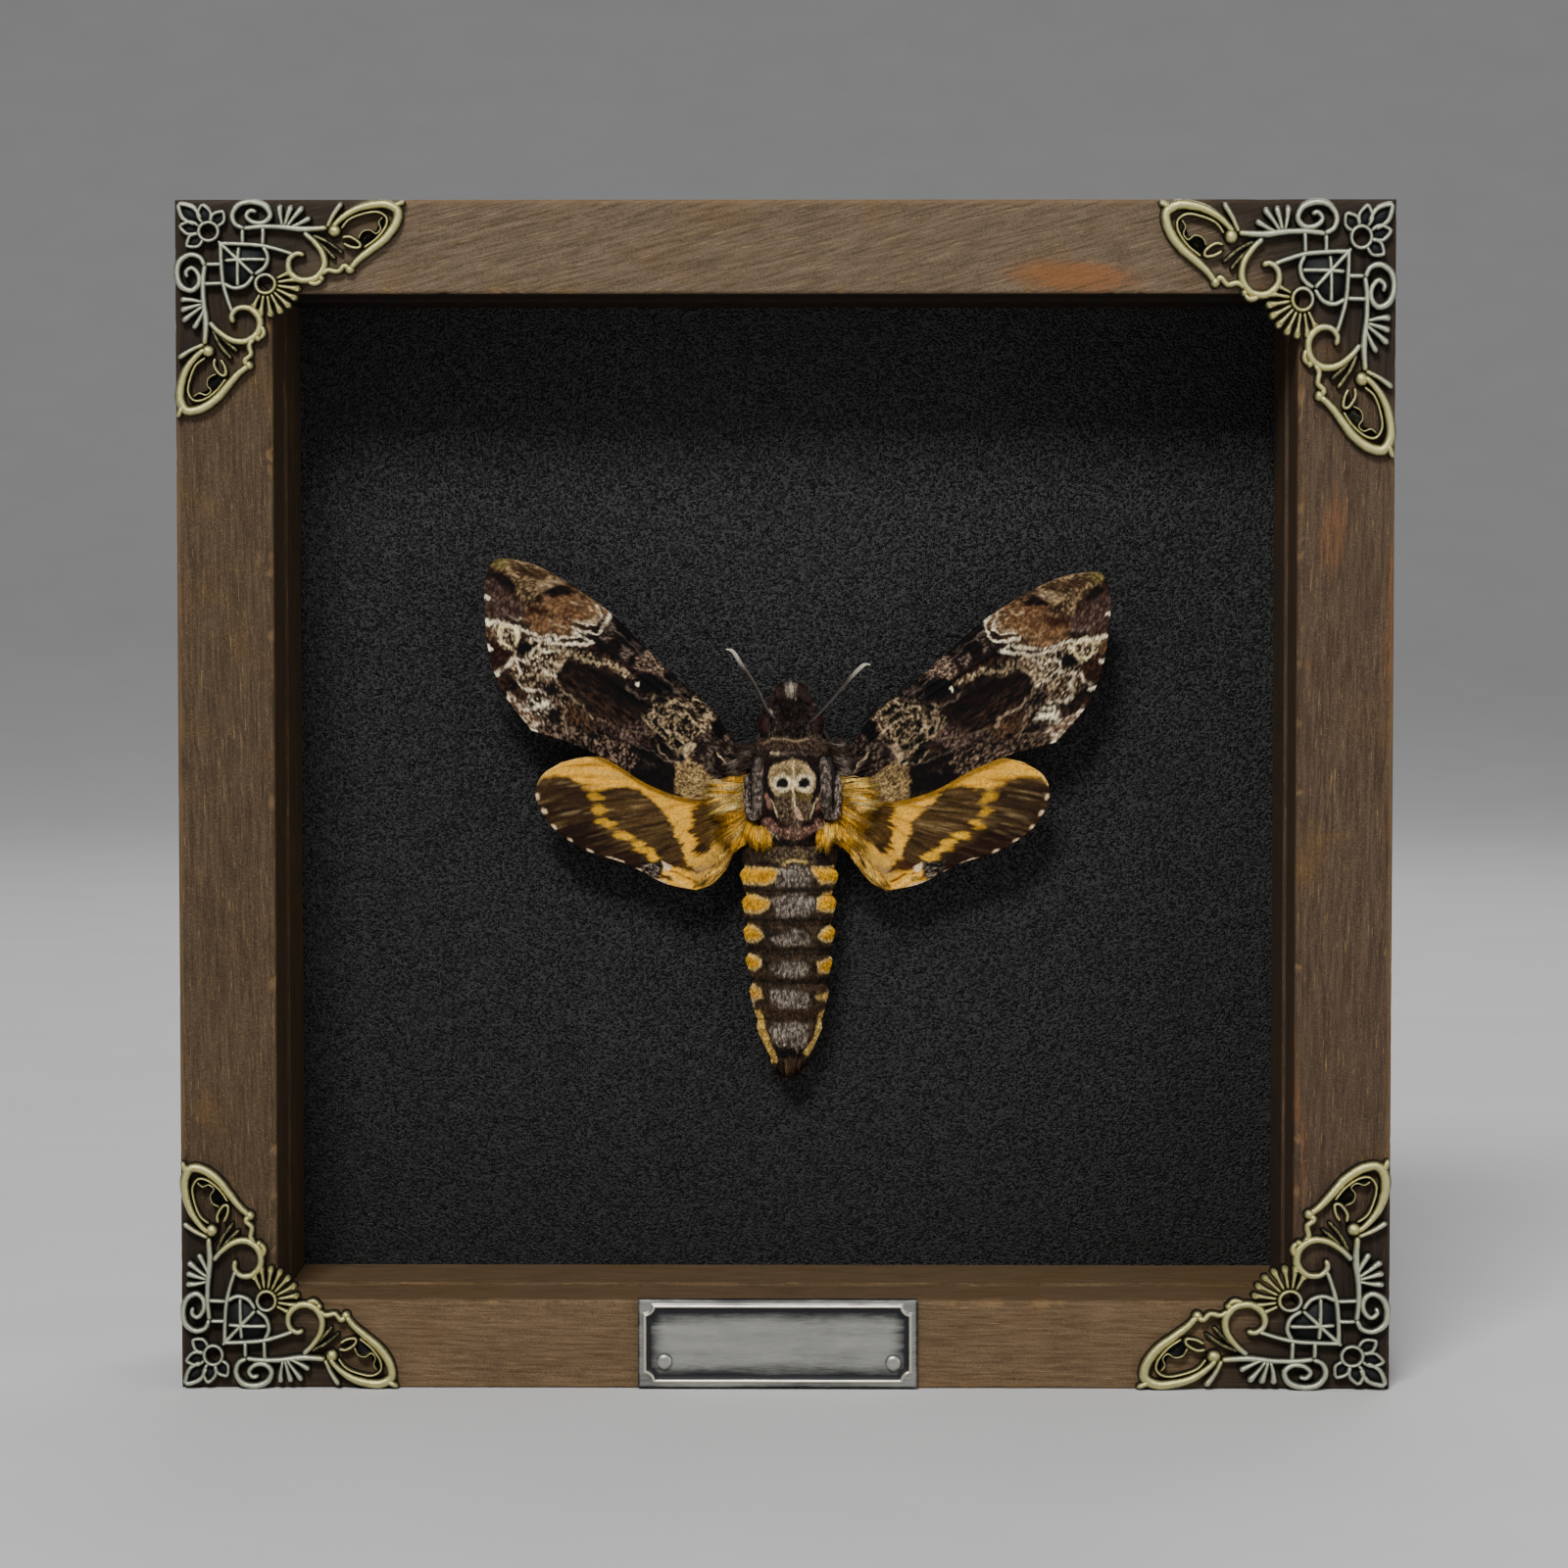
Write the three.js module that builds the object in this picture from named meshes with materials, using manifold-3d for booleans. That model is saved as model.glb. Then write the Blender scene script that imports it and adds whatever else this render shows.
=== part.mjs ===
// A death's head hawkmoth with its wings spread, mounted in a deep open-fronted wooden case with
// filigree corners and a bare nameplate.
// Millimetres, +Z up. The case stands on its bottom rail, its front faces -Y and its middle is at X = 0.
import * as THREE from "three";
import { mergeVertices } from "three/addons/utils/BufferGeometryUtils.js";
import Module from "manifold-3d";

const wasm = await Module();
wasm.setup();

// Driving dimensions of the case
const gap = 0.3; // air between two pieces that touch
const caseWidth = 200;
const caseHeight = 196;
const caseDepth = 45;
const faceWidth = { side: 16.1, top: 15.5, bottom: 14.8 };
const edgeEase = 0.6;
const innerStepDepth = 15;
const innerStep = 0.6;
const backingDepth = 35; // from the front face to the lip that the backing panel lies against
const rabbetLip = 4.2;
const backingThickness = 3;
const backBoardThickness = 1.9;
const relief = 2; // how far the corners stand out in front, and the hanger behind
const frontY = -caseDepth / 2;
const backingFrontY = frontY + backingDepth + gap;

// Driving dimensions of the nameplate
const plate = { left: -24.3, right: 21.9, bottom: gap, top: 15, thick: 0.9 };
const plateRim = { inset: 0.9, wide: 0.7, high: 0.35, notch: 1.3 };
const pinRadius = 1.3;
const platePins = { left: [-19.9, 4.7], right: [17.9, 4.5] };

// Driving dimensions of the moth, seen from the front of the case: x to the right, y towards the
// head, z out from the backing. The middle of its thorax is at x = 0, y = 0.
const mothAt = { x: 1.1, z: 99 };
const bodyMiddleX = -0.3;
const bodySides = 20;
const thoraxMiddleZ = 10.2;
const wingHeight = 11.5; // middle of the forewing's thickness at its root
const wingStacking = 1.35; // how far the hindwing lies behind the forewing
const wingRise = 0.03; // rise of the wings for each millimetre out from the thorax
const wingThickness = 0.55;
const veinHeight = 0.3;
const shoulderX = 8.6;
const shoulderY = 3;
const forewingAngle = { left: 40.2, right: 37 };
const antennaRadius = 0.34;
const legRadius = 0.75;

// Metals, woods and scales
const darkWood = { color: 0x3b2d22, roughness: 0.62, metalness: 0 };
const leatherette = { color: 0x0c0d0f, roughness: 0.55, metalness: 0 };
const fibreboard = { color: 0x5f4a35, roughness: 0.85, metalness: 0 };
const agedBrass = { color: 0x9c9468, roughness: 0.4, metalness: 0.9 };
const agedPewter = { color: 0x8d8d88, roughness: 0.38, metalness: 0.95 };
const steel = { color: 0x9a9da0, roughness: 0.35, metalness: 0.95 };
const cork = { color: 0x9b7a52, roughness: 0.9, metalness: 0 };
const headFur = { color: 0x2c1b1a, roughness: 0.9, metalness: 0 };
const thoraxFur = { color: 0x4a2c28, roughness: 0.9, metalness: 0 };
const tegulaFur = { color: 0x3a3434, roughness: 0.9, metalness: 0 };
const abdomenFur = { color: 0x8a6424, roughness: 0.85, metalness: 0 };
const tailFur = { color: 0x33221a, roughness: 0.9, metalness: 0 };
const forewingScales = { color: 0x4b3426, roughness: 0.7, metalness: 0 };
const hindwingScales = { color: 0xb07a22, roughness: 0.7, metalness: 0 };
const eyeShell = { color: 0x241010, roughness: 0.25, metalness: 0 };
const darkShell = { color: 0x1d1512, roughness: 0.5, metalness: 0 };

const part = new THREE.Group();
const moth = new THREE.Group();
moth.position.set(mothAt.x, backingFrontY, mothAt.z);
moth.rotation.x = Math.PI / 2;
part.add(moth);

// Shapes

function addPiece(group, name, geometry, finish) {
  const mesh = new THREE.Mesh(geometry, new THREE.MeshStandardMaterial(finish));
  mesh.name = name;
  group.add(mesh);
  return mesh;
}

function geometryFrom(points, faces) {
  const geometry = new THREE.BufferGeometry();
  geometry.setAttribute("position", new THREE.Float32BufferAttribute(points.flat(), 3));
  geometry.setIndex(faces.flat());
  return geometry;
}

// The same shape with only its points left, shared between its faces, and its faces turned outwards.
function tidyShape(geometry) {
  const bare = geometry.clone();
  for (const name of Object.keys(bare.attributes)) {
    if (name !== "position") bare.deleteAttribute(name);
  }
  const merged = mergeVertices(bare);
  const position = merged.getAttribute("position");
  const faces = merged.getIndex().array;
  const corners = [new THREE.Vector3(), new THREE.Vector3(), new THREE.Vector3()];
  let volume = 0;
  for (let f = 0; f < faces.length; f += 3) {
    corners.forEach((corner, k) => corner.fromBufferAttribute(position, faces[f + k]));
    volume += corners[0].dot(corners[1].clone().cross(corners[2]));
  }
  if (volume < 0) {
    for (let f = 0; f < faces.length; f += 3) {
      [faces[f], faces[f + 1]] = [faces[f + 1], faces[f]];
    }
  }
  return merged;
}

function solid(geometry) {
  const shape = tidyShape(geometry);
  const vertProperties = new Float32Array(shape.getAttribute("position").array);
  const triVerts = new Uint32Array(shape.getIndex().array);
  return new wasm.Manifold(new wasm.Mesh({ numProp: 3, vertProperties, triVerts }));
}

// The largest closed surface of a joined or cut solid.
function largestBody(joined) {
  const bodies = joined.decompose();
  bodies.sort((a, b) => b.volume() - a.volume());
  const { vertProperties, triVerts } = bodies[0].getMesh();
  const geometry = new THREE.BufferGeometry();
  geometry.setAttribute("position", new THREE.Float32BufferAttribute(vertProperties, 3));
  geometry.setIndex(Array.from(triVerts));
  return geometry;
}

function joined(geometries) {
  return geometries.map(solid).reduce((whole, next) => whole.add(next));
}

// A closed body over a row of rings with the same number of points. A ring of one point is a tip.
function loft(rings) {
  const points = rings.flat();
  const faces = [];
  let start = 0;
  for (let r = 0; r < rings.length - 1; r += 1) {
    const here = rings[r].length;
    const next = rings[r + 1].length;
    const nextStart = start + here;
    const sides = Math.max(here, next);
    for (let i = 0; i < sides; i += 1) {
      const j = (i + 1) % sides;
      if (here > 1) faces.push([start + i, start + j, nextStart + (next > 1 ? j : 0)]);
      if (next > 1) faces.push([start + (here > 1 ? i : 0), nextStart + j, nextStart + i]);
    }
    start = nextStart;
  }
  const lastStart = points.length - rings.at(-1).length;
  for (let i = 1; i < rings[0].length - 1; i += 1) faces.push([0, i + 1, i]);
  for (let i = lastStart + 1; i < points.length - 1; i += 1) faces.push([lastStart, i, i + 1]);
  return tidyShape(geometryFrom(points, faces));
}

// An upright oval ring across the body at y. Its top half is `up` high and its lower half `down`.
function ovalRing({ y, x = bodyMiddleX, z = thoraxMiddleZ, halfWidth, up, down }, grow = 0) {
  return Array.from({ length: bodySides }, (_, i) => {
    const angle = (i / bodySides) * 2 * Math.PI;
    const height = Math.sin(angle) > 0 ? up + grow : down + grow;
    return [x + (halfWidth + grow) * Math.cos(angle), y, z + height * Math.sin(angle)];
  });
}

// A body over oval rings from front to rear, grown all round by `grow` where a neighbour is cut to it.
function bodyOver(rings, grow = 0) {
  const last = rings.length - 1;
  const outwards = Math.sign(rings[0].y - rings[last].y) * grow;
  return loft(rings.map((ring, i) => {
    const shift = i === 0 ? outwards : i === last ? -outwards : 0;
    return ovalRing({ ...ring, y: ring.y + shift }, grow);
  }));
}

function smoothCurve(points) {
  const places = points.map(([x, y, z = 0]) => new THREE.Vector3(x, y, z));
  return new THREE.CatmullRomCurve3(places, false, "centripetal");
}

// A rod of round section along a smooth curve. radiusAt gives its radius, from 0 at the root to 1 at the tip.
function rod(points, radiusAt, sides, steps) {
  const curve = smoothCurve(points);
  const frames = curve.computeFrenetFrames(steps);
  const rings = [];
  for (let s = 0; s <= steps; s += 1) {
    const middle = curve.getPointAt(s / steps);
    const radius = radiusAt(s / steps);
    rings.push(Array.from({ length: sides }, (_, i) => {
      const angle = (i / sides) * 2 * Math.PI;
      return middle.clone()
        .addScaledVector(frames.normals[s], radius * Math.cos(angle))
        .addScaledVector(frames.binormals[s], radius * Math.sin(angle))
        .toArray();
    }));
  }
  return loft(rings);
}

function mirrored(points, side) {
  return points.map(([x, y, z]) => [x * side, y, z]);
}

function smoothstep(low, high, value) {
  const t = Math.min(Math.max((value - low) / (high - low), 0), 1);
  return t * t * (3 - 2 * t);
}

// Case: four rails mitred at the corners, with a step in their inner wall and a rabbet behind

// The section of a side rail: distance in from the outer edge, and depth behind the front face.
function railSection(width) {
  const scale = width / faceWidth.side;
  const inner = faceWidth.side;
  const wall = inner + innerStep;
  const lip = wall - rabbetLip;
  return [
    [0, edgeEase],
    [edgeEase, 0],
    [inner - edgeEase, 0],
    [inner, edgeEase],
    [inner, innerStepDepth],
    [wall, innerStepDepth],
    [wall, backingDepth],
    [lip, backingDepth],
    [lip, caseDepth],
    [0, caseDepth],
  ].map(([across, depth]) => new THREE.Vector2(across * scale, depth));
}

// A rail of the given face width whose ends are cut along the mitres to its two neighbours.
function rail(width, length, startNeighbour, endNeighbour) {
  const section = new THREE.Shape(railSection(width));
  const prism = new THREE.ExtrudeGeometry(section, { depth: 1, bevelEnabled: false });
  const position = prism.getAttribute("position");
  const mitreGap = gap / Math.SQRT2;
  for (let i = 0; i < position.count; i += 1) {
    const across = position.getX(i);
    const start = (across * startNeighbour) / width + mitreGap;
    const end = length - (across * endNeighbour) / width - mitreGap;
    position.setXYZ(i, position.getZ(i) < 0.5 ? start : end, position.getY(i), across);
  }
  return tidyShape(prism);
}

function placeRail(name, geometry, x, z, turn) {
  const mesh = addPiece(part, name, geometry, darkWood);
  mesh.position.set(x, frontY, z);
  mesh.rotation.y = THREE.MathUtils.degToRad(turn);
}

function makeRails() {
  const { side, top, bottom } = faceWidth;
  const half = caseWidth / 2;
  placeRail("rail_bottom", rail(bottom, caseWidth, side, side), -half, 0, 0);
  placeRail("rail_top", rail(top, caseWidth, side, side), half, caseHeight, 180);
  placeRail("rail_left", rail(side, caseHeight, top, bottom), -half, caseHeight, 90);
  placeRail("rail_right", rail(side, caseHeight, bottom, top), half, 0, -90);
}

// The opening behind the lip: half its width, its bottom and its top.
function rabbetOpening() {
  const lipShare = (faceWidth.side + innerStep - rabbetLip) / faceWidth.side;
  return {
    halfWidth: caseWidth / 2 - faceWidth.side * lipShare - gap,
    bottom: faceWidth.bottom * lipShare + gap,
    top: caseHeight - faceWidth.top * lipShare - gap,
  };
}

function boardBetween(name, nearY, thick, finish) {
  const { halfWidth, bottom, top } = rabbetOpening();
  const board = new THREE.BoxGeometry(2 * halfWidth, thick, top - bottom);
  const mesh = addPiece(part, name, board, finish);
  mesh.position.set(0, nearY + thick / 2, (top + bottom) / 2);
}

function makeBoards() {
  boardBetween("backing_panel", backingFrontY, backingThickness, leatherette);
  boardBetween("back_board", backingFrontY + backingThickness + gap, backBoardThickness, fibreboard);
}

// Four flat steel points, driven into the rabbet, hold the boards in.
function makeBoardPoints() {
  const { halfWidth, bottom, top } = rabbetOpening();
  const point = { long: 9, wide: 6, thick: 0.6 };
  const y = backingFrontY + backingThickness + gap + backBoardThickness + gap / 2 + point.thick / 2;
  const middle = (top + bottom) / 2;
  const places = [
    [halfWidth - point.long / 2, middle, 0],
    [-halfWidth + point.long / 2, middle, 0],
    [0, top - point.long / 2, 90],
    [0, bottom + point.long / 2, 90],
  ];
  places.forEach(([x, z, turn], i) => {
    const blade = new THREE.BoxGeometry(point.long, point.thick, point.wide);
    const mesh = addPiece(part, `board_point_${i + 1}`, blade, steel);
    mesh.position.set(x, y, z);
    mesh.rotation.y = THREE.MathUtils.degToRad(turn);
  });
}

// A steel hanging strip with a toothed lower edge, nailed at both ends to the back of the top rail.
function makeHanger() {
  const strip = { half: 24, low: -3.2, high: 3.2, thick: 0.7, teeth: 9, tooth: 1.5, nail: 1.6 };
  const outline = new THREE.Shape();
  outline.moveTo(-strip.half, strip.high);
  outline.lineTo(-strip.half, strip.low);
  for (let i = 0; i < strip.teeth; i += 1) {
    const left = strip.half * 0.62 * ((2 * i) / strip.teeth - 1);
    const right = strip.half * 0.62 * ((2 * (i + 1)) / strip.teeth - 1);
    outline.lineTo(left, strip.low);
    outline.lineTo((left + right) / 2, strip.low + strip.tooth);
    if (i === strip.teeth - 1) outline.lineTo(right, strip.low);
  }
  outline.lineTo(strip.half, strip.low);
  outline.lineTo(strip.half, strip.high);
  const sheet = new THREE.ExtrudeGeometry(outline, { depth: strip.thick, bevelEnabled: false });
  const nails = [-1, 1].map((side) => {
    const nail = new THREE.CylinderGeometry(strip.nail * 0.6, strip.nail, relief - gap - strip.thick / 2, 12);
    nail.rotateX(Math.PI / 2);
    nail.translate(side * strip.half * 0.83, 0, (relief - gap + strip.thick / 2) / 2);
    return nail;
  });
  const mesh = addPiece(part, "sawtooth_hanger", largestBody(joined([sheet, ...nails])), steel);
  mesh.position.set(0, frontY + caseDepth + gap, caseHeight - 6);
  mesh.rotation.set(Math.PI / 2, Math.PI, 0);
}

// Filigree corners. Across and down are measured from the outer corner of the case along its two edges.

const strandHeight = relief - gap;
// The four castings differ a little: how far each is stretched across and down.
const castings = {
  top_left: [1.03, 0.97],
  top_right: [1.06, 1.15],
  bottom_left: [0.98, 1.03],
  bottom_right: [1.14, 1.045],
};

// A cast strand with a narrow ridge along a smooth line. widths are those at its start, middle and end.
function strand(line, widths, steps) {
  const curve = smoothCurve(line);
  const rings = [];
  for (let s = 0; s <= steps; s += 1) {
    const t = s / steps;
    const middle = curve.getPointAt(t);
    const along = curve.getTangentAt(t);
    const side = new THREE.Vector3(-along.y, along.x, 0);
    const width = t < 0.5
      ? THREE.MathUtils.lerp(widths[0], widths[1], t * 2)
      : THREE.MathUtils.lerp(widths[1], widths[2], t * 2 - 1);
    rings.push([[-0.5, 0], [0.5, 0], [0, 1]].map(([across, up]) => [
      middle.x + side.x * width * across,
      middle.y + side.y * width * across,
      strandHeight * up,
    ]));
  }
  return loft(rings);
}

// A round boss with a hole, as at the flower's heart and the fan's hub.
function ringBoss(u, v, hole, outer) {
  const profile = [
    [hole, 0],
    [outer, 0],
    [(hole + outer) / 2, strandHeight],
    [hole, 0],
  ].map(([radius, up]) => new THREE.Vector2(radius, up));
  const ring = new THREE.LatheGeometry(profile, 10);
  ring.rotateX(Math.PI / 2);
  return ring.translate(u, v, 0);
}

function petal(heart, tip, halfWidth) {
  const [du, dv] = [tip[0] - heart[0], tip[1] - heart[1]];
  const length = Math.hypot(du, dv);
  const out = ([along, across]) => [
    heart[0] + (du * along - (dv * across) / length),
    heart[1] + (dv * along + (du * across) / length),
  ];
  const halfLoop = [[0.42, halfWidth * 0.5], [0.7, halfWidth], [0.97, 0.2]];
  const backAgain = halfLoop.map(([along, across]) => [along, -across]).reverse();
  return strand([...halfLoop, ...backAgain].map(out), [0.9, 0.95, 0.9], 5);
}

const flowerHeart = [5.75, 5.75];
const hub = [14.4, 14.4];

// The strands of one leg of a corner; the other leg has the same with across and down exchanged.
function legStrands() {
  const even = [0.7, 0.7, 0.7];
  const finger = [0.6, 0.8, 1.1];
  const spiral = [[12, 4.4], [10.1, 2.4], [13, 0.85], [16, 2.1], [13.8, 3.2], [12.4, 2]];
  const stem = [[12, 4.4], [17.4, 4.5], [21.5, 4.9], [25.6, 4.6]];
  const teardrop = [
    [25.6, 4.4], [29.2, 1.4], [32.5, 0.9], [35.4, 1.6],
    [35.7, 4.4], [33.6, 7.1], [30.5, 8.7], [28.3, 11],
  ];
  const edge = [[29.3, 10.2], [28.6, 11.3], [26.2, 11.6], [24.3, 11.6]];
  const scroll = [
    [20.6, 4.8], [23.5, 7], [24.8, 9.5], [24.2, 11.8], [22.2, 12.9],
    [20.1, 12.3], [18.9, 10.5], [19.6, 9], [21.4, 8.9],
  ];
  const link = [[7.6, 6.6], [11.5, 6.8], [15.1, 7.9], [19.2, 8.9]];
  const web = [[15.1, 7.9], [15.5, 9.4], [14.9, 11], [13.2, 12.6]];
  return [
    { line: spiral, widths: [1, 1.05, 0.8], steps: 9 },
    { line: stem, widths: [0.8, 0.8, 0.9], steps: 3 },
    { line: [[17.3, 4.3], [17.8, 1]], widths: finger, steps: 1 },
    { line: [[18.6, 4.4], [19.5, 1]], widths: finger, steps: 1 },
    { line: [[19.8, 4.5], [21.2, 1.3]], widths: finger, steps: 1 },
    { line: [[20.3, 4.7], [22.6, 2.5]], widths: finger, steps: 1 },
    { line: [[25.2, 4.6], [27.2, 0.9]], widths: [0.8, 0.9, 1.1], steps: 1 },
    { line: teardrop, widths: [1.1, 1.5, 1.8], steps: 9 },
    { line: [[34.9, 1.8], [36.6, 0.8]], widths: [1.2, 1, 0.8], steps: 1 },
    { line: edge, widths: [1.4, 0.9, 0.9], steps: 3 },
    { line: scroll, widths: [0.9, 1.3, 1], steps: 9 },
    { line: link, widths: even, steps: 3 },
    { line: [[11.9, 4.4], [11.6, 6.8]], widths: even, steps: 1 },
    { line: web, widths: even, steps: 3 },
  ];
}

function fanRay(turn) {
  const angle = THREE.MathUtils.degToRad(45 + turn);
  const at = (radius) => [hub[0] + radius * Math.cos(angle), hub[1] + radius * Math.sin(angle)];
  const reach = Math.abs(turn) < 40 ? 6 : 5.2;
  return strand([at(2), at(reach)], [0.7, 0.9, 1.4], 1);
}

function cornerGeometry() {
  const exchange = ([u, v]) => [v, u];
  const pieces = [ringBoss(...flowerHeart, 1.5, 2.4), ringBoss(...hub, 1.6, 2.4)];
  for (const { line, widths, steps } of legStrands()) {
    pieces.push(strand(line, widths, steps), strand(line.map(exchange), widths, steps));
  }
  const petalTips = [[5.1, 1.2], [8.4, 2.1]];
  pieces.push(petal(flowerHeart, [1.1, 1.1], 1.1));
  for (const tip of petalTips) {
    pieces.push(petal(flowerHeart, tip, 1.05), petal(flowerHeart, exchange(tip), 1.05));
  }
  for (const turn of [-68, -51, -34, -17, 0, 17, 34, 51, 68]) pieces.push(fanRay(turn));
  pieces.push(strand([[7.3, 7.3], [12.8, 12.8]], [0.7, 0.7, 0.7], 1));
  return largestBody(joined(pieces));
}

// Each corner lies on the front face. Across runs inwards from its side edge, and down from its top or
// bottom edge.
function makeCorners() {
  const ornament = cornerGeometry();
  for (const [place, [acrossStretch, downStretch]] of Object.entries(castings)) {
    const edgeX = place.endsWith("left") ? -caseWidth / 2 : caseWidth / 2;
    const edgeZ = place.startsWith("top") ? caseHeight : 0;
    const across = -Math.sign(edgeX) * acrossStretch;
    const down = (edgeZ > 0 ? -1 : 1) * downStretch;
    const placed = ornament.clone();
    placed.applyMatrix4(new THREE.Matrix4().set(
      across, 0, 0, edgeX,
      0, 0, -1, frontY - gap,
      0, down, 0, edgeZ,
      0, 0, 0, 1,
    ));
    addPiece(part, `corner_${place}`, tidyShape(placed), agedBrass);
  }
}

// Nameplate: a bare plate with a raised line round it that turns in at the corners, and two domed pins

function notchedOutline(inset, notch) {
  const halfWidth = (plate.right - plate.left) / 2 - inset;
  const halfHeight = (plate.top - plate.bottom) / 2 - inset;
  const outline = [];
  for (const [sx, sy, from] of [[1, 1, 270], [-1, 1, 0], [-1, -1, 90], [1, -1, 180]]) {
    for (let i = 0; i <= 3; i += 1) {
      const angle = THREE.MathUtils.degToRad(from - 30 * i);
      outline.push(new THREE.Vector2(
        sx * halfWidth + notch * Math.cos(angle),
        sy * halfHeight + notch * Math.sin(angle),
      ));
    }
  }
  return outline;
}

function makeNameplate() {
  const { inset, wide, high, notch } = plateRim;
  const width = plate.right - plate.left;
  const height = plate.top - plate.bottom;
  const sheet = new THREE.BoxGeometry(width, height, plate.thick);
  sheet.translate(0, 0, plate.thick / 2);
  const rim = new THREE.Shape(notchedOutline(inset, notch));
  rim.holes.push(new THREE.Path(notchedOutline(inset + wide, notch)));
  const line = new THREE.ExtrudeGeometry(rim, { depth: plate.thick + high, bevelEnabled: false });
  const mesh = addPiece(part, "nameplate", largestBody(joined([sheet, line])), agedPewter);
  mesh.position.set((plate.left + plate.right) / 2, frontY - gap, (plate.top + plate.bottom) / 2);
  mesh.rotation.x = Math.PI / 2;
  for (const [side, [x, z]] of Object.entries(platePins)) {
    const dome = [[0, 0], [pinRadius, 0], [pinRadius * 0.75, 0.35], [0, 0.5]];
    const pin = new THREE.LatheGeometry(dome.map(([radius, up]) => new THREE.Vector2(radius, up)), 10);
    const pinMesh = addPiece(part, `nameplate_pin_${side}`, tidyShape(pin), agedPewter);
    pinMesh.position.set(x, frontY - gap - plate.thick - gap, z);
    pinMesh.rotation.x = Math.PI;
  }
}

// Moth: body

const thoraxRings = [
  { y: 4.6, halfWidth: 6.7, up: 5.6, down: 5.6 },
  { y: 2.3, halfWidth: 7.1, up: 6.3, down: 6 },
  { y: -1, halfWidth: 7.1, up: 6.6, down: 6.2 },
  { y: -4.5, halfWidth: 6.9, up: 6.2, down: 6.2 },
  { y: -7.5, halfWidth: 6.5, up: 5.2, down: 5.8 },
  { y: -9.7, halfWidth: 6, up: 4.2, down: 5.2 },
];

const headRings = [
  { y: 7.7, halfWidth: 5, up: 3.6, down: 3.8, z: 10 },
  { y: 9.2, halfWidth: 5.2, up: 4.1, down: 4.2, z: 10 },
  { y: 11.2, halfWidth: 5.1, up: 4.2, down: 4.2, z: 10 },
  { y: 13.2, halfWidth: 4.2, up: 3.8, down: 3.6, z: 9.9 },
  { y: 14.9, halfWidth: 2.9, up: 2.8, down: 2.4, z: 9.9 },
  { y: 16.2, halfWidth: 1.3, up: 1.2, down: 1, z: 9.8 },
];

const collarRings = [
  { y: 7.4, halfWidth: 5.6, up: 4.3, down: 4.2 },
  { y: 6.2, halfWidth: 6.5, up: 5.2, down: 4.8 },
  { y: 4.9, halfWidth: 6.8, up: 5.5, down: 5.2 },
];

// Abdomen joints from the thorax to the tail: place, half width, and height of the middle.
const abdomenJoints = [
  { y: -10, halfWidth: 8.3, half: 5.7, z: 8.6 },
  { y: -14, halfWidth: 8.5, half: 5.9, z: 8.5 },
  { y: -18.6, halfWidth: 8.1, half: 5.9, z: 8.4 },
  { y: -23.8, halfWidth: 7.9, half: 5.8, z: 8.3 },
  { y: -28.7, halfWidth: 7.6, half: 5.6, z: 8.1 },
  { y: -33.7, halfWidth: 7, half: 5.3, z: 7.8 },
  { y: -39.9, halfWidth: 6.4, half: 4.8, z: 7.3 },
  { y: -47.3, halfWidth: 3.4, half: 2.6, z: 6.5 },
  { y: -50.7, halfWidth: 1, half: 0.8, z: 6.2 },
];
const abdomenMiddleX = -0.6;

// A segment swells behind its front edge and draws in again, so that each joint shows as a groove.
function segmentRings(front, rear) {
  const swell = [[0, 0.95], [0.3, 1], [0.75, 1.015], [1, 0.97]];
  return swell.map(([t, share]) => {
    const mix = (key) => THREE.MathUtils.lerp(front[key], rear[key], t);
    const half = mix("half") * share;
    const y = THREE.MathUtils.lerp(front.y, rear.y + gap, t);
    return { y, x: abdomenMiddleX, z: mix("z"), halfWidth: mix("halfWidth") * share, up: half, down: half };
  });
}

function makeBody() {
  const socket = { x: 4, y: 10, z: 10.6, radius: 2.3 };
  const eyes = {};
  let head = solid(bodyOver(headRings));
  for (const [side, sign] of [["left", -1], ["right", 1]]) {
    const at = [bodyMiddleX + sign * socket.x, socket.y, socket.z];
    eyes[side] = new THREE.SphereGeometry(socket.radius, 12, 8).translate(...at);
    head = head.subtract(solid(new THREE.SphereGeometry(socket.radius + gap, 12, 8).translate(...at)));
  }
  addPiece(moth, "head", largestBody(head), headFur);
  for (const [side, eye] of Object.entries(eyes)) addPiece(moth, `eye_${side}`, tidyShape(eye), eyeShell);
  addPiece(moth, "collar", bodyOver(collarRings), headFur);
  addPiece(moth, "thorax", bodyOver(thoraxRings), thoraxFur);
  for (let i = 0; i < abdomenJoints.length - 1; i += 1) {
    const rings = segmentRings(abdomenJoints[i], abdomenJoints[i + 1]);
    addPiece(moth, `abdomen_${i + 1}`, bodyOver(rings), i < 7 ? abdomenFur : tailFur);
  }
}

// What grows from the head or the thorax is made into it and cut back to its surface.
function cutTo(geometry, ...rings) {
  const whole = solid(geometry);
  return largestBody(rings.reduce((left, body) => left.subtract(solid(bodyOver(body, gap))), whole));
}

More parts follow.
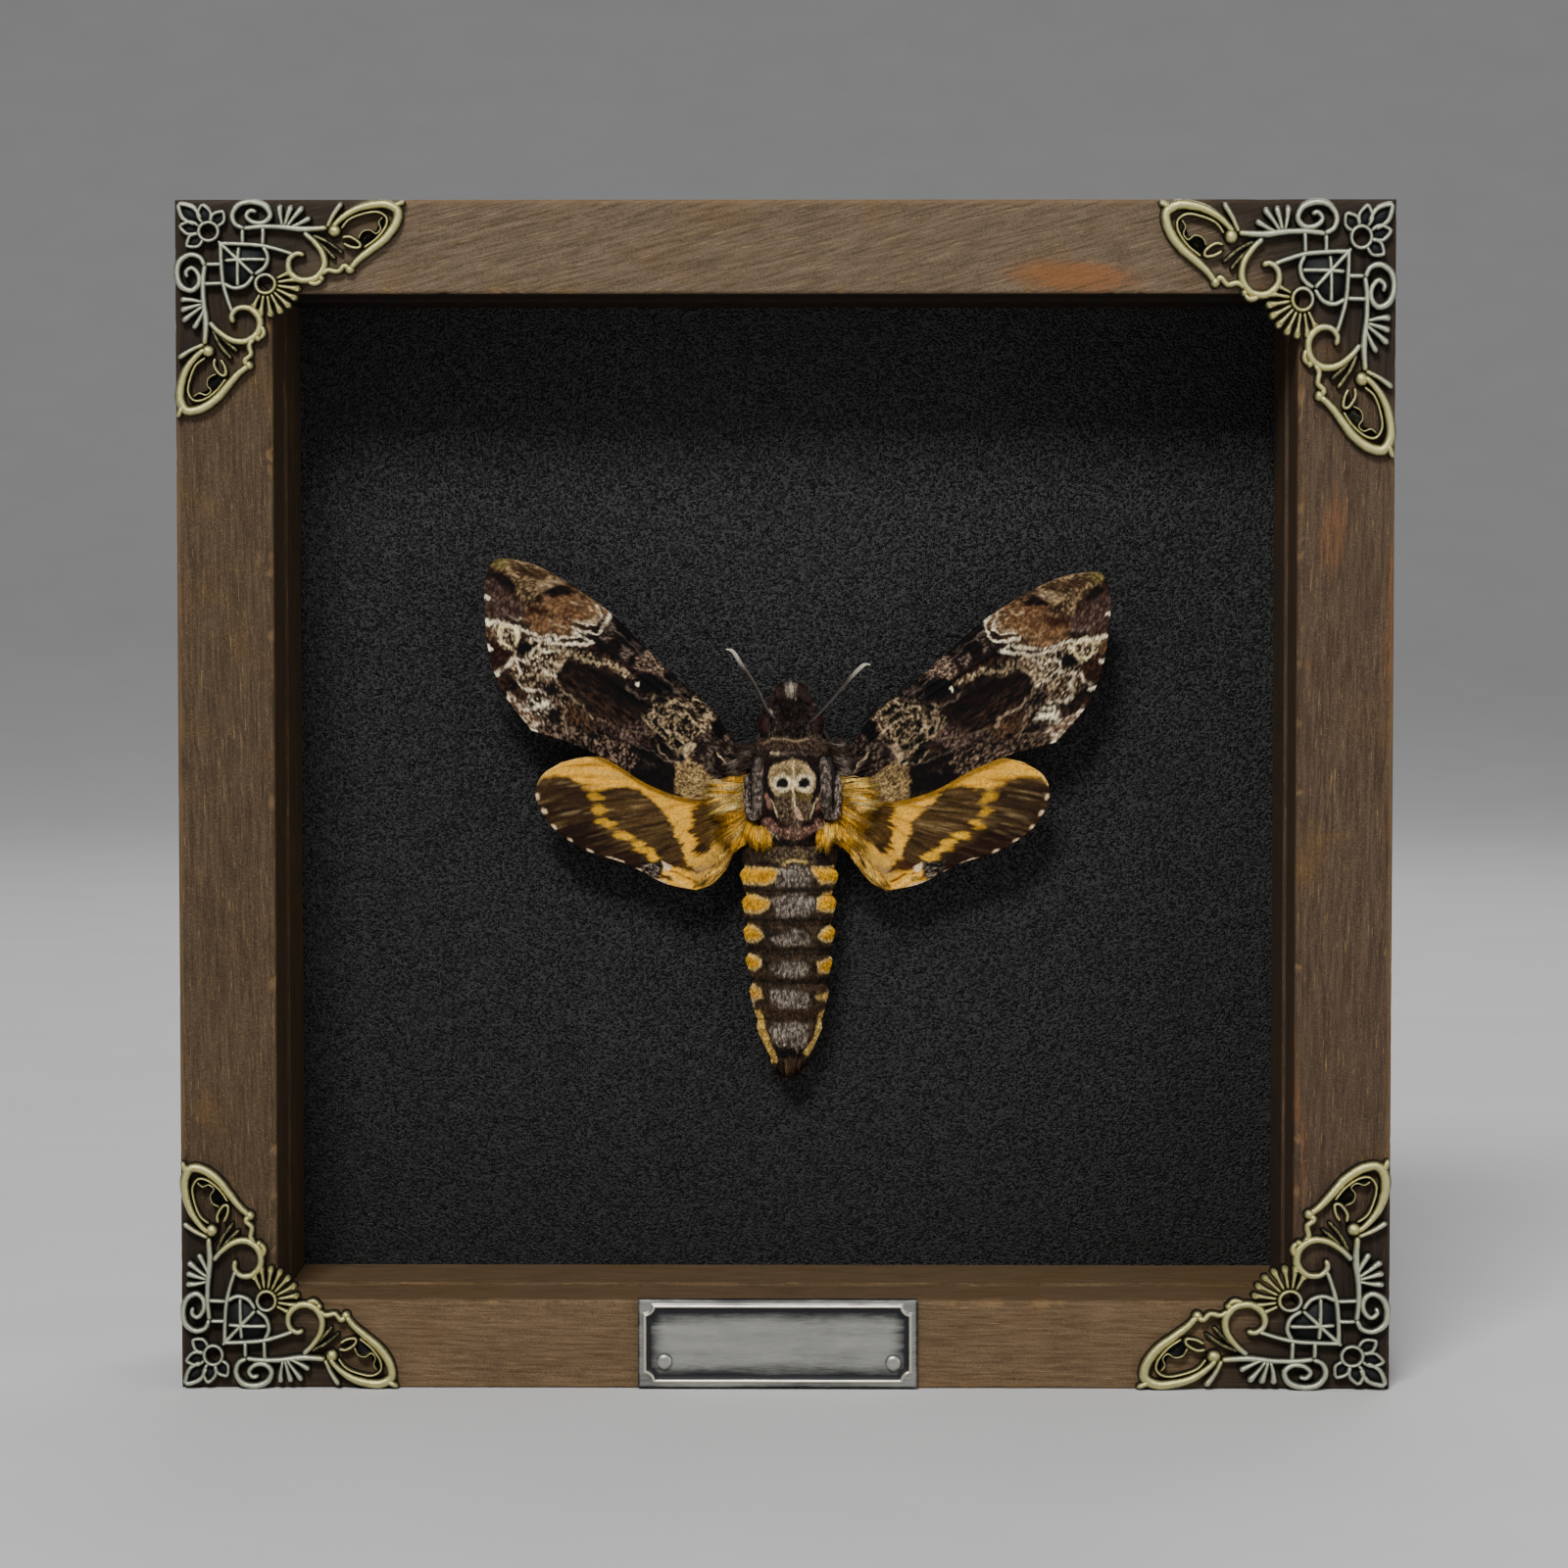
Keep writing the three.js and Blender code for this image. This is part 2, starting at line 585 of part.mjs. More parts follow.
function makeHeadParts() {
  const antennaLines = {
    left: [[-1.9, 10.2, 12.6], [-3.9, 12, 14], [-6.3, 16.7, 14.6], [-8.7, 20.4, 14.8], [-10.9, 22.9, 14.6]],
    right: [[1.9, 10, 12.6], [4, 11.7, 14], [6.7, 14.6, 14.6], [9.6, 17.9, 14.8], [12.9, 20.6, 14.6]],
  };
  const antennaTaper = (t) => {
    const swollen = 0.8 + 0.35 * Math.sin(Math.PI * t);
    return antennaRadius * swollen * (1 - 0.75 * smoothstep(0.8, 1, t));
  };
  for (const [side, line] of Object.entries(antennaLines)) {
    addPiece(moth, `antenna_${side}`, cutTo(rod(line, antennaTaper, 8, 12), headRings), darkShell);
  }
  for (const [side, sign] of [["left", -1], ["right", 1]]) {
    const palp = new THREE.SphereGeometry(1, 10, 6);
    palp.scale(1.2, 2.1, 1.9).rotateX(-0.25).translate(bodyMiddleX + sign * 1.4, 14.3, 8.3);
    addPiece(moth, `palp_${side}`, cutTo(palp, headRings), headFur);
  }
  const tongue = [[11.5, 7], [13.6, 5.3], [13.2, 3.9], [12, 4.2]].map(([y, z]) => [bodyMiddleX, y, z]);
  const tongueTaper = (t) => 0.75 - 0.35 * t;
  addPiece(moth, "proboscis", cutTo(rod(tongue, tongueTaper, 7, 6), headRings), darkShell);
}

// A tegula lies over each wing's root as a narrow loop: along the thorax, round behind and back outside.
function makeTegulae() {
  const inner = [[5, 4.3, 14.6], [5.5, 1, 15.2], [5.5, -3, 15], [6.1, -6.3, 14.2]];
  const outer = [[7.3, -6, 13.4], [7.4, -3, 13.5], [7.4, 0, 13.5], [6.9, 3.2, 13.6]];
  const thickness = (t) => 1.05 - 0.25 * Math.abs(2 * t - 1) ** 3 - 0.12 * t;
  for (const [side, sign] of [["left", -1], ["right", 1]]) {
    const pad = rod(mirrored([...inner, ...outer], sign), thickness, 7, 13);
    addPiece(moth, `tegula_${side}`, cutTo(pad, thoraxRings), tegulaFur);
  }
}

function makeLegs() {
  const lines = {
    front: [[2.8, 2, 6], [4.6, 4.2, 3.6], [6.2, 6.4, 2.7], [4.8, 9.4, 2.2], [3.6, 12, 1.7]],
    mid: [[3, -1, 6], [5.6, -0.8, 3.5], [8.4, 0.8, 2.7], [9.4, -2, 2], [9.6, -5, 1.5]],
    hind: [[3, -5.2, 6], [5.2, -6.6, 3.6], [7.4, -9, 2.6], [7.2, -13, 1.9], [6.4, -19, 1.3]],
  };
  const taper = (t) => legRadius * (1 - 0.62 * t);
  for (const [pair, line] of Object.entries(lines)) {
    for (const [side, sign] of [["left", -1], ["right", 1]]) {
      const leg = rod(mirrored(line, sign), taper, 6, 7);
      addPiece(moth, `leg_${pair}_${side}`, cutTo(leg, thoraxRings), darkShell);
    }
  }
}

function makeMountingBlock() {
  const block = new THREE.BoxGeometry(4, 6, 6).translate(bodyMiddleX, -1.5, 3 + gap);
  addPiece(moth, "mounting_block", cutTo(block, thoraxRings), cork);
}

// Moth: wings. Each is a sheet between four edges, and its veins run from the root to the outer edge.

// Along and forward from the shoulder, for a wing that points straight out.
const forewingEdges = {
  front: [[-3.5, 0.8], [4.7, 2.6], [8.7, 3.9], [17.5, 4.3], [26.4, 5], [34.7, 5.5], [42.3, 4.9]],
  outer: [
    [42.3, 4.9], [48.3, 3.6], [52.4, 1.6], [54.4, -0.2], [53.2, -4.2],
    [49.9, -8.2], [44.9, -13], [39.1, -16.4], [31.1, -18.3],
  ],
  rear: [[-7.5, -4], [-2.9, -4.4], [2.7, -9.6], [9.7, -12.5], [17.5, -13.7], [24.7, -15.7], [31.1, -18.3]],
};
// Outwards and towards the head from the middle of the thorax.
const hindwingEdges = {
  front: [[4.5, -1.5], [14, 1], [24, 3.4], [32.5, 4.6], [36, 4.4], [39.3, 3.6]],
  outer: [
    [39.3, 3.6], [42.5, 1.4], [43.6, -1.7], [41.3, -6.8],
    [35.5, -11.1], [28.3, -13.6], [21.5, -17], [16.4, -18.1],
  ],
  rear: [[4.5, -7], [9, -9.8], [11.3, -14.5], [13.9, -17.2], [16.4, -18.1]],
};
// Where each vein leaves the root and meets the outer edge, from 0 at the front edge to 1 at the rear.
const forewingVeins = [
  [0.1, 0.06], [0.17, 0.24], [0.24, 0.38], [0.38, 0.5], [0.52, 0.62], [0.59, 0.74], [0.66, 0.87],
];
const hindwingVeins = [[0.14, 0.12], [0.22, 0.27], [0.3, 0.42], [0.45, 0.56], [0.54, 0.7], [0.63, 0.86]];

// A point of the sheet between the four edges: across from front to rear, out from root to outer edge.
function sheetPoint(curves, root, across, out) {
  const front = curves.front.getPointAt(out);
  const rear = curves.rear.getPointAt(out);
  const outer = curves.outer.getPointAt(across);
  const [rootFront, rootRear] = root;
  const outerFront = curves.outer.getPointAt(0);
  const outerRear = curves.outer.getPointAt(1);
  const blend = (key) => {
    const rootPoint = THREE.MathUtils.lerp(rootFront[key], rootRear[key], across);
    const edges = THREE.MathUtils.lerp(front[key], rear[key], across);
    const ends = THREE.MathUtils.lerp(rootPoint, outer[key], out);
    const cornersFront = THREE.MathUtils.lerp(rootFront[key], outerFront[key], out);
    const cornersRear = THREE.MathUtils.lerp(rootRear[key], outerRear[key], out);
    return edges + ends - THREE.MathUtils.lerp(cornersFront, cornersRear, across);
  };
  return [blend("x"), blend("y")];
}

// Lines along the wing: each vein on its ridge, with a line at the foot of the ridge on either side.
function wingLines(veins) {
  const foot = 0.3;
  const ridges = [[0, 0], ...veins, [0.9, 0.95]];
  const lines = [];
  ridges.forEach((vein, i) => {
    lines.push({ root: vein[0], outer: vein[1], ridge: 1 });
    const next = ridges[i + 1] ?? [1, 1];
    for (const share of ridges[i + 1] ? [foot, 1 - foot] : [0.5]) {
      lines.push({
        root: THREE.MathUtils.lerp(vein[0], next[0], share),
        outer: THREE.MathUtils.lerp(vein[1], next[1], share),
        ridge: 0,
      });
    }
  });
  lines.push({ root: 1, outer: 1, ridge: 0 });
  return lines;
}

function wingGeometry({ edges, veins, stations, toMoth, height }) {
  const { front, outer, rear } = edges;
  const curves = { front: smoothCurve(front), outer: smoothCurve(outer), rear: smoothCurve(rear) };
  const root = [curves.front.getPointAt(0), curves.rear.getPointAt(0)];
  const lines = wingLines(veins);
  const upper = [];
  const lower = [];
  for (let s = 0; s <= stations; s += 1) {
    const out = s / stations;
    for (const line of lines) {
      const across = THREE.MathUtils.lerp(line.root, line.outer, smoothstep(0.25, 0.95, out));
      const [x, y] = toMoth(sheetPoint(curves, root, across, out));
      const middle = height + wingRise * (Math.abs(x) - shoulderX);
      const ridge = line.ridge * veinHeight * (1 - 0.6 * out);
      upper.push([x, y, middle + wingThickness / 2 + ridge]);
      lower.push([x, y, middle - wingThickness / 2]);
    }
  }
  const count = lines.length;
  const under = upper.length;
  const faces = [];
  for (let s = 0; s < stations; s += 1) {
    for (let i = 0; i < count - 1; i += 1) {
      const a = s * count + i;
      const b = a + count;
      faces.push([a, a + 1, b + 1], [a, b + 1, b]);
      faces.push([under + a, under + b + 1, under + a + 1], [under + a, under + b, under + b + 1]);
    }
  }
  const wall = (a, b) => faces.push([a, b, under + b], [a, under + b, under + a]);
  for (let i = 0; i < count - 1; i += 1) {
    wall(i + 1, i);
    wall(stations * count + i, stations * count + i + 1);
  }
  for (let s = 0; s < stations; s += 1) {
    wall(s * count, (s + 1) * count);
    wall((s + 1) * count + count - 1, s * count + count - 1);
  }
  return tidyShape(geometryFrom([...upper, ...lower], faces));
}

function makeWings() {
  const firstSegment = segmentRings(abdomenJoints[0], abdomenJoints[1]);
  for (const [side, sign] of [["left", -1], ["right", 1]]) {
    const angle = THREE.MathUtils.degToRad(forewingAngle[side]);
    const toShoulder = ([along, forward]) => [
      sign * (shoulderX + along * Math.cos(angle) - forward * Math.sin(angle)),
      shoulderY + along * Math.sin(angle) + forward * Math.cos(angle),
    ];
    const forewing = wingGeometry({
      edges: forewingEdges,
      veins: forewingVeins,
      stations: 9,
      toMoth: toShoulder,
      height: wingHeight,
    });
    const hindwing = wingGeometry({
      edges: hindwingEdges,
      veins: hindwingVeins,
      stations: 7,
      toMoth: ([x, y]) => [sign * x, y],
      height: wingHeight - wingStacking,
    });
    addPiece(moth, `forewing_${side}`, cutTo(forewing, thoraxRings), forewingScales);
    addPiece(moth, `hindwing_${side}`, cutTo(hindwing, thoraxRings, firstSegment), hindwingScales);
  }
}

makeRails();
makeBoards();
makeBoardPoints();
makeHanger();
makeCorners();
makeNameplate();
makeBody();
makeHeadParts();
makeTegulae();
makeLegs();
makeMountingBlock();
makeWings();

export default part;
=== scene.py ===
"""The looks of a death's head hawkmoth in a deep wooden case with filigree corners and a bare nameplate.

Shapes are worked out in millimetres and become metres when a mesh is made. The moth's own frame has
x to the right, y towards the head and z out from the backing panel.
"""

import itertools
import math

import bpy
import numpy as np
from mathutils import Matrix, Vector


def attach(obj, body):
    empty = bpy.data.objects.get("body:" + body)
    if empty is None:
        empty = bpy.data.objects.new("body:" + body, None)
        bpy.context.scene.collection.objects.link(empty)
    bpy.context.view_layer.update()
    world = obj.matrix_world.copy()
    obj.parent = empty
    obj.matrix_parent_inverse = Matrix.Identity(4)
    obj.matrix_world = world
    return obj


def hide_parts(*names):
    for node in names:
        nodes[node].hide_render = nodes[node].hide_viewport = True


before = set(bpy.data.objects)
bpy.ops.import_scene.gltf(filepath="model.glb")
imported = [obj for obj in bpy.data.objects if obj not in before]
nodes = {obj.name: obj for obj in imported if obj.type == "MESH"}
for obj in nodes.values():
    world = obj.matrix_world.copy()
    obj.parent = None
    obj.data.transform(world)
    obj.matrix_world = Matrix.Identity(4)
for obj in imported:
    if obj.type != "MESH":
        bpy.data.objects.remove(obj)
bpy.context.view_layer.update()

MM = 0.001
FRONT = -22.5  # the case's front face
BACKING = 12.8  # the front of the backing panel
CASE = {"width": 200.0, "height": 196.0, "depth": 45.0}
RAILS = {"side": 16.1, "top": 15.5, "bottom": 14.8}
STEP, RABBET = 15.0, 35.0  # how far behind the front face a rail's inner wall steps back, and its rabbet starts
MOTH = (1.1, 99.0)
BODY_X = -0.3
ABDOMEN_X = -0.6
WING = {"height": 11.5, "stacking": 1.35, "rise": 0.03, "shoulder": (8.6, 3.0)}
WING_TURN = {"left": 40.2, "right": 37.0}


# Arrays, noise and lines


def rng(seed):
    return np.random.default_rng(seed)


def tint(red, green, blue, gain=1.0):
    """A colour from 0 to 255 as shares of light, a little fuller than seen, because the camera's soft curve
    pales it."""
    light = np.power(np.array([red, green, blue]) / 255.0, 2.3)
    middle = light.mean()
    return np.clip(middle + (light - middle) * 1.22, 0.0008, 1.0) * gain


def trace(text):
    """Places of a line or an outline from text: numbers with commas, and a space after each place."""
    if not isinstance(text, str):
        return text
    return [tuple(float(number) for number in place.split(",")) for place in text.split()]


def ease(low, high, value):
    share = np.clip((value - low) / (high - low), 0, 1)
    return share * share * (3 - 2 * share)


def mottle(places, size, seed):
    """Smooth random values from -1 to 1: the corners of a lattice of that size hold random numbers, and a
    place takes its cell's corners in eased shares."""
    scaled = np.asarray(places, float) / size
    cell = np.floor(scaled).astype(np.int64)
    share = scaled - cell
    share = share * share * (3 - 2 * share)
    factors = np.array([73856093, 19349663, 83492791])[: scaled.shape[-1]]
    total = np.zeros(scaled.shape[:-1])
    for corner in itertools.product((0, 1), repeat=scaled.shape[-1]):
        key = ((cell + np.array(corner)) @ factors + seed * 7919) & 0xFFFFFFFF
        key = ((key ^ (key >> 15)) * 2246822519) & 0xFFFFFFFF
        key = ((key ^ (key >> 13)) * 3266489917) & 0xFFFFFFFF
        key = key ^ (key >> 16)
        weight = np.prod(np.where(corner, share, 1 - share), axis=-1)
        total += weight * ((key & 0xFFFF) / 32767.5 - 1)
    return total


def layered(places, size, seed, layers=3):
    """Mottle at a size and its halves, each at half the strength of the one before."""
    parts = [mottle(places, size / 2**k, seed + 31 * k) / 2**k for k in range(layers)]
    return sum(parts) / (2 - 0.5 ** (layers - 1))


def smooth_line(points, shares):
    """Places at shares of the length of a smooth line through points. Each span is a cubic whose slopes
    come from its neighbours, weighed by the square roots of their distances."""
    p = np.asarray(points, float)
    p = np.vstack([2 * p[0] - p[1], p, 2 * p[-1] - p[-2]])
    step = np.sqrt(np.maximum(np.linalg.norm(np.diff(p, axis=0), axis=1), 1e-6))
    t = np.linspace(0, 1, 24, endpoint=False)[:, None]
    dense = []
    for i in range(1, len(p) - 2):
        before, here, after = step[i - 1], step[i], step[i + 1]
        slope0 = (p[i] - p[i - 1]) / before - (p[i + 1] - p[i - 1]) / (before + here)
        slope0 = (slope0 + (p[i + 1] - p[i]) / here) * here
        slope1 = (p[i + 1] - p[i]) / here - (p[i + 2] - p[i]) / (here + after)
        slope1 = (slope1 + (p[i + 2] - p[i + 1]) / after) * here
        rise = p[i + 1] - p[i]
        bend = (3 * rise - 2 * slope0 - slope1) * t**2
        dense.append(p[i] + slope0 * t + bend + (slope0 + slope1 - 2 * rise) * t**3)
    dense = np.vstack([*dense, p[-2]])
    length = np.concatenate([[0], np.cumsum(np.linalg.norm(np.diff(dense, axis=0), axis=1))])
    wanted = np.asarray(shares, float) * length[-1]
    return np.stack([np.interp(wanted, length, dense[:, k]) for k in range(p.shape[1])], -1)


def line_distance(places, points):
    """Distance from each place to the nearest point of a line of straight spans."""
    nearest = np.full(len(places), 1e9)
    for a, b in zip(points[:-1], points[1:]):
        a, b = np.asarray(a, float), np.asarray(b, float)
        along = np.clip((places - a) @ (b - a) / max((b - a) @ (b - a), 1e-9), 0, 1)
        nearest = np.minimum(nearest, np.linalg.norm(places - a - along[:, None] * (b - a), axis=1))
    return nearest


def outline_depth(places, outline):
    """How deep each place lies inside a closed outline; outside it is negative."""
    inside = np.zeros(len(places), bool)
    x, y = places[:, 0], places[:, 1]
    for (ax, ay), (bx, by) in zip(outline, [*outline[1:], outline[0]]):
        if ay != by:
            crosses = (ay > y) != (by > y)
            inside ^= crosses & (x < (bx - ax) * (y - ay) / (by - ay) + ax)
    distance = line_distance(places, [*outline, outline[0]])
    return np.where(inside, distance, -distance)


class Markings:
    """The colours of a surface's points. Each mark lays its colour over what is there, as far as it covers.
    The places are shaken a little first, so that no edge runs clean. A mark's line or outline is text that
    trace reads."""

    def __init__(self, places, ground, seed, shake=0.3, size=1.1, fray=0.11):
        self.places = places
        self.seed = seed
        self.drawn = 0
        coarse = [layered(places, size, seed + k, 3) for k in (0, 9)]
        fine = [layered(places, 0.42, seed + k, 2) for k in (4, 13)]
        self.at = places + shake * np.stack(coarse, -1) + fray * np.stack(fine, -1)
        self.colour = np.tile(np.asarray(ground, float), (len(places), 1))

    def grain(self, size, stretch=(1, 1)):
        """Fresh random values for one more mark."""
        self.drawn += 1
        return layered(self.places * stretch, size, self.seed + 400 + 13 * self.drawn, 3)

    def inside(self, outline, edge=0.35):
        return ease(-edge, edge, outline_depth(self.at, trace(outline)))

    def lay(self, colour, cover):
        cover = np.clip(cover, 0, 1)[:, None]
        self.colour = self.colour + (np.asarray(colour) - self.colour) * cover

    def field(self, colour, outline, edge=0.3, strength=1.0):
        self.lay(colour, strength * self.inside(outline, edge))

    def mix(self, dark, light, outline, size=0.5, share=0.0, edge=0.35, strength=1.0, stretch=(1, 1)):
        """A field where grains of a light colour lie on a dark one; a lower share gives more of them."""
        where = strength if outline is None else strength * self.inside(outline, edge)
        pick = ease(share - 0.3, share + 0.5, self.grain(0.62 * size, stretch))[:, None]
        self.lay(dark + (light - dark) * pick, where * np.ones(len(self.places)))

    def line(self, colour, points, width, edge=0.13, strength=1.0, broken=0.55):
        points = trace(points)
        if len(points) > 2:
            points = smooth_line(points, np.linspace(0, 1, 5 * len(points)))
        near = line_distance(self.at, points)
        gaps = 1 - broken * ease(-0.15, 0.4, self.grain(0.55))
        self.lay(colour, strength * gaps * ease(width / 2 + edge, width / 2 - edge, near))

    def spot(self, colour, x, y, wide, high, turn=0.0, edge=0.25, strength=1.0):
        c, s = math.cos(math.radians(turn)), math.sin(math.radians(turn))
        dx, dy = self.at[:, 0] - x, self.at[:, 1] - y
        out = np.hypot((dx * c + dy * s) / wide, (dy * c - dx * s) / high)
        self.lay(colour, strength * ease(1 + edge / min(wide, high), 1 - edge / min(wide, high), out))


# Meshes


def grid_faces(rows, columns, wrap=False, start=0):
    """Quads between neighbours of a grid stored row by row. With wrap its last column joins its first."""
    row = np.arange(rows - 1)[:, None]
    column = np.arange(columns if wrap else columns - 1)[None]
    after = (column + 1) % columns
    here, below = row * columns, (row + 1) * columns
    corners = [here + column, here + after, below + after, below + column]
    return np.stack(corners, -1).reshape(-1, 4) + start


def fan_faces(ring, middle, outward=True):
    """Triangles from a middle point to each span of a closed ring of points."""
    ring = np.asarray(ring)
    after = np.roll(ring, -1)
    faces = np.stack([ring, after, np.full(len(ring), middle)], -1)
    return faces if outward else faces[:, ::-1]


def facing_out(points, faces):
    """Whether the closed surface's faces look outwards: the sum of its cones from the origin is positive."""
    volume = 0.0
    centred = points - points.mean(0)
    for group in faces:
        for k in range(1, group.shape[1] - 1):
            a, b, c = centred[group[:, 0]], centred[group[:, k]], centred[group[:, k + 1]]
            volume += np.einsum("ij,ij->i", a, np.cross(b, c)).sum()
    return volume >= 0


def make_piece(name, points, faces, material, slot=None, replaces=(), paint=None, uv=None, smooth=True):
    """A mesh from points in millimetres and groups of faces of one size, riding on the case."""
    faces = [np.asarray(group, np.int64) for group in faces]
    if not facing_out(points, faces):
        faces = [group[:, ::-1] for group in faces]
    corners = np.concatenate([group.ravel() for group in faces]).astype(np.int32)
    sizes = np.concatenate([np.full(len(group), group.shape[1]) for group in faces])
    starts = np.concatenate([[0], np.cumsum(sizes)[:-1]]).astype(np.int32)
    mesh = bpy.data.meshes.new(name)
    mesh.vertices.add(len(points))
    mesh.vertices.foreach_set("co", (points * MM).astype(np.float32).ravel())
    mesh.loops.add(len(corners))
    mesh.loops.foreach_set("vertex_index", corners)
    mesh.polygons.add(len(sizes))
    mesh.polygons.foreach_set("loop_start", starts)
    mesh.polygons.foreach_set("use_smooth", np.full(len(sizes), smooth))
    mesh.update(calc_edges=True)
    for label, values in (paint or {}).items():
        layer = mesh.color_attributes.new(label, "FLOAT_COLOR", "POINT")
        values = np.asarray(values, float).reshape(len(points), -1)
        if values.shape[1] == 1:
            values = np.repeat(values, 3, axis=1)
        rgba = np.concatenate([np.clip(values, 0, 1), np.ones((len(values), 1))], axis=1)
        layer.data.foreach_set("color", rgba.astype(np.float32).ravel())
    if uv is not None:
        layer = mesh.uv_layers.new(name="OFBake")
        layer.data.foreach_set("uv", uv[corners].astype(np.float32).ravel())
    mesh.materials.append(material)
    piece = bpy.data.objects.new(name, mesh)
    bpy.context.scene.collection.objects.link(piece)
    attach(piece, "root")
    if replaces:
        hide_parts(*replaces)
    return piece


def from_moth(points):
    """Places of the moth's frame in the case's frame."""
    x, y, z = points[..., 0], points[..., 1], points[..., 2]
    return np.stack([x + MOTH[0], BACKING - z, y + MOTH[1]], -1)


class Parts:
    """Several closed cast shapes gathered into one piece. Towards a casting's tips the metal is yellower."""

    def __init__(self):
        self.points, self.groups, self.values, self.count = [], {}, [], 0

    def add(self, points, faces, values):
        points = np.asarray(points, float).reshape(-1, 3)
        for group in faces:
            group = np.asarray(group)
            self.groups.setdefault(group.shape[1], []).append(group + self.count)
        self.points.append(points)
        yellower = ease(23, 33, points[:, 0] + points[:, 1])
        self.values.append(np.stack([values, yellower, 0 * yellower], -1))
        self.count += len(points)

    def piece(self, name, material, place=None, label=None, **more):
        points = np.vstack(self.points)
        if place is not None:
            points = place(points)
        faces = [np.vstack(group) for group in self.groups.values()]
        paint = {label: np.vstack(self.values)} if label else None
        return make_piece(name, points, faces, material, paint=paint, **more)


def frames_along(path):
    """For each place of a path its direction and two directions across, turned as little as possible."""
    along = np.gradient(path, axis=0)
    along /= np.maximum(np.linalg.norm(along, axis=1, keepdims=True), 1e-9)
    helper = np.eye(3)[np.argmin(np.abs(along[0]))]
    across = [np.cross(along[0], helper)]
    across[0] /= np.linalg.norm(across[0])
    for here in along[1:]:
        turned = across[-1] - here * (across[-1] @ here)
        across.append(turned / np.linalg.norm(turned))
    across = np.array(across)
    return along, across, np.cross(along, across)


def tube(path, wide, high=None, sides=12):
    """A closed tube of oval section along a path: each station is a ring of its two half widths, and both
    ends close in a point."""
    path = np.asarray(path, float)
    wide = np.broadcast_to(np.asarray(wide, float), (len(path),))
    high = wide if high is None else np.broadcast_to(np.asarray(high, float), (len(path),))
    _, across, up = frames_along(path)
    angle = np.arange(sides) * 2 * np.pi / sides
    cos, sin = np.cos(angle)[None, :, None], np.sin(angle)[None, :, None]
    rings = path[:, None] + cos * (across * wide[:, None])[:, None] + sin * (up * high[:, None])[:, None]
    points = np.vstack([rings.reshape(-1, 3), path[0], path[-1]])
    last = len(path) * sides
    ends = np.vstack([fan_faces(np.arange(sides), last, False), fan_faces(np.arange(last - sides, last), last + 1)])
    return points, [grid_faces(len(path), sides, wrap=True), ends]


# Materials


class Value:
    """A shader number. Each operator adds one Math node."""

    def __init__(self, finish, socket):
        self.finish, self.socket = finish, socket

    def maths(self, operation, first, second=0.0):
        return self.finish.node("ShaderNodeMath", {"operation": operation}, {0: first, 1: second})

    def __add__(self, other):
        return self.maths("ADD", self, other)

    def __radd__(self, other):
        return self.maths("ADD", other, self)

    def __sub__(self, other):
        return self.maths("SUBTRACT", self, other)

    def __rsub__(self, other):
        return self.maths("SUBTRACT", other, self)

    def __mul__(self, other):
        return self.maths("MULTIPLY", self, other)

    def __rmul__(self, other):
        return self.maths("MULTIPLY", other, self)

    def __pow__(self, other):
        return self.maths("POWER", self, other)


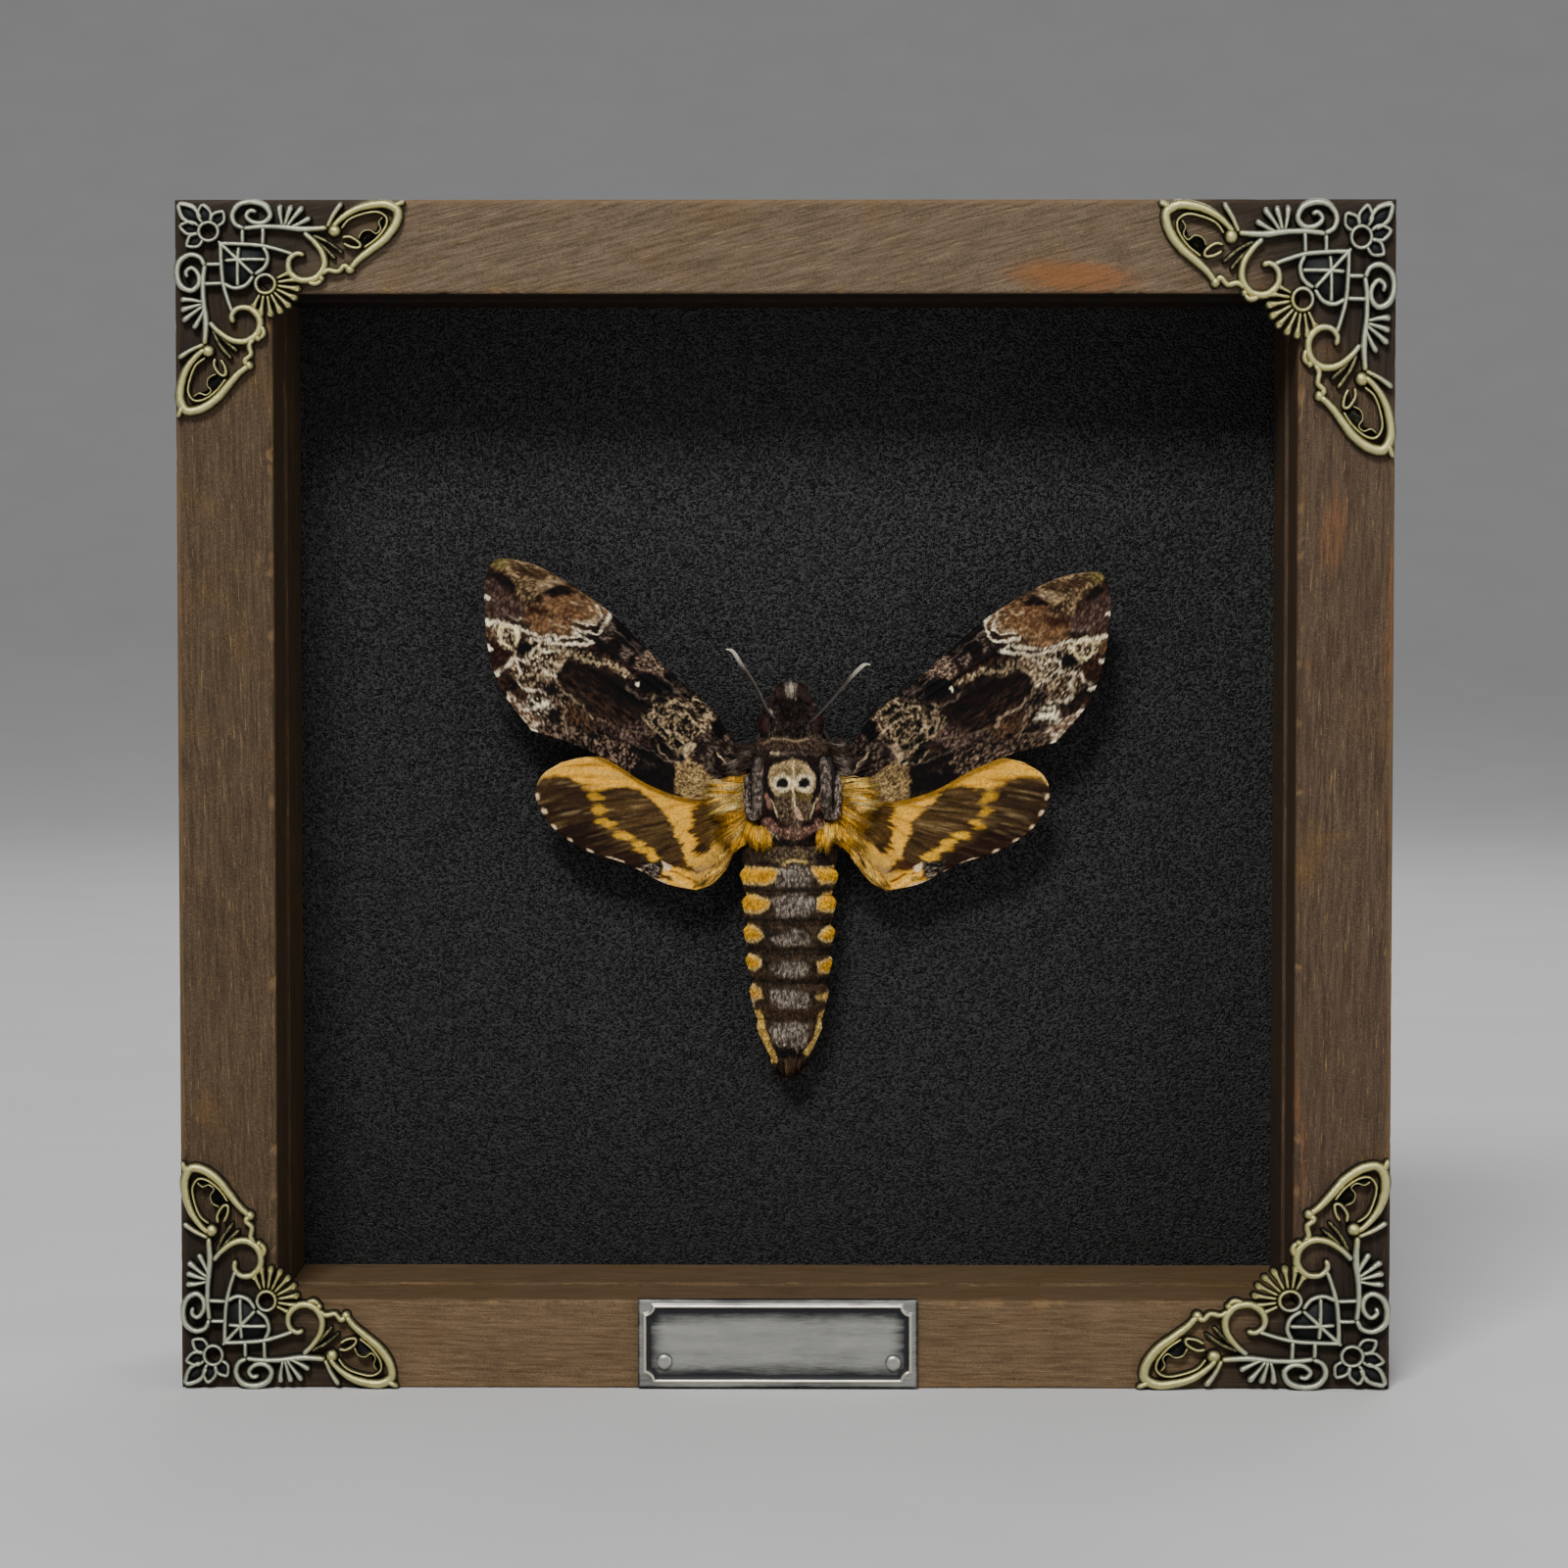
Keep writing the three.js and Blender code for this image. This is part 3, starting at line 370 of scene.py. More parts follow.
class Finish:
    """A material and the nodes that work out its colour, roughness and bump."""

    def __init__(self, name, **constants):
        self.material = bpy.data.materials.new(name)
        self.material.use_nodes = True
        self.tree = self.material.node_tree
        self.tree.nodes.clear()
        self.shader = self.tree.nodes.new("ShaderNodeBsdfPrincipled")
        output = self.tree.nodes.new("ShaderNodeOutputMaterial")
        self.tree.links.new(self.shader.outputs[0], output.inputs[0])
        for label, value in constants.items():
            self.shader.inputs[label.replace("_", " ")].default_value = value

    def node(self, kind, settings=None, inputs=None, output=0):
        made = self.tree.nodes.new(kind)
        for key, value in (settings or {}).items():
            if key == "stops":
                ramp = made.color_ramp
                while len(ramp.elements) < len(value):
                    ramp.elements.new(0.5)
                for element, (place, colour) in zip(ramp.elements, value):
                    element.position = place
                    element.color = (*colour, 1.0)
            else:
                setattr(made, key, value)
        for key, value in (inputs or {}).items():
            if isinstance(value, Value):
                self.tree.links.new(value.socket, made.inputs[key])
            else:
                made.inputs[key].default_value = value
        return Value(self, made.outputs[output])

    def set(self, **links):
        for label, value in links.items():
            self.tree.links.new(value.socket, self.shader.inputs[label.replace("_", " ")])
        return self

    def places(self, stretch=(1, 1, 1), turn=(0, 0, 0), shift=(0, 0, 0)):
        """Object coordinates in millimetres, stretched and turned."""
        here = self.node("ShaderNodeTexCoord", output="Object")
        scale = tuple(1000.0 * s for s in stretch)
        return self.node("ShaderNodeMapping", None,
            {"Vector": here, "Scale": scale, "Rotation": turn, "Location": shift})

    def noise(self, places, scale, detail=3.0, roughness=0.55, distortion=0.0):
        return self.node("ShaderNodeTexNoise", None, {"Vector": places, "Scale": scale, "Detail": detail,
            "Roughness": roughness, "Distortion": distortion})

    def between(self, value, low, high, start=0.0, end=1.0):
        """A value from start to end as the given one goes from low to high, eased."""
        return self.node("ShaderNodeMapRange", {"interpolation_type": "SMOOTHSTEP"},
            {"Value": value, "From Min": low, "From Max": high, "To Min": start, "To Max": end})

    def blend(self, share, first, second, kind="MIX"):
        first, second = [c if isinstance(c, Value) else (*c, 1.0) for c in (first, second)]
        return self.node("ShaderNodeMix", {"data_type": "RGBA", "blend_type": kind}, {0: share, 6: first, 7: second},
            output=2)

    def ramp(self, value, *stops):
        return self.node("ShaderNodeValToRGB", {"stops": stops}, {0: value})

    def paint(self, label="markings"):
        return self.node("ShaderNodeAttribute", {"attribute_name": label}, output="Color")

    def bump(self, height, distance, strength=1.0):
        """Bump whose height is in shares of a distance in millimetres."""
        raised = self.node("ShaderNodeBump", None, {"Strength": strength, "Distance": distance * MM,
            "Height": height})
        return self.set(Normal=raised)


def weathered_wood(name, grain_axis, seed, light, dark, slant=0.0):
    """Stained softwood: faint long streaks over a fine even grain, with thin pale scratches. The paint
    tells where it is rubbed, where it is rusty and where painted shade darkens it."""
    wood = Finish(name, Metallic=0.0)
    wood.shader.inputs["Specular IOR Level"].default_value = 0.2
    stretch = [1.0, 1.0, 1.0]
    stretch[grain_axis] = 0.06
    shift = (seed * 37.0, seed * 11.0, seed * 23.0)
    level = wood.places(turn=(0, math.radians(slant), 0))
    long = wood.node("ShaderNodeMapping", None, {"Vector": level, "Scale": stretch, "Location": shift})
    loose = wood.places(shift=shift)
    streaks = wood.noise(long, 2.2, 5, 0.66, 0.3)
    scratches = wood.noise(long, 3.6, 4, 0.62, 0.2)
    clouds = wood.noise(loose, 0.045, 5, 0.62, 0.6)
    flecks = wood.noise(loose, 4.2, 4, 0.75)
    pits = wood.noise(loose, 1.1, 4, 0.7)
    base = wood.blend(wood.between(streaks, 0.3, 0.7), dark, light)
    ochre = wood.blend(wood.between(clouds, 0.5, 0.72, 0, 0.5), base, tint(98, 78, 52))
    greyed = wood.blend(wood.between(clouds, 0.46, 0.3, 0, 0.4), ochre, tint(78, 66, 54))
    fine = wood.blend(wood.between(flecks, 0.5, 0.3, 0, 0.7), greyed, tint(36, 28, 21))
    lit = wood.blend(wood.between(flecks, 0.54, 0.72, 0, 0.42), fine, tint(150, 128, 96))
    scratched = wood.blend(wood.between(scratches, 0.6, 0.72, 0, 0.5), lit, tint(158, 136, 100))
    cracked = wood.blend(wood.between(scratches, 0.36, 0.28, 0, 0.5), scratched, tint(36, 27, 20))
    pitted = wood.blend(wood.between(pits, 0.3, 0.24, 0, 0.6), cracked, tint(30, 22, 16))
    # the paint named wear holds edge wear, rust and painted shade, in its three parts
    wear = wood.paint("wear")
    parts = [wood.node("ShaderNodeSeparateColor", None, {"Color": wear}, output=k) for k in range(3)]
    rubbed = wood.blend(wood.between(parts[0] + (clouds - 0.5) * 0.5, 0.3, 0.9, 0, 0.4), pitted, tint(134, 110, 82))
    rusty = wood.blend(wood.between(parts[1] * (streaks * 2.4 + pits * 0.8 - 0.8), 0.12, 0.75, 0, 0.7), rubbed,
        wood.blend(flecks, tint(82, 56, 38), tint(152, 106, 72)))
    # painted shade: the paint's third part darkens the inner walls and the wood under the castings
    painted_shade = wood.blend(wood.between(parts[2], 0.0, 1.0, 0, 0.93), rusty,
        wood.blend(streaks, tint(18, 14, 11), tint(34, 28, 23)))
    wood.set(Base_Color=painted_shade, Roughness=wood.between(streaks, 0.3, 0.7, 0.74, 0.58))
    return wood.bump(streaks * 0.3 + scratches * 0.35 + flecks * 0.35, 0.16, 0.8).material


def pebbled_leatherette():
    """Black embossed sheet: small rounded pebbles with creases between them, under a faint sheen. The
    colour lightens towards each pebble's top as a painted highlight.
    """
    sheet = Finish("pebbled_leatherette", Metallic=0.0)
    sheet.shader.inputs["Specular IOR Level"].default_value = 0.5
    places = sheet.places()
    drift = sheet.node("ShaderNodeTexNoise", None, {"Vector": places, "Scale": 2.4}, output="Color")
    moved = sheet.node("ShaderNodeVectorMath", {"operation": "MULTIPLY_ADD"},
        {0: drift, 1: (0.2, 0.2, 0.2), 2: places})
    cells = sheet.node("ShaderNodeTexVoronoi", {"feature": "F1"}, {"Vector": moved, "Scale": 2.3}, output="Distance")
    tones = sheet.node("ShaderNodeTexVoronoi", {"feature": "F1"}, {"Vector": moved, "Scale": 2.3}, output="Color")
    tone = sheet.node("ShaderNodeSeparateColor", None, {"Color": tones}, output=0)
    fine = sheet.noise(places, 5.0, 3, 0.65)
    wide = sheet.noise(places, 0.03, 3)
    dome = sheet.between(cells, 0.62, 0.12)
    height = dome + fine * 0.4
    # painted highlight: the colour lightens towards each pebble's top, more on some pebbles than on others
    shade = dome * sheet.between(tone, 0.15, 0.95, 0.06, 1.0) + (fine - 0.5) * 0.3
    colour = sheet.blend(sheet.between(shade, 0.1, 0.85), tint(6, 6, 7), tint(66, 67, 68))
    dusty = sheet.blend(sheet.between(wide, 0.4, 0.75, 0, 0.15), colour, tint(27, 27, 26))
    sheet.set(Base_Color=dusty, Roughness=sheet.between(fine, 0.3, 0.7, 0.3, 0.52))
    return sheet.bump(height, 0.3, 1.0).material


def raw_fibreboard():
    """Pressed brown board: matted fibres of two sizes."""
    board = Finish("raw_fibreboard", Metallic=0.0)
    places = board.places()
    flecks = board.noise(board.places(stretch=(0.5, 1, 1)), 1.4, 5, 0.7)
    clouds = board.noise(places, 0.08, 3)
    colour = board.ramp(flecks, (0.3, tint(88, 72, 56)), (0.5, tint(118, 98, 76)), (0.72, tint(146, 126, 102)))
    board.set(Base_Color=board.blend(board.between(clouds, 0.35, 0.7, 0, 0.3), colour, tint(90, 74, 58)),
        Roughness=board.between(flecks, 0.3, 0.7, 0.95, 0.78))
    return board.bump(flecks, 0.2, 0.7).material


def zinc_steel():
    """Plated steel: cloudy crystals, rolling marks and small dull spots."""
    steel = Finish("zinc_steel", Metallic=1.0)
    places = steel.places()
    clouds = steel.noise(places, 0.5, 4)
    marks = steel.noise(steel.places(stretch=(0.15, 1, 1)), 4.0, 3)
    colour = steel.ramp(clouds, (0.3, tint(128, 130, 131)), (0.6, tint(176, 177, 176)), (0.8, tint(150, 146, 138)))
    steel.set(Base_Color=colour, Roughness=steel.between(marks, 0.3, 0.7, 0.3, 0.55))
    return steel.bump(marks, 0.04, 0.5).material


def aged_metal(name, bright, warm, dark, rough, brushed=False):
    """Cast metal with a patina: its height over the ground, painted on the mesh, goes from black in the
    recesses to bright on the ridges. The paint's second part tells where the metal is yellower."""
    metal = Finish(name)
    places = metal.places()
    paint = metal.paint("height")
    height = metal.node("ShaderNodeSeparateColor", None, {"Color": paint}, output=0)
    yellower = metal.node("ShaderNodeSeparateColor", None, {"Color": paint}, output=1)
    clouds = metal.noise(places, 0.7, 5, 0.65)
    grit = metal.noise(places, 4.0, 4, 0.7)
    if brushed:
        strokes = metal.noise(metal.places(stretch=(0.07, 1, 1)), 5.0, 4, 0.6)
        sweep = metal.noise(metal.places(stretch=(0.12, 1, 1)), 0.6, 3)
        broken = height + (strokes - 0.5) * 0.3 + (sweep - 0.5) * 0.45 + (grit - 0.5) * 0.08
        metal.bump(strokes * 0.6 + grit * 0.15, 0.035, 0.5)
    else:
        broken = height + (clouds - 0.5) * 0.6 + (grit - 0.5) * 0.75
        metal.bump(grit * 0.6 + clouds * 0.4, 0.2, 0.7)
    polish = metal.between(broken, *((0.3, 0.88) if brushed else (0.42, 1.0)))
    hue = metal.blend(metal.between(yellower + (clouds - 0.5) * 0.6, 0.2, 0.9), bright, warm)
    metal.set(Base_Color=metal.blend(polish, dark, hue), Metallic=metal.between(broken, 0.2, 0.6, 0.4, 0.92),
        Roughness=metal.between(broken, 0.4, 0.9, 0.6, rough))
    return metal.material


def scaled_wing(name):
    """Painted wing scales: tiny overlapping scales that break the markings' colours up."""
    wing = Finish(name, Metallic=0.0)
    wing.shader.inputs["Specular IOR Level"].default_value = 0.1
    places = wing.places()
    marks = wing.paint()
    scales = wing.noise(places, 5.5, 3, 0.7)
    dust = wing.noise(places, 2.2, 4, 0.7)
    bright = wing.blend(1.0, marks, (2.1, 2.0, 1.85), "MULTIPLY")
    dim = wing.blend(1.0, marks, (0.3, 0.28, 0.27), "MULTIPLY")
    lit = wing.blend(wing.between(scales, 0.5, 0.72, 0, 0.7), marks, bright)
    broken = wing.blend(wing.between(scales, 0.5, 0.32, 0, 0.7), lit, dim)
    patched = wing.blend(wing.between(dust, 0.48, 0.34, 0, 0.5), broken, dim)
    wing.set(Base_Color=patched, Roughness=wing.between(dust, 0.3, 0.7, 0.78, 0.6))
    return wing.bump(scales * 0.7 + dust * 0.5, 0.09, 0.8).material


def furred(name, gain=1.0, depth=0.25):
    """Short lying fur: the markings' colour, broken into fine strands that run along the body."""
    fur = Finish(name, Metallic=0.0)
    fur.shader.inputs["Specular IOR Level"].default_value = 0.3
    marks = fur.paint()
    strands = fur.noise(fur.places(stretch=(1, 1, 0.22)), 5.0, 4, 0.65, 0.5)
    clumps = fur.noise(fur.places(stretch=(1, 1, 0.5)), 1.1, 3)
    dark = fur.blend(1.0, marks, (0.45, 0.42, 0.4), "MULTIPLY")
    light = fur.blend(1.0, marks, tuple(gain * c for c in (1.35, 1.3, 1.22)), "MULTIPLY")
    colour = fur.blend(fur.between(strands, 0.34, 0.66), dark, light)
    fur.set(Base_Color=fur.blend(fur.between(clumps, 0.35, 0.6, 0.45, 0), colour, dark),
        Roughness=fur.between(strands, 0.3, 0.7, 0.8, 0.55))
    return fur.bump(strands * 0.7 + clumps * 0.6, depth, 0.9).material


def dark_shell():
    """Horny skin under thin brown scales, paler on worn ridges."""
    shell = Finish("dark_shell", Metallic=0.0)
    shell.shader.inputs["Specular IOR Level"].default_value = 0.4
    marks = shell.paint()
    scales = shell.noise(shell.places(), 4.0, 3, 0.6)
    colour = shell.blend(shell.between(scales, 0.35, 0.7),
        shell.blend(1.0, marks, (0.5, 0.48, 0.45), "MULTIPLY"), marks)
    shell.set(Base_Color=colour, Roughness=shell.between(scales, 0.3, 0.7, 0.42, 0.66))
    return shell.bump(scales, 0.06, 0.7).material


def compound_eye():
    """A dark maroon eye of many small facets, dull as in a dried moth."""
    eye = Finish("compound_eye", Metallic=0.0)
    eye.shader.inputs["Specular IOR Level"].default_value = 0.3
    places = eye.places()
    facets = eye.node("ShaderNodeTexVoronoi", {"feature": "F1"}, {"Vector": places, "Scale": 7.0}, output="Distance")
    clouds = eye.noise(places, 0.9, 3)
    eye.set(Base_Color=eye.ramp(clouds, (0.3, tint(28, 12, 12)), (0.55, tint(50, 26, 26)), (0.8, tint(66, 40, 38))),
        Roughness=eye.between(clouds, 0.3, 0.7, 0.46, 0.62))
    return eye.bump(eye.between(facets, 0.5, 0.0), 0.03, 0.6).material


def pressed_cork():
    cork = Finish("pressed_cork", Metallic=0.0)
    grains = cork.node("ShaderNodeTexVoronoi", {"feature": "F1"}, {"Vector": cork.places(), "Scale": 0.9},
        output="Distance")
    fine = cork.noise(cork.places(), 3.0, 4, 0.7)
    stops = (0.1, tint(150, 112, 72)), (0.5, tint(122, 88, 54)), (0.8, tint(80, 54, 34))
    cork.set(Base_Color=cork.ramp(grains, *stops), Roughness=cork.between(fine, 0.3, 0.7, 0.85, 0.95))
    return cork.bump(grains * 0.5 + fine * 0.6, 0.3, 0.8).material


# The case


def rail_section(width):
    """Points round a rail's section: distance in from the outer edge and depth behind the front face, with
    rounded front edges, a step in the inner wall and a rabbet behind."""
    scale = width / RAILS["side"]
    inner, wall = RAILS["side"], 16.7
    lip = wall - 4.2
    ease_radius = 0.6
    turn = np.linspace(0, math.pi / 2, 6)
    outer_edge = np.stack([ease_radius - ease_radius * np.cos(turn), ease_radius - ease_radius * np.sin(turn)], -1)
    inner_edge = np.stack([inner - ease_radius + ease_radius * np.sin(turn),
        ease_radius - ease_radius * np.cos(turn)], -1)
    back = CASE["depth"]
    stepped = [[inner, STEP], [wall, STEP], [wall, RABBET], [lip, RABBET], [lip, back], [0.0, back]]
    path = np.vstack([outer_edge, inner_edge, stepped])
    closed = np.vstack([path, path[:1]])
    section = []
    for a, b in zip(closed[:-1], closed[1:]):
        count = max(1, int(np.ceil(np.linalg.norm(b - a) / 1.1)))
        section.append(a + (b - a) * (np.arange(count) / count)[:, None])
    section = np.vstack(section)
    section[:, 0] *= scale
    return section


def make_rail(name, width, length, start_width, end_width, place, material, seed):
    """A rail: its section carried from one mitre to the other. Its front and inner wall are worn by up to a
    third of a millimetre, and its front inner edge is nicked."""
    section = rail_section(width)
    stations = np.linspace(0, 1, 210)
    across, depth = section[:, 0], section[:, 1]
    mitre = 0.08
    start = across * start_width / width + mitre
    end = length - across * end_width / width - mitre
    along = start[None] + (end - start)[None] * stations[:, None]
    grid = np.stack([along, np.broadcast_to(depth, along.shape), np.broadcast_to(across, along.shape)], -1)
    scale = width / RAILS["side"]
    front = ease(0.7, 0.0, depth)
    inner_edge = ease(2.2, 0.2, np.hypot(across - RAILS["side"] * scale, depth))
    outer_edge = ease(1.6, 0.2, np.hypot(across, depth))
    waves = layered(np.stack([along * 0.18, grid[..., 1], grid[..., 2]], -1), 3.0, seed, 3)
    grooves = layered(np.stack([along * 0.02, grid[..., 1], grid[..., 2]], -1), 0.55, seed + 5, 2)
    nicks = ease(0.25, 0.75, layered(np.stack([along, grid[..., 1]], -1), 2.6, seed + 11, 3))
    ragged = 0.55 if name == "rail_top" else 0.25
    grid[..., 1] += front * (0.1 + 0.08 * waves + 0.04 * grooves) + inner_edge * nicks * 0.2
    grid[..., 2] -= inner_edge * (nicks * ragged + 0.1)
    grid[..., 2] += outer_edge * (0.08 + 0.15 * nicks)
    points = place(grid.reshape(-1, 3))
    x, z = points[:, 0], points[:, 2]
    to_corner = (100 - np.abs(x)) + (CASE["height"] / 2 - np.abs(z - CASE["height"] / 2))
    wear = (0.9 * inner_edge * (0.4 + nicks) + 0.7 * outer_edge).reshape(-1)
    top_stain = 0.95 * ease(1.5, 0.2, np.hypot((x - 47) / 12, (z - 183.4 + 0.06 * (x - 47)) / 2.8))
    side_stain = 0.45 * ease(1.6, 0.2, np.hypot((x - 90) / 3.6, (z - 141 - 0.8 * (x - 90)) / 9))
    rust = np.maximum(top_stain, side_stain)
    edge_rust = ease(0.1, 0.6, layered(np.stack([x, z * 0.3], -1), 4.0, seed + 21, 2))
    near_front = ease(8, 1, np.broadcast_to(depth, along.shape).reshape(-1))
    rust = np.maximum(rust, 0.5 * edge_rust * ease(82, 84, x) * (ease(88, 85, x) + ease(97, 99, x))) * near_front
    sunk = np.broadcast_to(depth, along.shape).reshape(-1)
    from_edge = np.broadcast_to(across, along.shape).reshape(-1)
    # painted shade, in the paint's third part: the inner walls darken behind the front edge, the top rail's underside
    # almost to black and the bottom rail's only a little, and the wood under the castings near the front darkens too
    within = ease(0.4, 1.2, sunk) * ease(9 * scale, 12 * scale, from_edge)
    painted_shade_under_casting = 0.78 * ease(44, 26, to_corner) * ease(2, 0.5, sunk)
    dark = np.maximum(within * np.where(sunk < STEP + 0.01, 0.33, 0.36), painted_shade_under_casting)
    if name == "rail_bottom":
        dark = dark * np.where(within > 0, 0.2, 1.0)
    if name == "rail_top":
        dark = np.maximum(dark, within * 0.97)
    count = len(section)
    ends = [np.arange(count)[None], (np.arange(count) + (len(stations) - 1) * count)[None, ::-1]]
    faces = [grid_faces(len(stations), count, wrap=True)[:, ::-1], ends[0], ends[1]]
    # the paint named wear holds edge wear, rust and painted shade
    paint = {"wear": np.stack([wear, rust, dark], -1)}
    return make_piece(name + "_wood", points, faces, material, "wood", [name], paint=paint, smooth=False)


def make_case():
    half, high = CASE["width"] / 2, CASE["height"]
    side, top, bottom = RAILS["side"], RAILS["top"], RAILS["bottom"]

    def on_bottom(p):
        return np.stack([p[:, 0] - half, FRONT + p[:, 1], p[:, 2]], -1)

    def on_top(p):
        return np.stack([half - p[:, 0], FRONT + p[:, 1], high - p[:, 2]], -1)

    def on_left(p):
        return np.stack([p[:, 2] - half, FRONT + p[:, 1], high - p[:, 0]], -1)

    def on_right(p):
        return np.stack([half - p[:, 2], FRONT + p[:, 1], p[:, 0]], -1)

    wide, tall = CASE["width"], CASE["height"]
    grey, ochre = (tint(112, 98, 84), tint(80, 69, 56)), (tint(86, 72, 58), tint(60, 50, 40))
    umber, tan = (tint(88, 74, 62), tint(62, 51, 43)), (tint(114, 97, 78), tint(84, 69, 53))
    make_rail("rail_bottom", bottom, wide, side, side, on_bottom, weathered_wood("wood_bottom", 0, 1, *tan, -1.0), 3)
    make_rail("rail_top", top, wide, side, side, on_top, weathered_wood("wood_top", 0, 2, *grey, 15.0), 17)
    make_rail("rail_left", side, tall, top, bottom, on_left, weathered_wood("wood_left", 2, 3, *ochre, 1.5), 29)
    make_rail("rail_right", side, tall, bottom, top, on_right, weathered_wood("wood_right", 2, 4, *umber, -1.5), 43)
    leatherette, board, steel = pebbled_leatherette(), raw_fibreboard(), zinc_steel()
    carried = {"backing_panel": leatherette, "back_board": board, "sawtooth_hanger": steel,
        "mounting_block": pressed_cork()}
    carried.update({f"board_point_{i}": steel for i in range(1, 5)})
    for name, material in carried.items():
        nodes[name].data.materials.clear()
        nodes[name].data.materials.append(material)


# Filigree corners. Across and down run from the case's outer corner along its two edges.

RELIEF = 1.7
CASTINGS = {
    "top_left": (1.03, 0.97),
    "top_right": (1.06, 1.15),
    "bottom_left": (0.98, 1.03),
    "bottom_right": (1.14, 1.045),
}
HEART = (5.6, 5.5)
HUB = (14.6, 14.3)


def cast_strand(parts, line, widths, height=RELIEF, sides=9, step=0.28, foot=0.0, ends=True):
    """A cast strand: a half round section, wider than high, along a smooth line. Both ends round off."""
    line = np.asarray(line, float)
    rough = np.linalg.norm(np.diff(line, axis=0), axis=1).sum()
    count = max(6, int(rough / step))
    shares = np.linspace(0, 1, count)
    path = smooth_line(line, shares) if len(line) > 2 else line[0] + (line[1] - line[0]) * shares[:, None]
    tangent = np.gradient(path, axis=0)
    tangent /= np.maximum(np.linalg.norm(tangent, axis=1, keepdims=True), 1e-9)
    across = np.stack([-tangent[:, 1], tangent[:, 0]], -1)
    width = np.interp(shares, np.linspace(0, 1, len(widths)), widths)
    near_end = np.minimum(shares, 1 - shares) * rough / (0.55 * width)
    rounding = np.sqrt(np.clip(1 - (1 - np.clip(near_end, 0, 1)) ** 2, 0.02, 1)) if ends else np.ones(count)
    angle = np.linspace(0, math.pi, sides)
    side_part = np.cos(angle)[None] * (width * rounding / 2)[:, None]
    up_part = np.sin(angle)[None] ** 0.7 * (height * (0.35 + 0.65 * rounding))[:, None] + foot
    flat = path[:, None] + across[:, None] * side_part[..., None]
    points = np.concatenate([flat, up_part[..., None]], -1).reshape(-1, 3)
    last = len(points) - sides
    caps = [np.arange(sides)[None, ::-1], (np.arange(sides) + last)[None]]
    faces = [grid_faces(count, sides, wrap=True), *caps]
    parts.add(points, faces, np.clip((points[:, 2] - foot * 0.5) / RELIEF, 0, 1))


def cast_dome(parts, u, v, radius, height, hole=0.0, sides=20, rise=6):
    """A round boss: a half circle turned about its axis, or, with a hole, a ring of half round section."""
    angle = np.arange(sides) * 2 * math.pi / sides
    turn = np.linspace(0, math.pi if hole else math.pi / 2, rise * (2 if hole else 1))
    if hole:
        middle, thick = (radius + hole) / 2, (radius - hole) / 2
        out, up = middle + thick * np.cos(turn), height * np.sin(turn) ** 0.7
    else:
        out, up = radius * np.cos(turn), height * np.sin(turn) ** 0.8
    rings = np.stack([u + out[:, None] * np.cos(angle), v + out[:, None] * np.sin(angle),
        np.broadcast_to(up[:, None], (len(out), sides))], -1)
    points = rings.reshape(-1, 3)
    faces = [grid_faces(len(out), sides, wrap=True)]
    if hole:
        inner = np.arange(sides) + (len(out) - 1) * sides
        outer = np.arange(sides)
        faces.append(np.stack([inner, np.roll(inner, -1), np.roll(outer, -1), outer], -1))
    else:
        faces.append(np.arange(sides)[None, ::-1])
    parts.add(points, faces, np.clip(points[:, 2] / RELIEF, 0, 1))


def cast_web(parts, outline, height, shade=0.06):
    """A thin dark plate inside an outline, for the ground that shows in a casting's recesses."""
    outline = np.asarray(outline, float)
    count = len(outline)
    low = np.concatenate([outline, np.zeros((count, 1))], -1)
    high = np.concatenate([outline, np.full((count, 1), height)], -1)
    middle = outline.mean(0)
    points = np.vstack([low, high, [*middle, 0.0], [*middle, height * 0.8]])
    ring = np.arange(count)
    faces = [grid_faces(2, count, wrap=True),
        np.vstack([fan_faces(ring, 2 * count, False), fan_faces(ring + count, 2 * count + 1)])]
    parts.add(points, faces, np.full(len(points), shade))


def petal_lines(tip, half_width):
    """The loop of a pointed petal from the flower's heart to its tip, widest a little beyond its middle."""
    heart = np.array(HEART)
    reach = np.array(tip) - heart
    side = np.array([-reach[1], reach[0]]) / np.linalg.norm(reach)
    half = trace(".34,.45 .5,.85 .68,1 .86,.62 1,.06")
    loop = [heart + reach * a + side * half_width * w for a, w in half]
    loop += [heart + reach * a - side * half_width * w for a, w in reversed(half)]
    return loop


SCALLOP = trace("33.4,3 32.7,4 33,5.1 32.3,5.9 31.3,5.3 30.1,5.6 29.4,6.9")


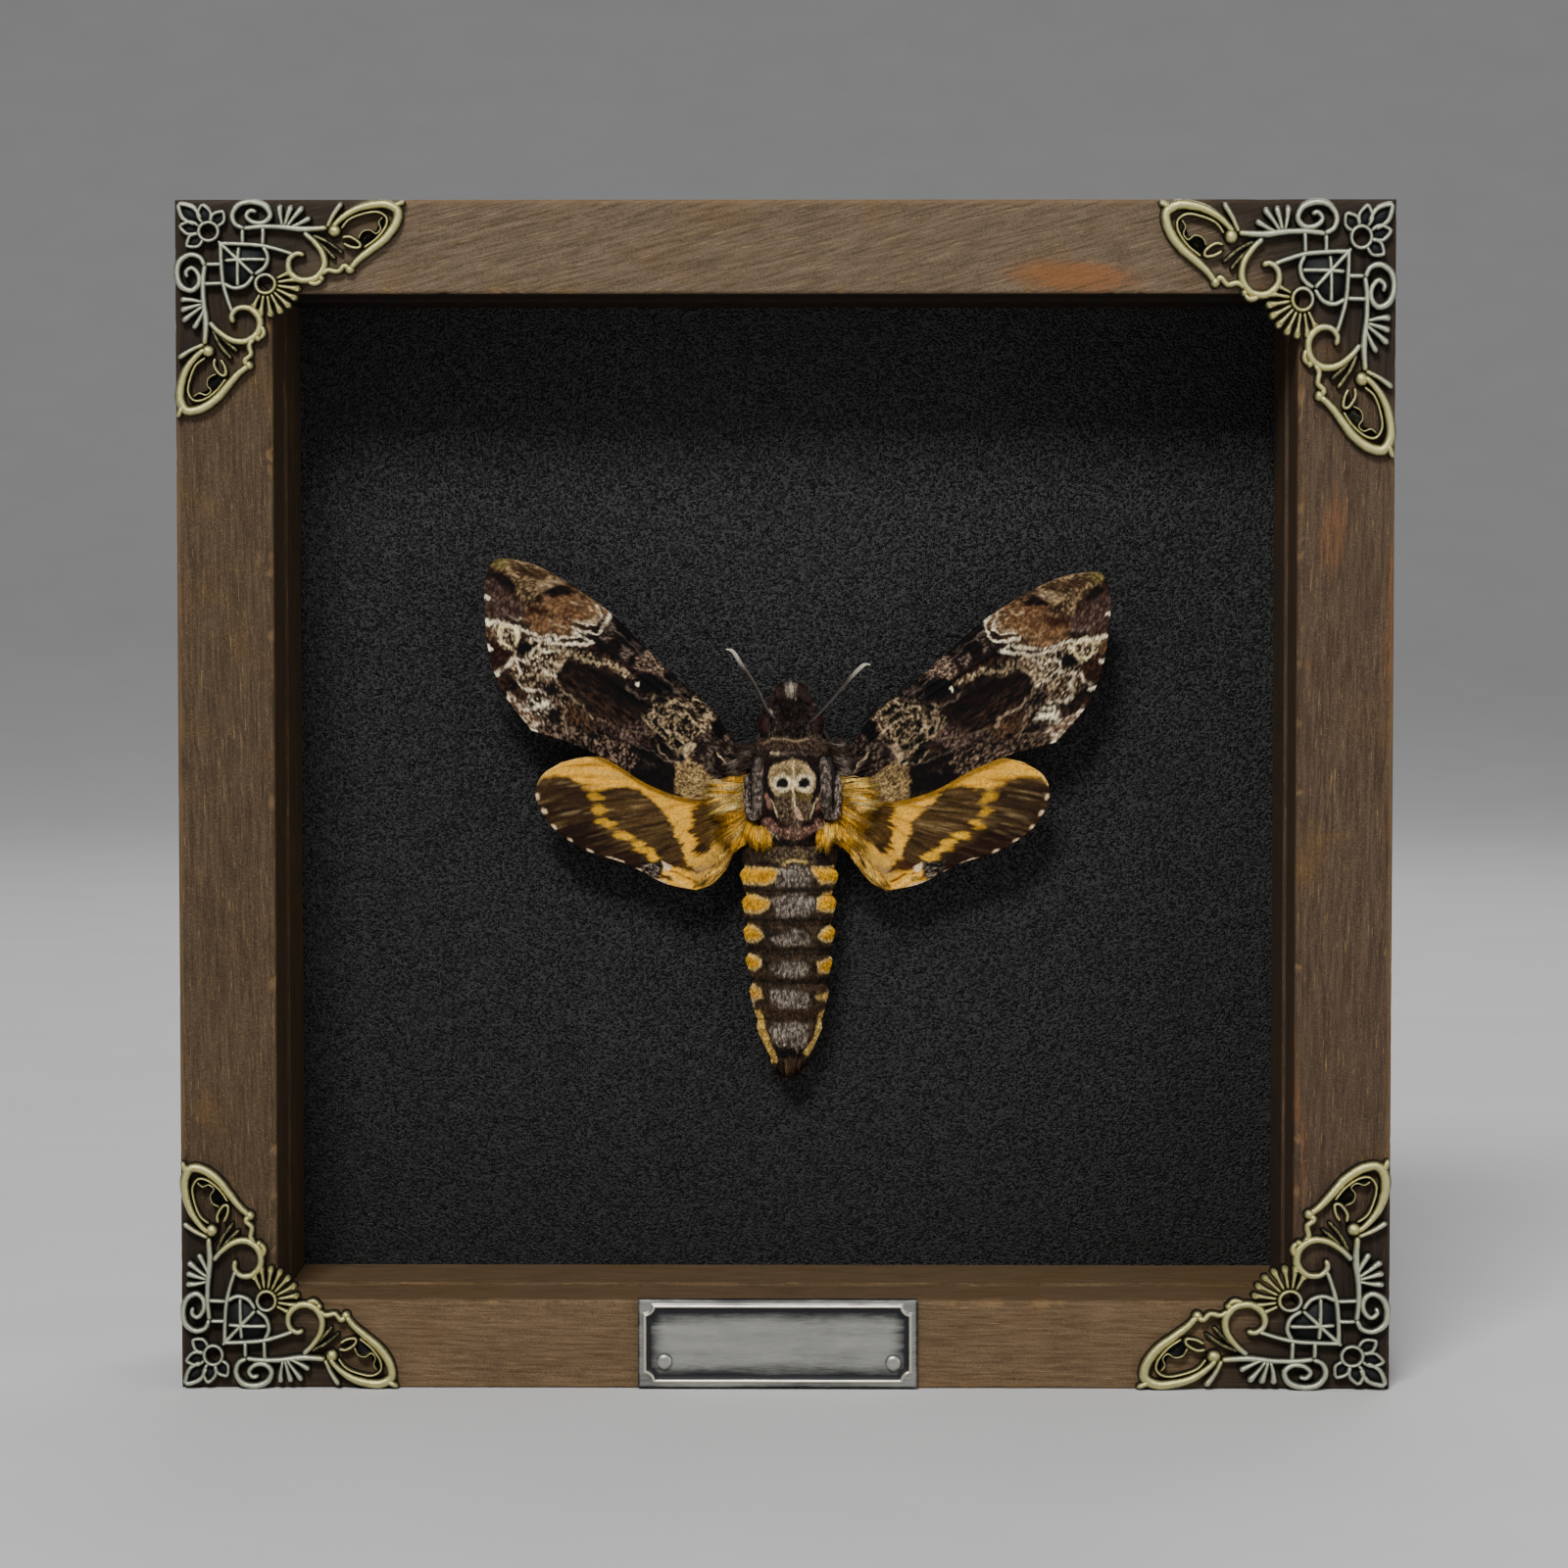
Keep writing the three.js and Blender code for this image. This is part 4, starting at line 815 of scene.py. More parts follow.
def leg_strands():
    """Strands of one leg of the filigree; the other leg has the same with across and down exchanged."""
    spiral = trace("11.4,5 9.9,4.3 9.4,2.7 10.5,1 12.6,.55 14.7,1.3 15.4,2.9 14.3,4 12.6,3.9 11.6,2.9 12.3,2 13.4,2.3")
    teardrop = trace("25.2,5 26.4,3.6 28.4,2.1 31,1.15 33.9,.95 35.6,2 35.4,4 33.7,6.6 31.2,8.7 29.3,10.3 28,11.9")
    rim = trace("26.7,5.1 27.9,3.6 30.2,2.6 32.6,2.3 33.9,3.2 33.8,4.6 32.3,6.7 30.2,8.3")
    scroll = trace("20.6,5.6 22.2,7 23.7,9.2 23.9,11.4 22.5,13.3 20.1,13.6 18.4,12.1 18.4,10.2 19.6,9.2 21,9.5")
    return [
        (spiral, (0.9, 1.05, 1.1, 0.95, 0.8)),
        (trace("11,5 14,4.7 17.2,4.75 20.5,5.1 24.6,4.9"), (0.9, 0.95, 1.15, 0.95)),
        ([(17.4, 4.7), (17.0, 2.8), (16.9, 0.9)], (0.55, 0.8, 1.25)),
        ([(17.7, 4.7), (18.2, 2.8), (18.8, 1.0)], (0.55, 0.8, 1.25)),
        ([(18.0, 4.8), (19.3, 3.0), (20.7, 1.3)], (0.55, 0.8, 1.25)),
        ([(18.4, 5.0), (20.2, 4.1), (22.0, 3.1)], (0.55, 0.8, 1.15)),
        ([(24.4, 4.9), (25.5, 2.6), (26.9, 0.6)], (0.75, 0.85, 1.0)),
        (teardrop, (0.9, 1.2, 1.45, 1.6, 1.6, 1.5, 1.35, 1.1)),
        (rim, (0.5, 0.5, 0.45)),
        ([(34.6, 1.5), (35.8, 0.9), (36.9, 0.5)], (1.1, 1.0, 0.8)),
        (trace("26.7,6.6 28,6.4 29.7,7.6 29.6,8.2 28.2,8.1 26.9,7.4"), (0.6, 0.6)),
        (SCALLOP, (0.3, 0.3)),
        (trace("28,11.9 27.2,11.2 26.2,12.2 24.6,12 23.4,12.8"), (1.2, 1.0, 1.05, 0.9)),
        (scroll, (0.95, 1.1, 1.25, 1.3, 1.3, 1.05, 1.0)),
        ([(21.2, 13.9), (22.6, 14.3), (23.7, 13.6)], (0.9, 1.0, 0.8)),
        (trace("7,7.5 10.6,7.6 14.2,7.9 17.2,8.7 19.2,9.4"), (0.8, 0.85, 0.8)),
        ([(11.0, 5.0), (11.0, 7.8)], (0.8, 0.8)),
        ([(14.3, 4.7), (14.2, 7.9)], (0.8, 0.8)),
        (trace("14.2,7.9 15,9.7 14.5,11.5 12.8,12.8"), (0.8, 0.85, 0.8)),
        ([(8.0, 10.4), (11.2, 10.2), (14.8, 10.2)], (0.75, 0.75)),
    ]


def make_corners():
    brass = aged_metal("aged_brass", tint(190, 192, 174), tint(198, 192, 146), tint(30, 31, 32), 0.36)
    parts = Parts()

    def both(line):
        return line, [(v, u) for u, v in line]

    for line, widths in leg_strands():
        for way in both(line):
            cast_strand(parts, way, [1.14 * width for width in widths])
    for line in ([(22.0, 6.1), (24.4, 7.2), (27.0, 9.2)], [(21.2, 6.4), (23.6, 7.9), (25.8, 10.2)]):
        for way in both(line):
            cast_strand(parts, way, (0.85, 0.85), height=1.05)
    for tip, half_width in (((1.0, 0.85), 1.2), ((4.6, 1.1), 1.05), ((7.9, 2.2), 1.05)):
        for way in {tip, tip[::-1]}:
            loop = petal_lines(way, half_width)
            cast_strand(parts, loop, (0.8,), height=1.5)
            cast_web(parts, loop, 0.6, 0.1)
    cast_dome(parts, *HEART, 1.95, RELIEF, hole=1.15)
    cast_dome(parts, *HUB, 1.95, RELIEF, hole=1.15)
    for turn in np.linspace(-72, 72, 9):
        angle = math.radians(45 + turn)
        out = np.array([math.cos(angle), math.sin(angle)])
        reach = 5.9 if abs(turn) < 60 else 5.1
        cast_strand(parts, [HUB + out * 1.8, HUB + out * 3.4, HUB + out * reach], (0.65, 0.8, 1.75), height=1.5)
        cast_dome(parts, *(HUB + out * (reach - 0.8)), 0.5, RELIEF, hole=0.22, sides=14)
    for way in both([(25.6, 5.4), (28.0, 11.9), (23.5, 13.4)]):
        for (u, v), radius in zip(way, (1.2, 0.95, 0.7)):
            cast_dome(parts, u, v, radius, RELIEF)
    plate = [(33.6, 3.0), (34.2, 4.6), (32.8, 7.0), (30.8, 8.4), (29.4, 7.0), *SCALLOP[-2::-1]]
    web = trace("7.4,7.4 11,7.6 14.2,8 14.9,9.7 14.4,11.4 12.8,12.8 11.4,14.4 9.7,14.9 8,14.2 7.6,11")
    for way in both(plate):
        cast_web(parts, way, 0.6, 0.42)
    cast_web(parts, web, 0.5, 0.1)
    cast_strand(parts, [(7.0, 7.0), (12.8, 12.8)], (0.9, 0.9))
    for name, (across, down) in CASTINGS.items():
        edge_x = -100.0 if name.endswith("left") else 100.0
        edge_z = CASE["height"] if name.startswith("top") else 0.0

        def place(p, across=across, down=down, edge_x=edge_x, edge_z=edge_z):
            x = edge_x - math.copysign(across, edge_x) * np.maximum(p[:, 0], 0.05)
            z = edge_z + (-down if edge_z else down) * np.maximum(p[:, 1], 0.05)
            return np.stack([x, FRONT - 0.3 - p[:, 2] + 0.32 * (p[:, 2] <= 1e-6), z], -1)

        parts.piece(f"filigree_{name}", brass, place, "height", slot="aged_brass", replaces=[f"corner_{name}"])


# The nameplate

PLATE = {"left": -24.3, "right": 21.9, "bottom": 0.3, "top": 15.0, "thick": 0.9}


def make_nameplate():
    """A bare plate: a height over a grid, rounded at its edge, with a raised line that turns in at the
    corners and a brushed field that darkens towards the line."""
    pewter = aged_metal("aged_pewter", tint(186, 186, 180), tint(214, 210, 192), tint(34, 34, 38), 0.3, True)
    half_x, half_z = (PLATE["right"] - PLATE["left"]) / 2, (PLATE["top"] - PLATE["bottom"]) / 2
    gx, gz = np.meshgrid(np.linspace(-half_x, half_x, 290), np.linspace(-half_z, half_z, 98), indexing="ij")
    edge = np.minimum(half_x - np.abs(gx), half_z - np.abs(gz))
    inset, notch = 1.0, 1.5
    box = np.minimum(half_x - inset - np.abs(gx), half_z - inset - np.abs(gz))
    corner = np.hypot(np.abs(gx) - (half_x - inset), np.abs(gz) - (half_z - inset)) - notch
    to_line = np.minimum(box, corner)
    ridge = np.exp(-((to_line - 0.15) / 0.26) ** 2)
    dents = layered(np.stack([gx, gz], -1), 2.2, 5, 3)
    height = PLATE["thick"] - 0.35 * (1 - np.sqrt(np.clip(1 - (1 - np.clip(edge / 0.35, 0, 1)) ** 2, 0, 1)))
    height = height + 0.36 * ridge - 0.12 * ease(0.2, 1.2, to_line) + 0.015 * dents
    front = np.stack([gx, gz, height], -1).reshape(-1, 3)
    rows, columns = gx.shape
    rim = np.concatenate([np.arange(rows) * columns, (rows - 1) * columns + np.arange(1, columns),
        np.arange(rows - 2, -1, -1) * columns + columns - 1, np.arange(columns - 2, 0, -1)])
    back = front[rim] * [1, 1, 0]
    start = len(front)
    ring = np.arange(len(rim)) + start
    wall = np.stack([rim, ring, np.roll(ring, -1), np.roll(rim, -1)], -1)
    points = np.vstack([front, back, [0, 0, 0]])
    faces = [grid_faces(rows, columns), wall, fan_faces(ring, len(points) - 1, False)]
    field = 0.36 + 0.38 * ease(0.4, 4.2, to_line) - 0.2 * np.exp(-((to_line - 0.75) / 0.35) ** 2)
    flange = 0.62 - 0.25 * ease(0.5, 0.0, edge)
    shine = np.where(to_line > 0.15, field, flange) + 0.04 * dents
    shine = np.clip(np.maximum(shine, ridge * 1.3), 0, 1).reshape(-1)
    shine = np.concatenate([shine, np.full(len(rim) + 1, 0.25)])
    yellower = np.concatenate([ridge.reshape(-1), np.zeros(len(rim) + 1)])
    middle = ((PLATE["left"] + PLATE["right"]) / 2, (PLATE["top"] + PLATE["bottom"]) / 2)

    def place(p, at=middle, lift=0.3):
        return np.stack([p[:, 0] + at[0], FRONT - lift - p[:, 2], p[:, 1] + at[1]], -1)

    points = place(points)
    points[len(front):, 1] += 0.28
    make_piece("bare_nameplate", points, faces, pewter, "aged_pewter", ["nameplate"],
        paint={"height": np.stack([shine, yellower, 0 * shine], -1)})
    for side, (u, v) in {"left": (-19.9, 4.7), "right": (17.9, 4.5)}.items():
        angle = np.arange(32) * 2 * math.pi / 32
        turn = np.linspace(0, math.pi / 2, 9)
        out = np.concatenate([[1.3, 1.3], 1.3 * np.cos(turn[1:-1])])
        up = np.concatenate([[-0.28, 0.06], 0.06 + 0.44 * np.sin(turn[1:-1])])
        rings = np.stack([out[:, None] * np.cos(angle), out[:, None] * np.sin(angle),
            np.broadcast_to(up[:, None], (len(out), 32))], -1).reshape(-1, 3)
        points = np.vstack([rings, [0, 0, 0.5], [0, 0, -0.28]])
        last = len(rings) - 32
        faces = [grid_faces(len(out), 32, wrap=True),
            np.vstack([fan_faces(np.arange(32) + last, len(rings)), fan_faces(np.arange(32), len(rings) + 1, False)])]
        shine = np.clip(0.3 + points[:, 2] * 1.1, 0, 0.85)
        make_piece(f"plate_pin_{side}", place(points, (u, v), 1.5), faces, pewter, "aged_pewter",
            [f"nameplate_pin_{side}"], paint={"height": np.stack([shine, 0 * shine, 0 * shine], -1)})


# The wings

FORE = {
    "front": trace("-3.5,.8 4.7,2.6 8.7,3.9 17.5,4.3 26.4,5 34.7,5.5 42.3,4.9"),
    "outer": trace("42.3,4.9 48.3,3.6 52.4,1.6 54.4,-.2 53.2,-4.2 49.9,-8.2 44.9,-13 39.1,-16.4 31.1,-18.3"),
    "rear": trace("-7.5,-4 -2.9,-4.4 2.7,-9.6 9.7,-12.5 17.5,-13.7 24.7,-15.7 31.1,-18.3"),
    "veins": trace(".1,.06 .17,.24 .24,.38 .38,.5 .52,.62 .59,.74 .66,.87"),
}
HIND = {
    "front": trace("4.5,-1.5 14,1 24,3.4 32.5,4.6 36,4.4 39.3,3.6"),
    "outer": trace("39.3,3.6 42.5,1.4 43.6,-1.7 41.3,-6.8 35.5,-11.1 28.3,-13.6 21.5,-17 16.4,-18.1"),
    "rear": trace("4.5,-7 9,-9.8 11.3,-14.5 13.9,-17.2 16.4,-18.1"),
    "veins": trace(".14,.12 .22,.27 .3,.42 .45,.56 .54,.7 .63,.86"),
}


def forewing_markings(at, across, out, seed):
    """The forewing's scales, by place along and forward from the shoulder: base to apex, then the margin.
    Most fields are grains of a light colour on a dark one, so that they look dusted on."""
    soot, bark, clay = tint(16, 11, 9), tint(40, 27, 22), tint(66, 47, 38)
    ash, sand, bone, chalk = tint(98, 86, 77), tint(110, 93, 75), tint(176, 158, 131), tint(220, 207, 182)
    wine, rust, fawn, pink = tint(30, 17, 14), tint(84, 60, 45), tint(134, 106, 80), tint(106, 88, 80)
    m = Markings(at, bark, seed, shake=0.6, size=1.3, fray=0.26)
    along = (0.3, 1.2)
    m.mix(soot, clay, None, 0.7, 0.0)
    m.mix(bark, ash, "-6,3.4 5,4 8.6,4.6 9,-1 8.5,-5.2 1,-4.6 -4,-3.6", 0.55, 0.05)
    m.line(soot, "-1,.9 1.5,.9 3.4,-.2 4.4,-1", 0.7)
    m.line(wine, ".8,-3.1 2.6,-2.6 4.3,-1.6", 1.3, broken=0.2)
    m.line(bone, ".4,-1.9 2.4,-1.2 4.6,-.9", 0.22)
    m.spot(wine, 7.0, -2.4, 0.9, 0.8, strength=0.8)
    m.mix(tint(78, 62, 46), tint(154, 132, 98), ".4,-4.8 4,-4.3 8.9,-4.7 8.7,-7 7.3,-9.2 5.6,-10.8 1.5,-9.4 "
        "-.6,-6.5", 0.36, -0.1)
    m.mix(sand, bone, "8,-2.4 9.8,-2.2 10,-4.9 8.6,-6.4 7.9,-5", 0.5, -0.2)
    m.mix(tint(28, 20, 17), tint(156, 136, 110), "8.4,3.4 10.2,4.8 13.8,4.6 14.4,2.6 16.6,1.4 17.2,-.6 19.2,-1.2 "
        "19,-4 16.4,-5.1 12,-5.5 9.4,-5 9.6,-2 8.6,.2", 0.55, 0.12, edge=0.6)
    m.mix(clay, bone, "8.4,1.2 8.6,3.2 10.4,4.4 11,3.6 10.3,2.2 10.4,.9 9.4,.5", 0.5, 0.0)
    for loop, width in (
        ("10.4,4.2 12.4,4.3 13.6,3.4 13.4,2.6", 0.5),
        ("10.4,2 12.2,2 14.4,1.6 16,.8 16.6,-.6", 0.4),
        ("8.8,.5 11,.6 13.4,.6 14.2,-.3 13.6,-1.4 12.8,-2.4", 0.4),
        ("15.2,-.4 14.6,-1.4 15.6,-2.2 17.2,-2.4 17.6,-3.6 16,-4.4", 0.4),
        ("10.2,-3.2 12,-2.8 14,-3.4 15.8,-3.2", 0.35),
        ("9.8,-4.9 11.6,-5 13.8,-4.9 16,-4.9 18.4,-4.6", 0.4),
        ("8.8,-6.2 9.6,-6.9 11.4,-6.9 13,-6.4", 0.35),
        ("17.8,.4 18.8,-.8 19.4,-2.6 20.8,-3.2", 0.35),
    ):
        m.line(bone, loop, 0.8 * width, strength=0.62, broken=0.75)
    for x, y, wide, high, turn in trace("11.7,2.7,1,.42,-8 12.1,1.35,1.2,.4,-6 15,.3,.5,.6,0 14.3,-1.3,.45,.6,20 "
            "16.6,-1.4,.4,.7,10 11.2,-1.6,.6,.4,0 10.7,-3.9,.6,.45,0 13.4,-4.1,.8,.4,0 15.8,-3.8,.5,.35,0 "
            "17.9,-.2,.5,.8,0 12.7,-.4,.5,.3,0"):
        m.spot(soot, x, y, 1.15 * wide, 1.3 * high, turn, strength=0.9)
    m.field(soot, "5.7,3.3 8.2,3.8 8.9,2.6 8,1.4 7.4,.4 5.9,1")
    m.spot(soot, 8.9, -5.5, 0.6, 0.5)
    m.line(soot, "10.1,-6.4 11.2,-5.8 12.6,-5.5 14,-5.3", 0.95, broken=0.2)
    m.mix(soot, bark, "8.8,-7.3 11.2,-7.3 13.6,-7.4 15.6,-8.4 16.8,-10 16.2,-13.4 11,-12.8 6.2,-10.6 7.5,-8.6", 0.8,
        0.3, edge=0.3)
    m.mix(bark, ash, "10.8,-9.4 12.4,-8.8 13.8,-10 12.6,-11.2", 0.5, 0.2, strength=0.6)
    m.mix(bark, tint(122, 102, 94), "14.4,-5.6 19.4,-4.9 21.5,-8.4 23.5,-9.8 16.6,-9.9", 0.5, 0.12, strength=0.9)
    m.line(ash, "9.4,-7.1 12.6,-7.9 15.4,-8.5 18.8,-9.4", 0.22, broken=0.3)
    m.line(bone, "15.6,-6.2 18,-7.4 20.6,-8.6 24,-9.6", 0.25, strength=0.4, broken=0.8)
    m.mix(soot, ash, "13.4,4.8 20.2,5.2 20.6,2.6 19.4,.4 17.4,1.2 15,2.7", 0.7, 0.34)
    m.mix(bark, ash, "15.4,4.3 18,4.2 18,2.6 15.8,2.6", 0.45, 0.0, strength=0.7)
    m.mix(bark, tint(146, 126, 110), "20.2,5.2 25.6,5.6 25.8,3.6 25,1.2 23.2,1 22.2,2.3 20.4,2.9", 0.4, 0.02, edge=0.3)
    m.field(soot, "18.4,1.8 20.2,2.2 22.6,1.9 23.4,.6 22.6,-1.2 20,-.8 18.6,.2")
    m.mix(soot, bark, "25.4,5.8 33.4,6.3 32.8,4.6 32.2,2.8 33.8,.8 33,-.6 29,-.2 25.4,.8 25.4,2.6", 0.8, 0.2, edge=0.4)
    m.mix(bark, tint(122, 108, 98), "26.2,2.8 28.6,2.6 28.2,1 26.4,.9", 0.5, 0.0, strength=0.85)
    m.mix(bark, tint(122, 108, 98), "30.4,4.2 32.6,4.2 32,2.4 32.4,1.2 30.6,1.2 30.9,2.6", 0.5, 0.05, strength=0.85)
    m.spot(ash, 27.2, 4.4, 0.7, 0.3, strength=0.6)
    m.line(ash, "13.6,2.3 20,3.1 27,3.8 33.4,4.1", 0.16, broken=0.3)
    m.mix(soot, tint(38, 25, 20), "18.6,-1.6 22.5,-1.7 26.5,-2.1 30,-3.2 34.2,-5.4 35,-8.8 30,-9.6 24,-9 18.6,-6",
        0.8, 0.0, edge=1.0, stretch=along)
    m.mix(tint(28, 18, 15), tint(74, 56, 46), "19,-4.6 24,-5.6 30,-6.6 33,-7.4 33,-9.4 24,-9.4 19.5,-8.6", 0.55, 0.1,
        edge=0.6, strength=0.85, stretch=along)
    m.mix(wine, tint(64, 46, 38), "27,-3.8 30,-4.6 33.4,-6.4 33,-7.8 28,-6.4", 0.6, 0.2, edge=0.5, stretch=along)
    m.mix(clay, bone, "23,.1 25.5,-.3 28.5,-.8 29.6,-1.4 27,-1.6 24.6,-1.2 23.3,-.6", 0.45, 0.02, edge=0.22)
    m.mix(soot, tint(150, 130, 106), "28.2,-1.4 31.8,-1.8 34.2,-2.8 35,-5 32.4,-4.5 29.8,-3.2", 0.5, 0.15)
    m.line(bone, "28.6,-1.9 31,-3 33,-4.1", 0.35, strength=0.6, broken=0.8)
    m.line(ash, "19.6,-1.8 21.6,-2.2 23.6,-2.2", 0.35)
    m.spot(soot, 22.4, -0.4, 1.2, 0.85)
    m.spot(chalk * 1.15, 22.45, -0.5, 0.4, 0.26, turn=35, edge=0.1)
    rear = trace("14.5,-9.6 20,-10.2 26,-9.6 34,-9 36,-12 33.5,-15.8 29,-18.4 24,-16.6 18,-14.8 14,-13.8")
    m.mix(tint(30, 20, 17), tint(136, 116, 100), rear, 0.55, 0.2)
    m.mix(tint(40, 26, 20), tint(100, 74, 56), "23.4,-9.8 29.6,-10 30,-12.4 26,-13.6 23,-12", 0.6, 0.05, edge=0.6,
        strength=0.75)
    m.line(bone, "24.5,-9.9 27.5,-9.4 30.5,-9.9 33.5,-8.9", 0.35, strength=0.5, broken=0.8)
    m.line(bone, "26.4,-14.4 28,-13.2 29,-11.8 31,-11.2", 0.35, strength=0.4, broken=0.8)
    for x, y, wide, high in trace("29.6,-13.9,1.4,.8 22.6,-12.4,.8,.6 33.2,-10.9,.9,.6 38.6,-14.3,1.3,.55 "
            "18.2,-11.4,.7,.4 25.4,-12.8,.5,.4"):
        m.spot(soot, x, y, wide, high, strength=0.9)
    band = trace("34,-3.4 36,-3.6 38.6,-5 42,-5.9 46.6,-7 49,-9.2 45.6,-10.6 40,-10.6 36.2,-11.6 33.8,-9.2 34.4,-6")
    m.mix(bark, tint(190, 172, 144), band, 0.6, 0.12)
    m.mix(clay, bone, "34.4,-3.6 36.2,-4.2 36.4,-6.4 35.6,-7.8 34.2,-7.4", 0.6, 0.0, strength=0.85)
    m.mix(tint(48, 34, 26), bone, "35.4,-9.6 40.4,-10.2 42.8,-12 39.8,-13.6 35.6,-13", 0.55, 0.2)
    m.mix(tint(48, 34, 28), chalk, "30.6,-12.6 33.4,-11.8 35.2,-14 34.4,-16 31.4,-15.6", 0.55, 0.2)
    m.mix(tint(84, 60, 48), chalk, "30.4,-15.9 34.6,-15.8 38.4,-16 36.6,-17.6 31.2,-18.8", 0.55, 0.22)
    for wavy, width in (
        ("34.2,-12 36.2,-13.4 38.2,-13.4 38.9,-12.1 40.6,-11.2", 0.55),
        ("40,-10.6 41.6,-11.3 41,-12.7 42.2,-14.2", 0.5),
        ("33.8,-8.6 36.4,-9.2 38,-8.6 39.6,-10.2", 0.4),
        ("36.4,-5 37.8,-6.4 39.4,-7 39.2,-8.8", 0.45),
        ("31.6,-13 33,-14.2 33.6,-15.8", 0.7),
        ("31.2,-16.6 32,-18.2", 0.7),
    ):
        m.line(chalk, wavy, 0.8 * width, strength=0.8, broken=0.7)
    m.field(soot, "40,-7.2 41.6,-7 42.5,-8.2 42,-9.9 40.2,-9.7", edge=0.3)
    m.spot(clay, 42.4, -6.4, 0.8, 0.35, turn=-20, strength=0.9)
    m.line(tint(206, 192, 152), "42.6,-8.8 43.6,-7.2 45.4,-7.4 46.2,-8.8 44.8,-9.9 43,-9.6", 0.5)
    m.mix(tint(40, 24, 18), tint(86, 58, 46), "42.2,-10.4 45.6,-10.4 46.8,-11.6 42.9,-14.8 41.2,-13.2", 0.6, 0.2,
        strength=0.95)
    m.mix(clay, tint(124, 96, 72), "46.4,-9.4 49.2,-9.2 47.6,-11.6 45.8,-11", 0.5, 0.1, strength=0.8)
    field = trace("33.8,3.4 34.6,6 38,6.4 41,5.9 43.2,4 44.8,1.6 44,-.6 45.6,-3 44,-5.6 41,-5.2 37.6,-3.4 35.6,-1.3 "
        "36.8,.2 34.6,1.5")
    m.mix(tint(66, 48, 36), tint(134, 110, 86), field, 0.6, 0.05, stretch=(0.8, 1.5))
    m.mix(rust, fawn, "36.6,3 40.6,4 43.4,1.4 43,-1.8 43.8,-4.2 41,-4.6 38.2,-2.6 36.8,.6", 0.6, 0.05, edge=0.8,
        strength=0.8)
    m.mix(tint(92, 70, 50), bone, "34.8,5.6 38.6,5.6 38.2,3.6 36.4,1.2 35,1.6 34.4,3.4", 0.6, 0.2, edge=0.6,
        strength=0.85)
    for wavy in ("36.2,4.8 35.4,3.6 35.2,2.3 36.6,1.2", "38.2,3.4 40,2.6", "37.6,-.8 39.6,-2 41,-2",
            "37,.8 38.6,.2"):
        m.line(bone, wavy, 0.3, strength=0.7)
    m.line(bark, "35.6,4.7 34.3,3.4 34,2.3 35.4,1.1 37,0", 0.42, strength=0.85)
    m.line(bark, "35.4,-1.4 37.4,-3 39.6,-4.3 42,-5.5", 0.32, strength=0.7)
    for zigzag, width in (
        ("38.6,6.2 35.6,6 34,5.1 33.2,3.7 32.8,2.2 33.8,1.1 35.6,.1 36.8,-.5", 0.42),
        ("32.8,-.3 33.6,-1.3 35.2,-2.7 37,-4.1 39.2,-5.2 41.4,-6.2", 0.46),
        ("34.9,-.5 35.8,-1.8 38.2,-3.8 40.6,-5 43,-6 45.4,-7.2 48.6,-9", 0.36),
        ("36.4,5 35,4.4 34.2,3.2 34.4,2.4 35.6,1.4 37,.4", 0.32),
        ("32.9,-.4 34.8,-.7 36.4,-.9", 0.35),
        ("44.6,-4.9 46.8,-6.2 50,-6.2", 0.3),
    ):
        m.line(chalk, zigzag, 0.85 * width, strength=0.9, broken=0.5)
    m.field(wine, "40.5,4.5 42.6,4.2 44.6,2.2 44.2,.8 42.8,1.3 41.4,2.9", edge=0.35)
    m.field(tint(52, 28, 20), "41.6,-.4 43.4,-1 45.2,-2.7 44.5,-3.6 42.6,-2.4", edge=0.4, strength=0.9)
    m.spot(soot, 41.2, 5.1, 1.3, 0.4, strength=0.9)
    m.mix(tint(62, 48, 36), tint(146, 126, 98), "43.4,5.2 48,4.2 52,2.2 55,0 53,-1.2 49.8,-1 46,-3 45,-1 44.6,1", 0.5,
        0.05, edge=0.5)
    m.mix(sand, bone, "42.6,4.7 44.4,4 46.6,1.6 46,.4 44.6,1.2 44,3", 0.5, 0.1, strength=0.75)
    m.mix(tint(44, 30, 22), tint(96, 74, 54), "45.6,4 48.6,3 52.2,1 51.4,.2 48.4,1.4 46.2,2.2", 0.5, 0.15,
        strength=0.85)
    m.line(bone, "46.6,4.4 49.8,3.2 52.6,1.6", 0.2, strength=0.5)
    m.mix(tint(58, 42, 36), pink, "45.8,-3 50,-2.6 53.8,-3.4 52.6,-6 49.6,-8.8 46,-6.4 44.4,-4.6", 0.5, 0.08,
        edge=0.5, strength=0.9)
    m.field(wine, "49.6,-1.4 52.4,-1.2 53.6,-2.4 51.4,-3 50,-2.4", edge=0.35, strength=0.9)
    m.mix(tint(84, 74, 48), tint(128, 116, 80), "51.8,1.2 55,.6 54.8,-1 52.6,-.8", 0.5, 0.0)
    for tick in trace("51.6,-6.4 48.9,-9.3 45.9,-12.4 42.1,-14.9 38.2,-17 31.3,-18.4"):
        m.line(chalk, [tick, tuple(np.array(tick) + [-0.7, 0.4])], 0.55, edge=0.1, broken=0.0)
    m.colour *= np.exp(0.55 * m.grain(0.6, (0.7, 1.1)) - 0.22 * ease(0.0, 0.7, m.grain(1.6)))[:, None]
    m.colour *= (m.colour.mean(1, keepdims=True) / 0.11) ** 0.22
    front_edge = ease(0.035, 0.0, across) * ease(0.1, 0.3, out) * ease(0.72, 0.6, out)
    m.lay(soot, front_edge * 0.7)
    return m.colour


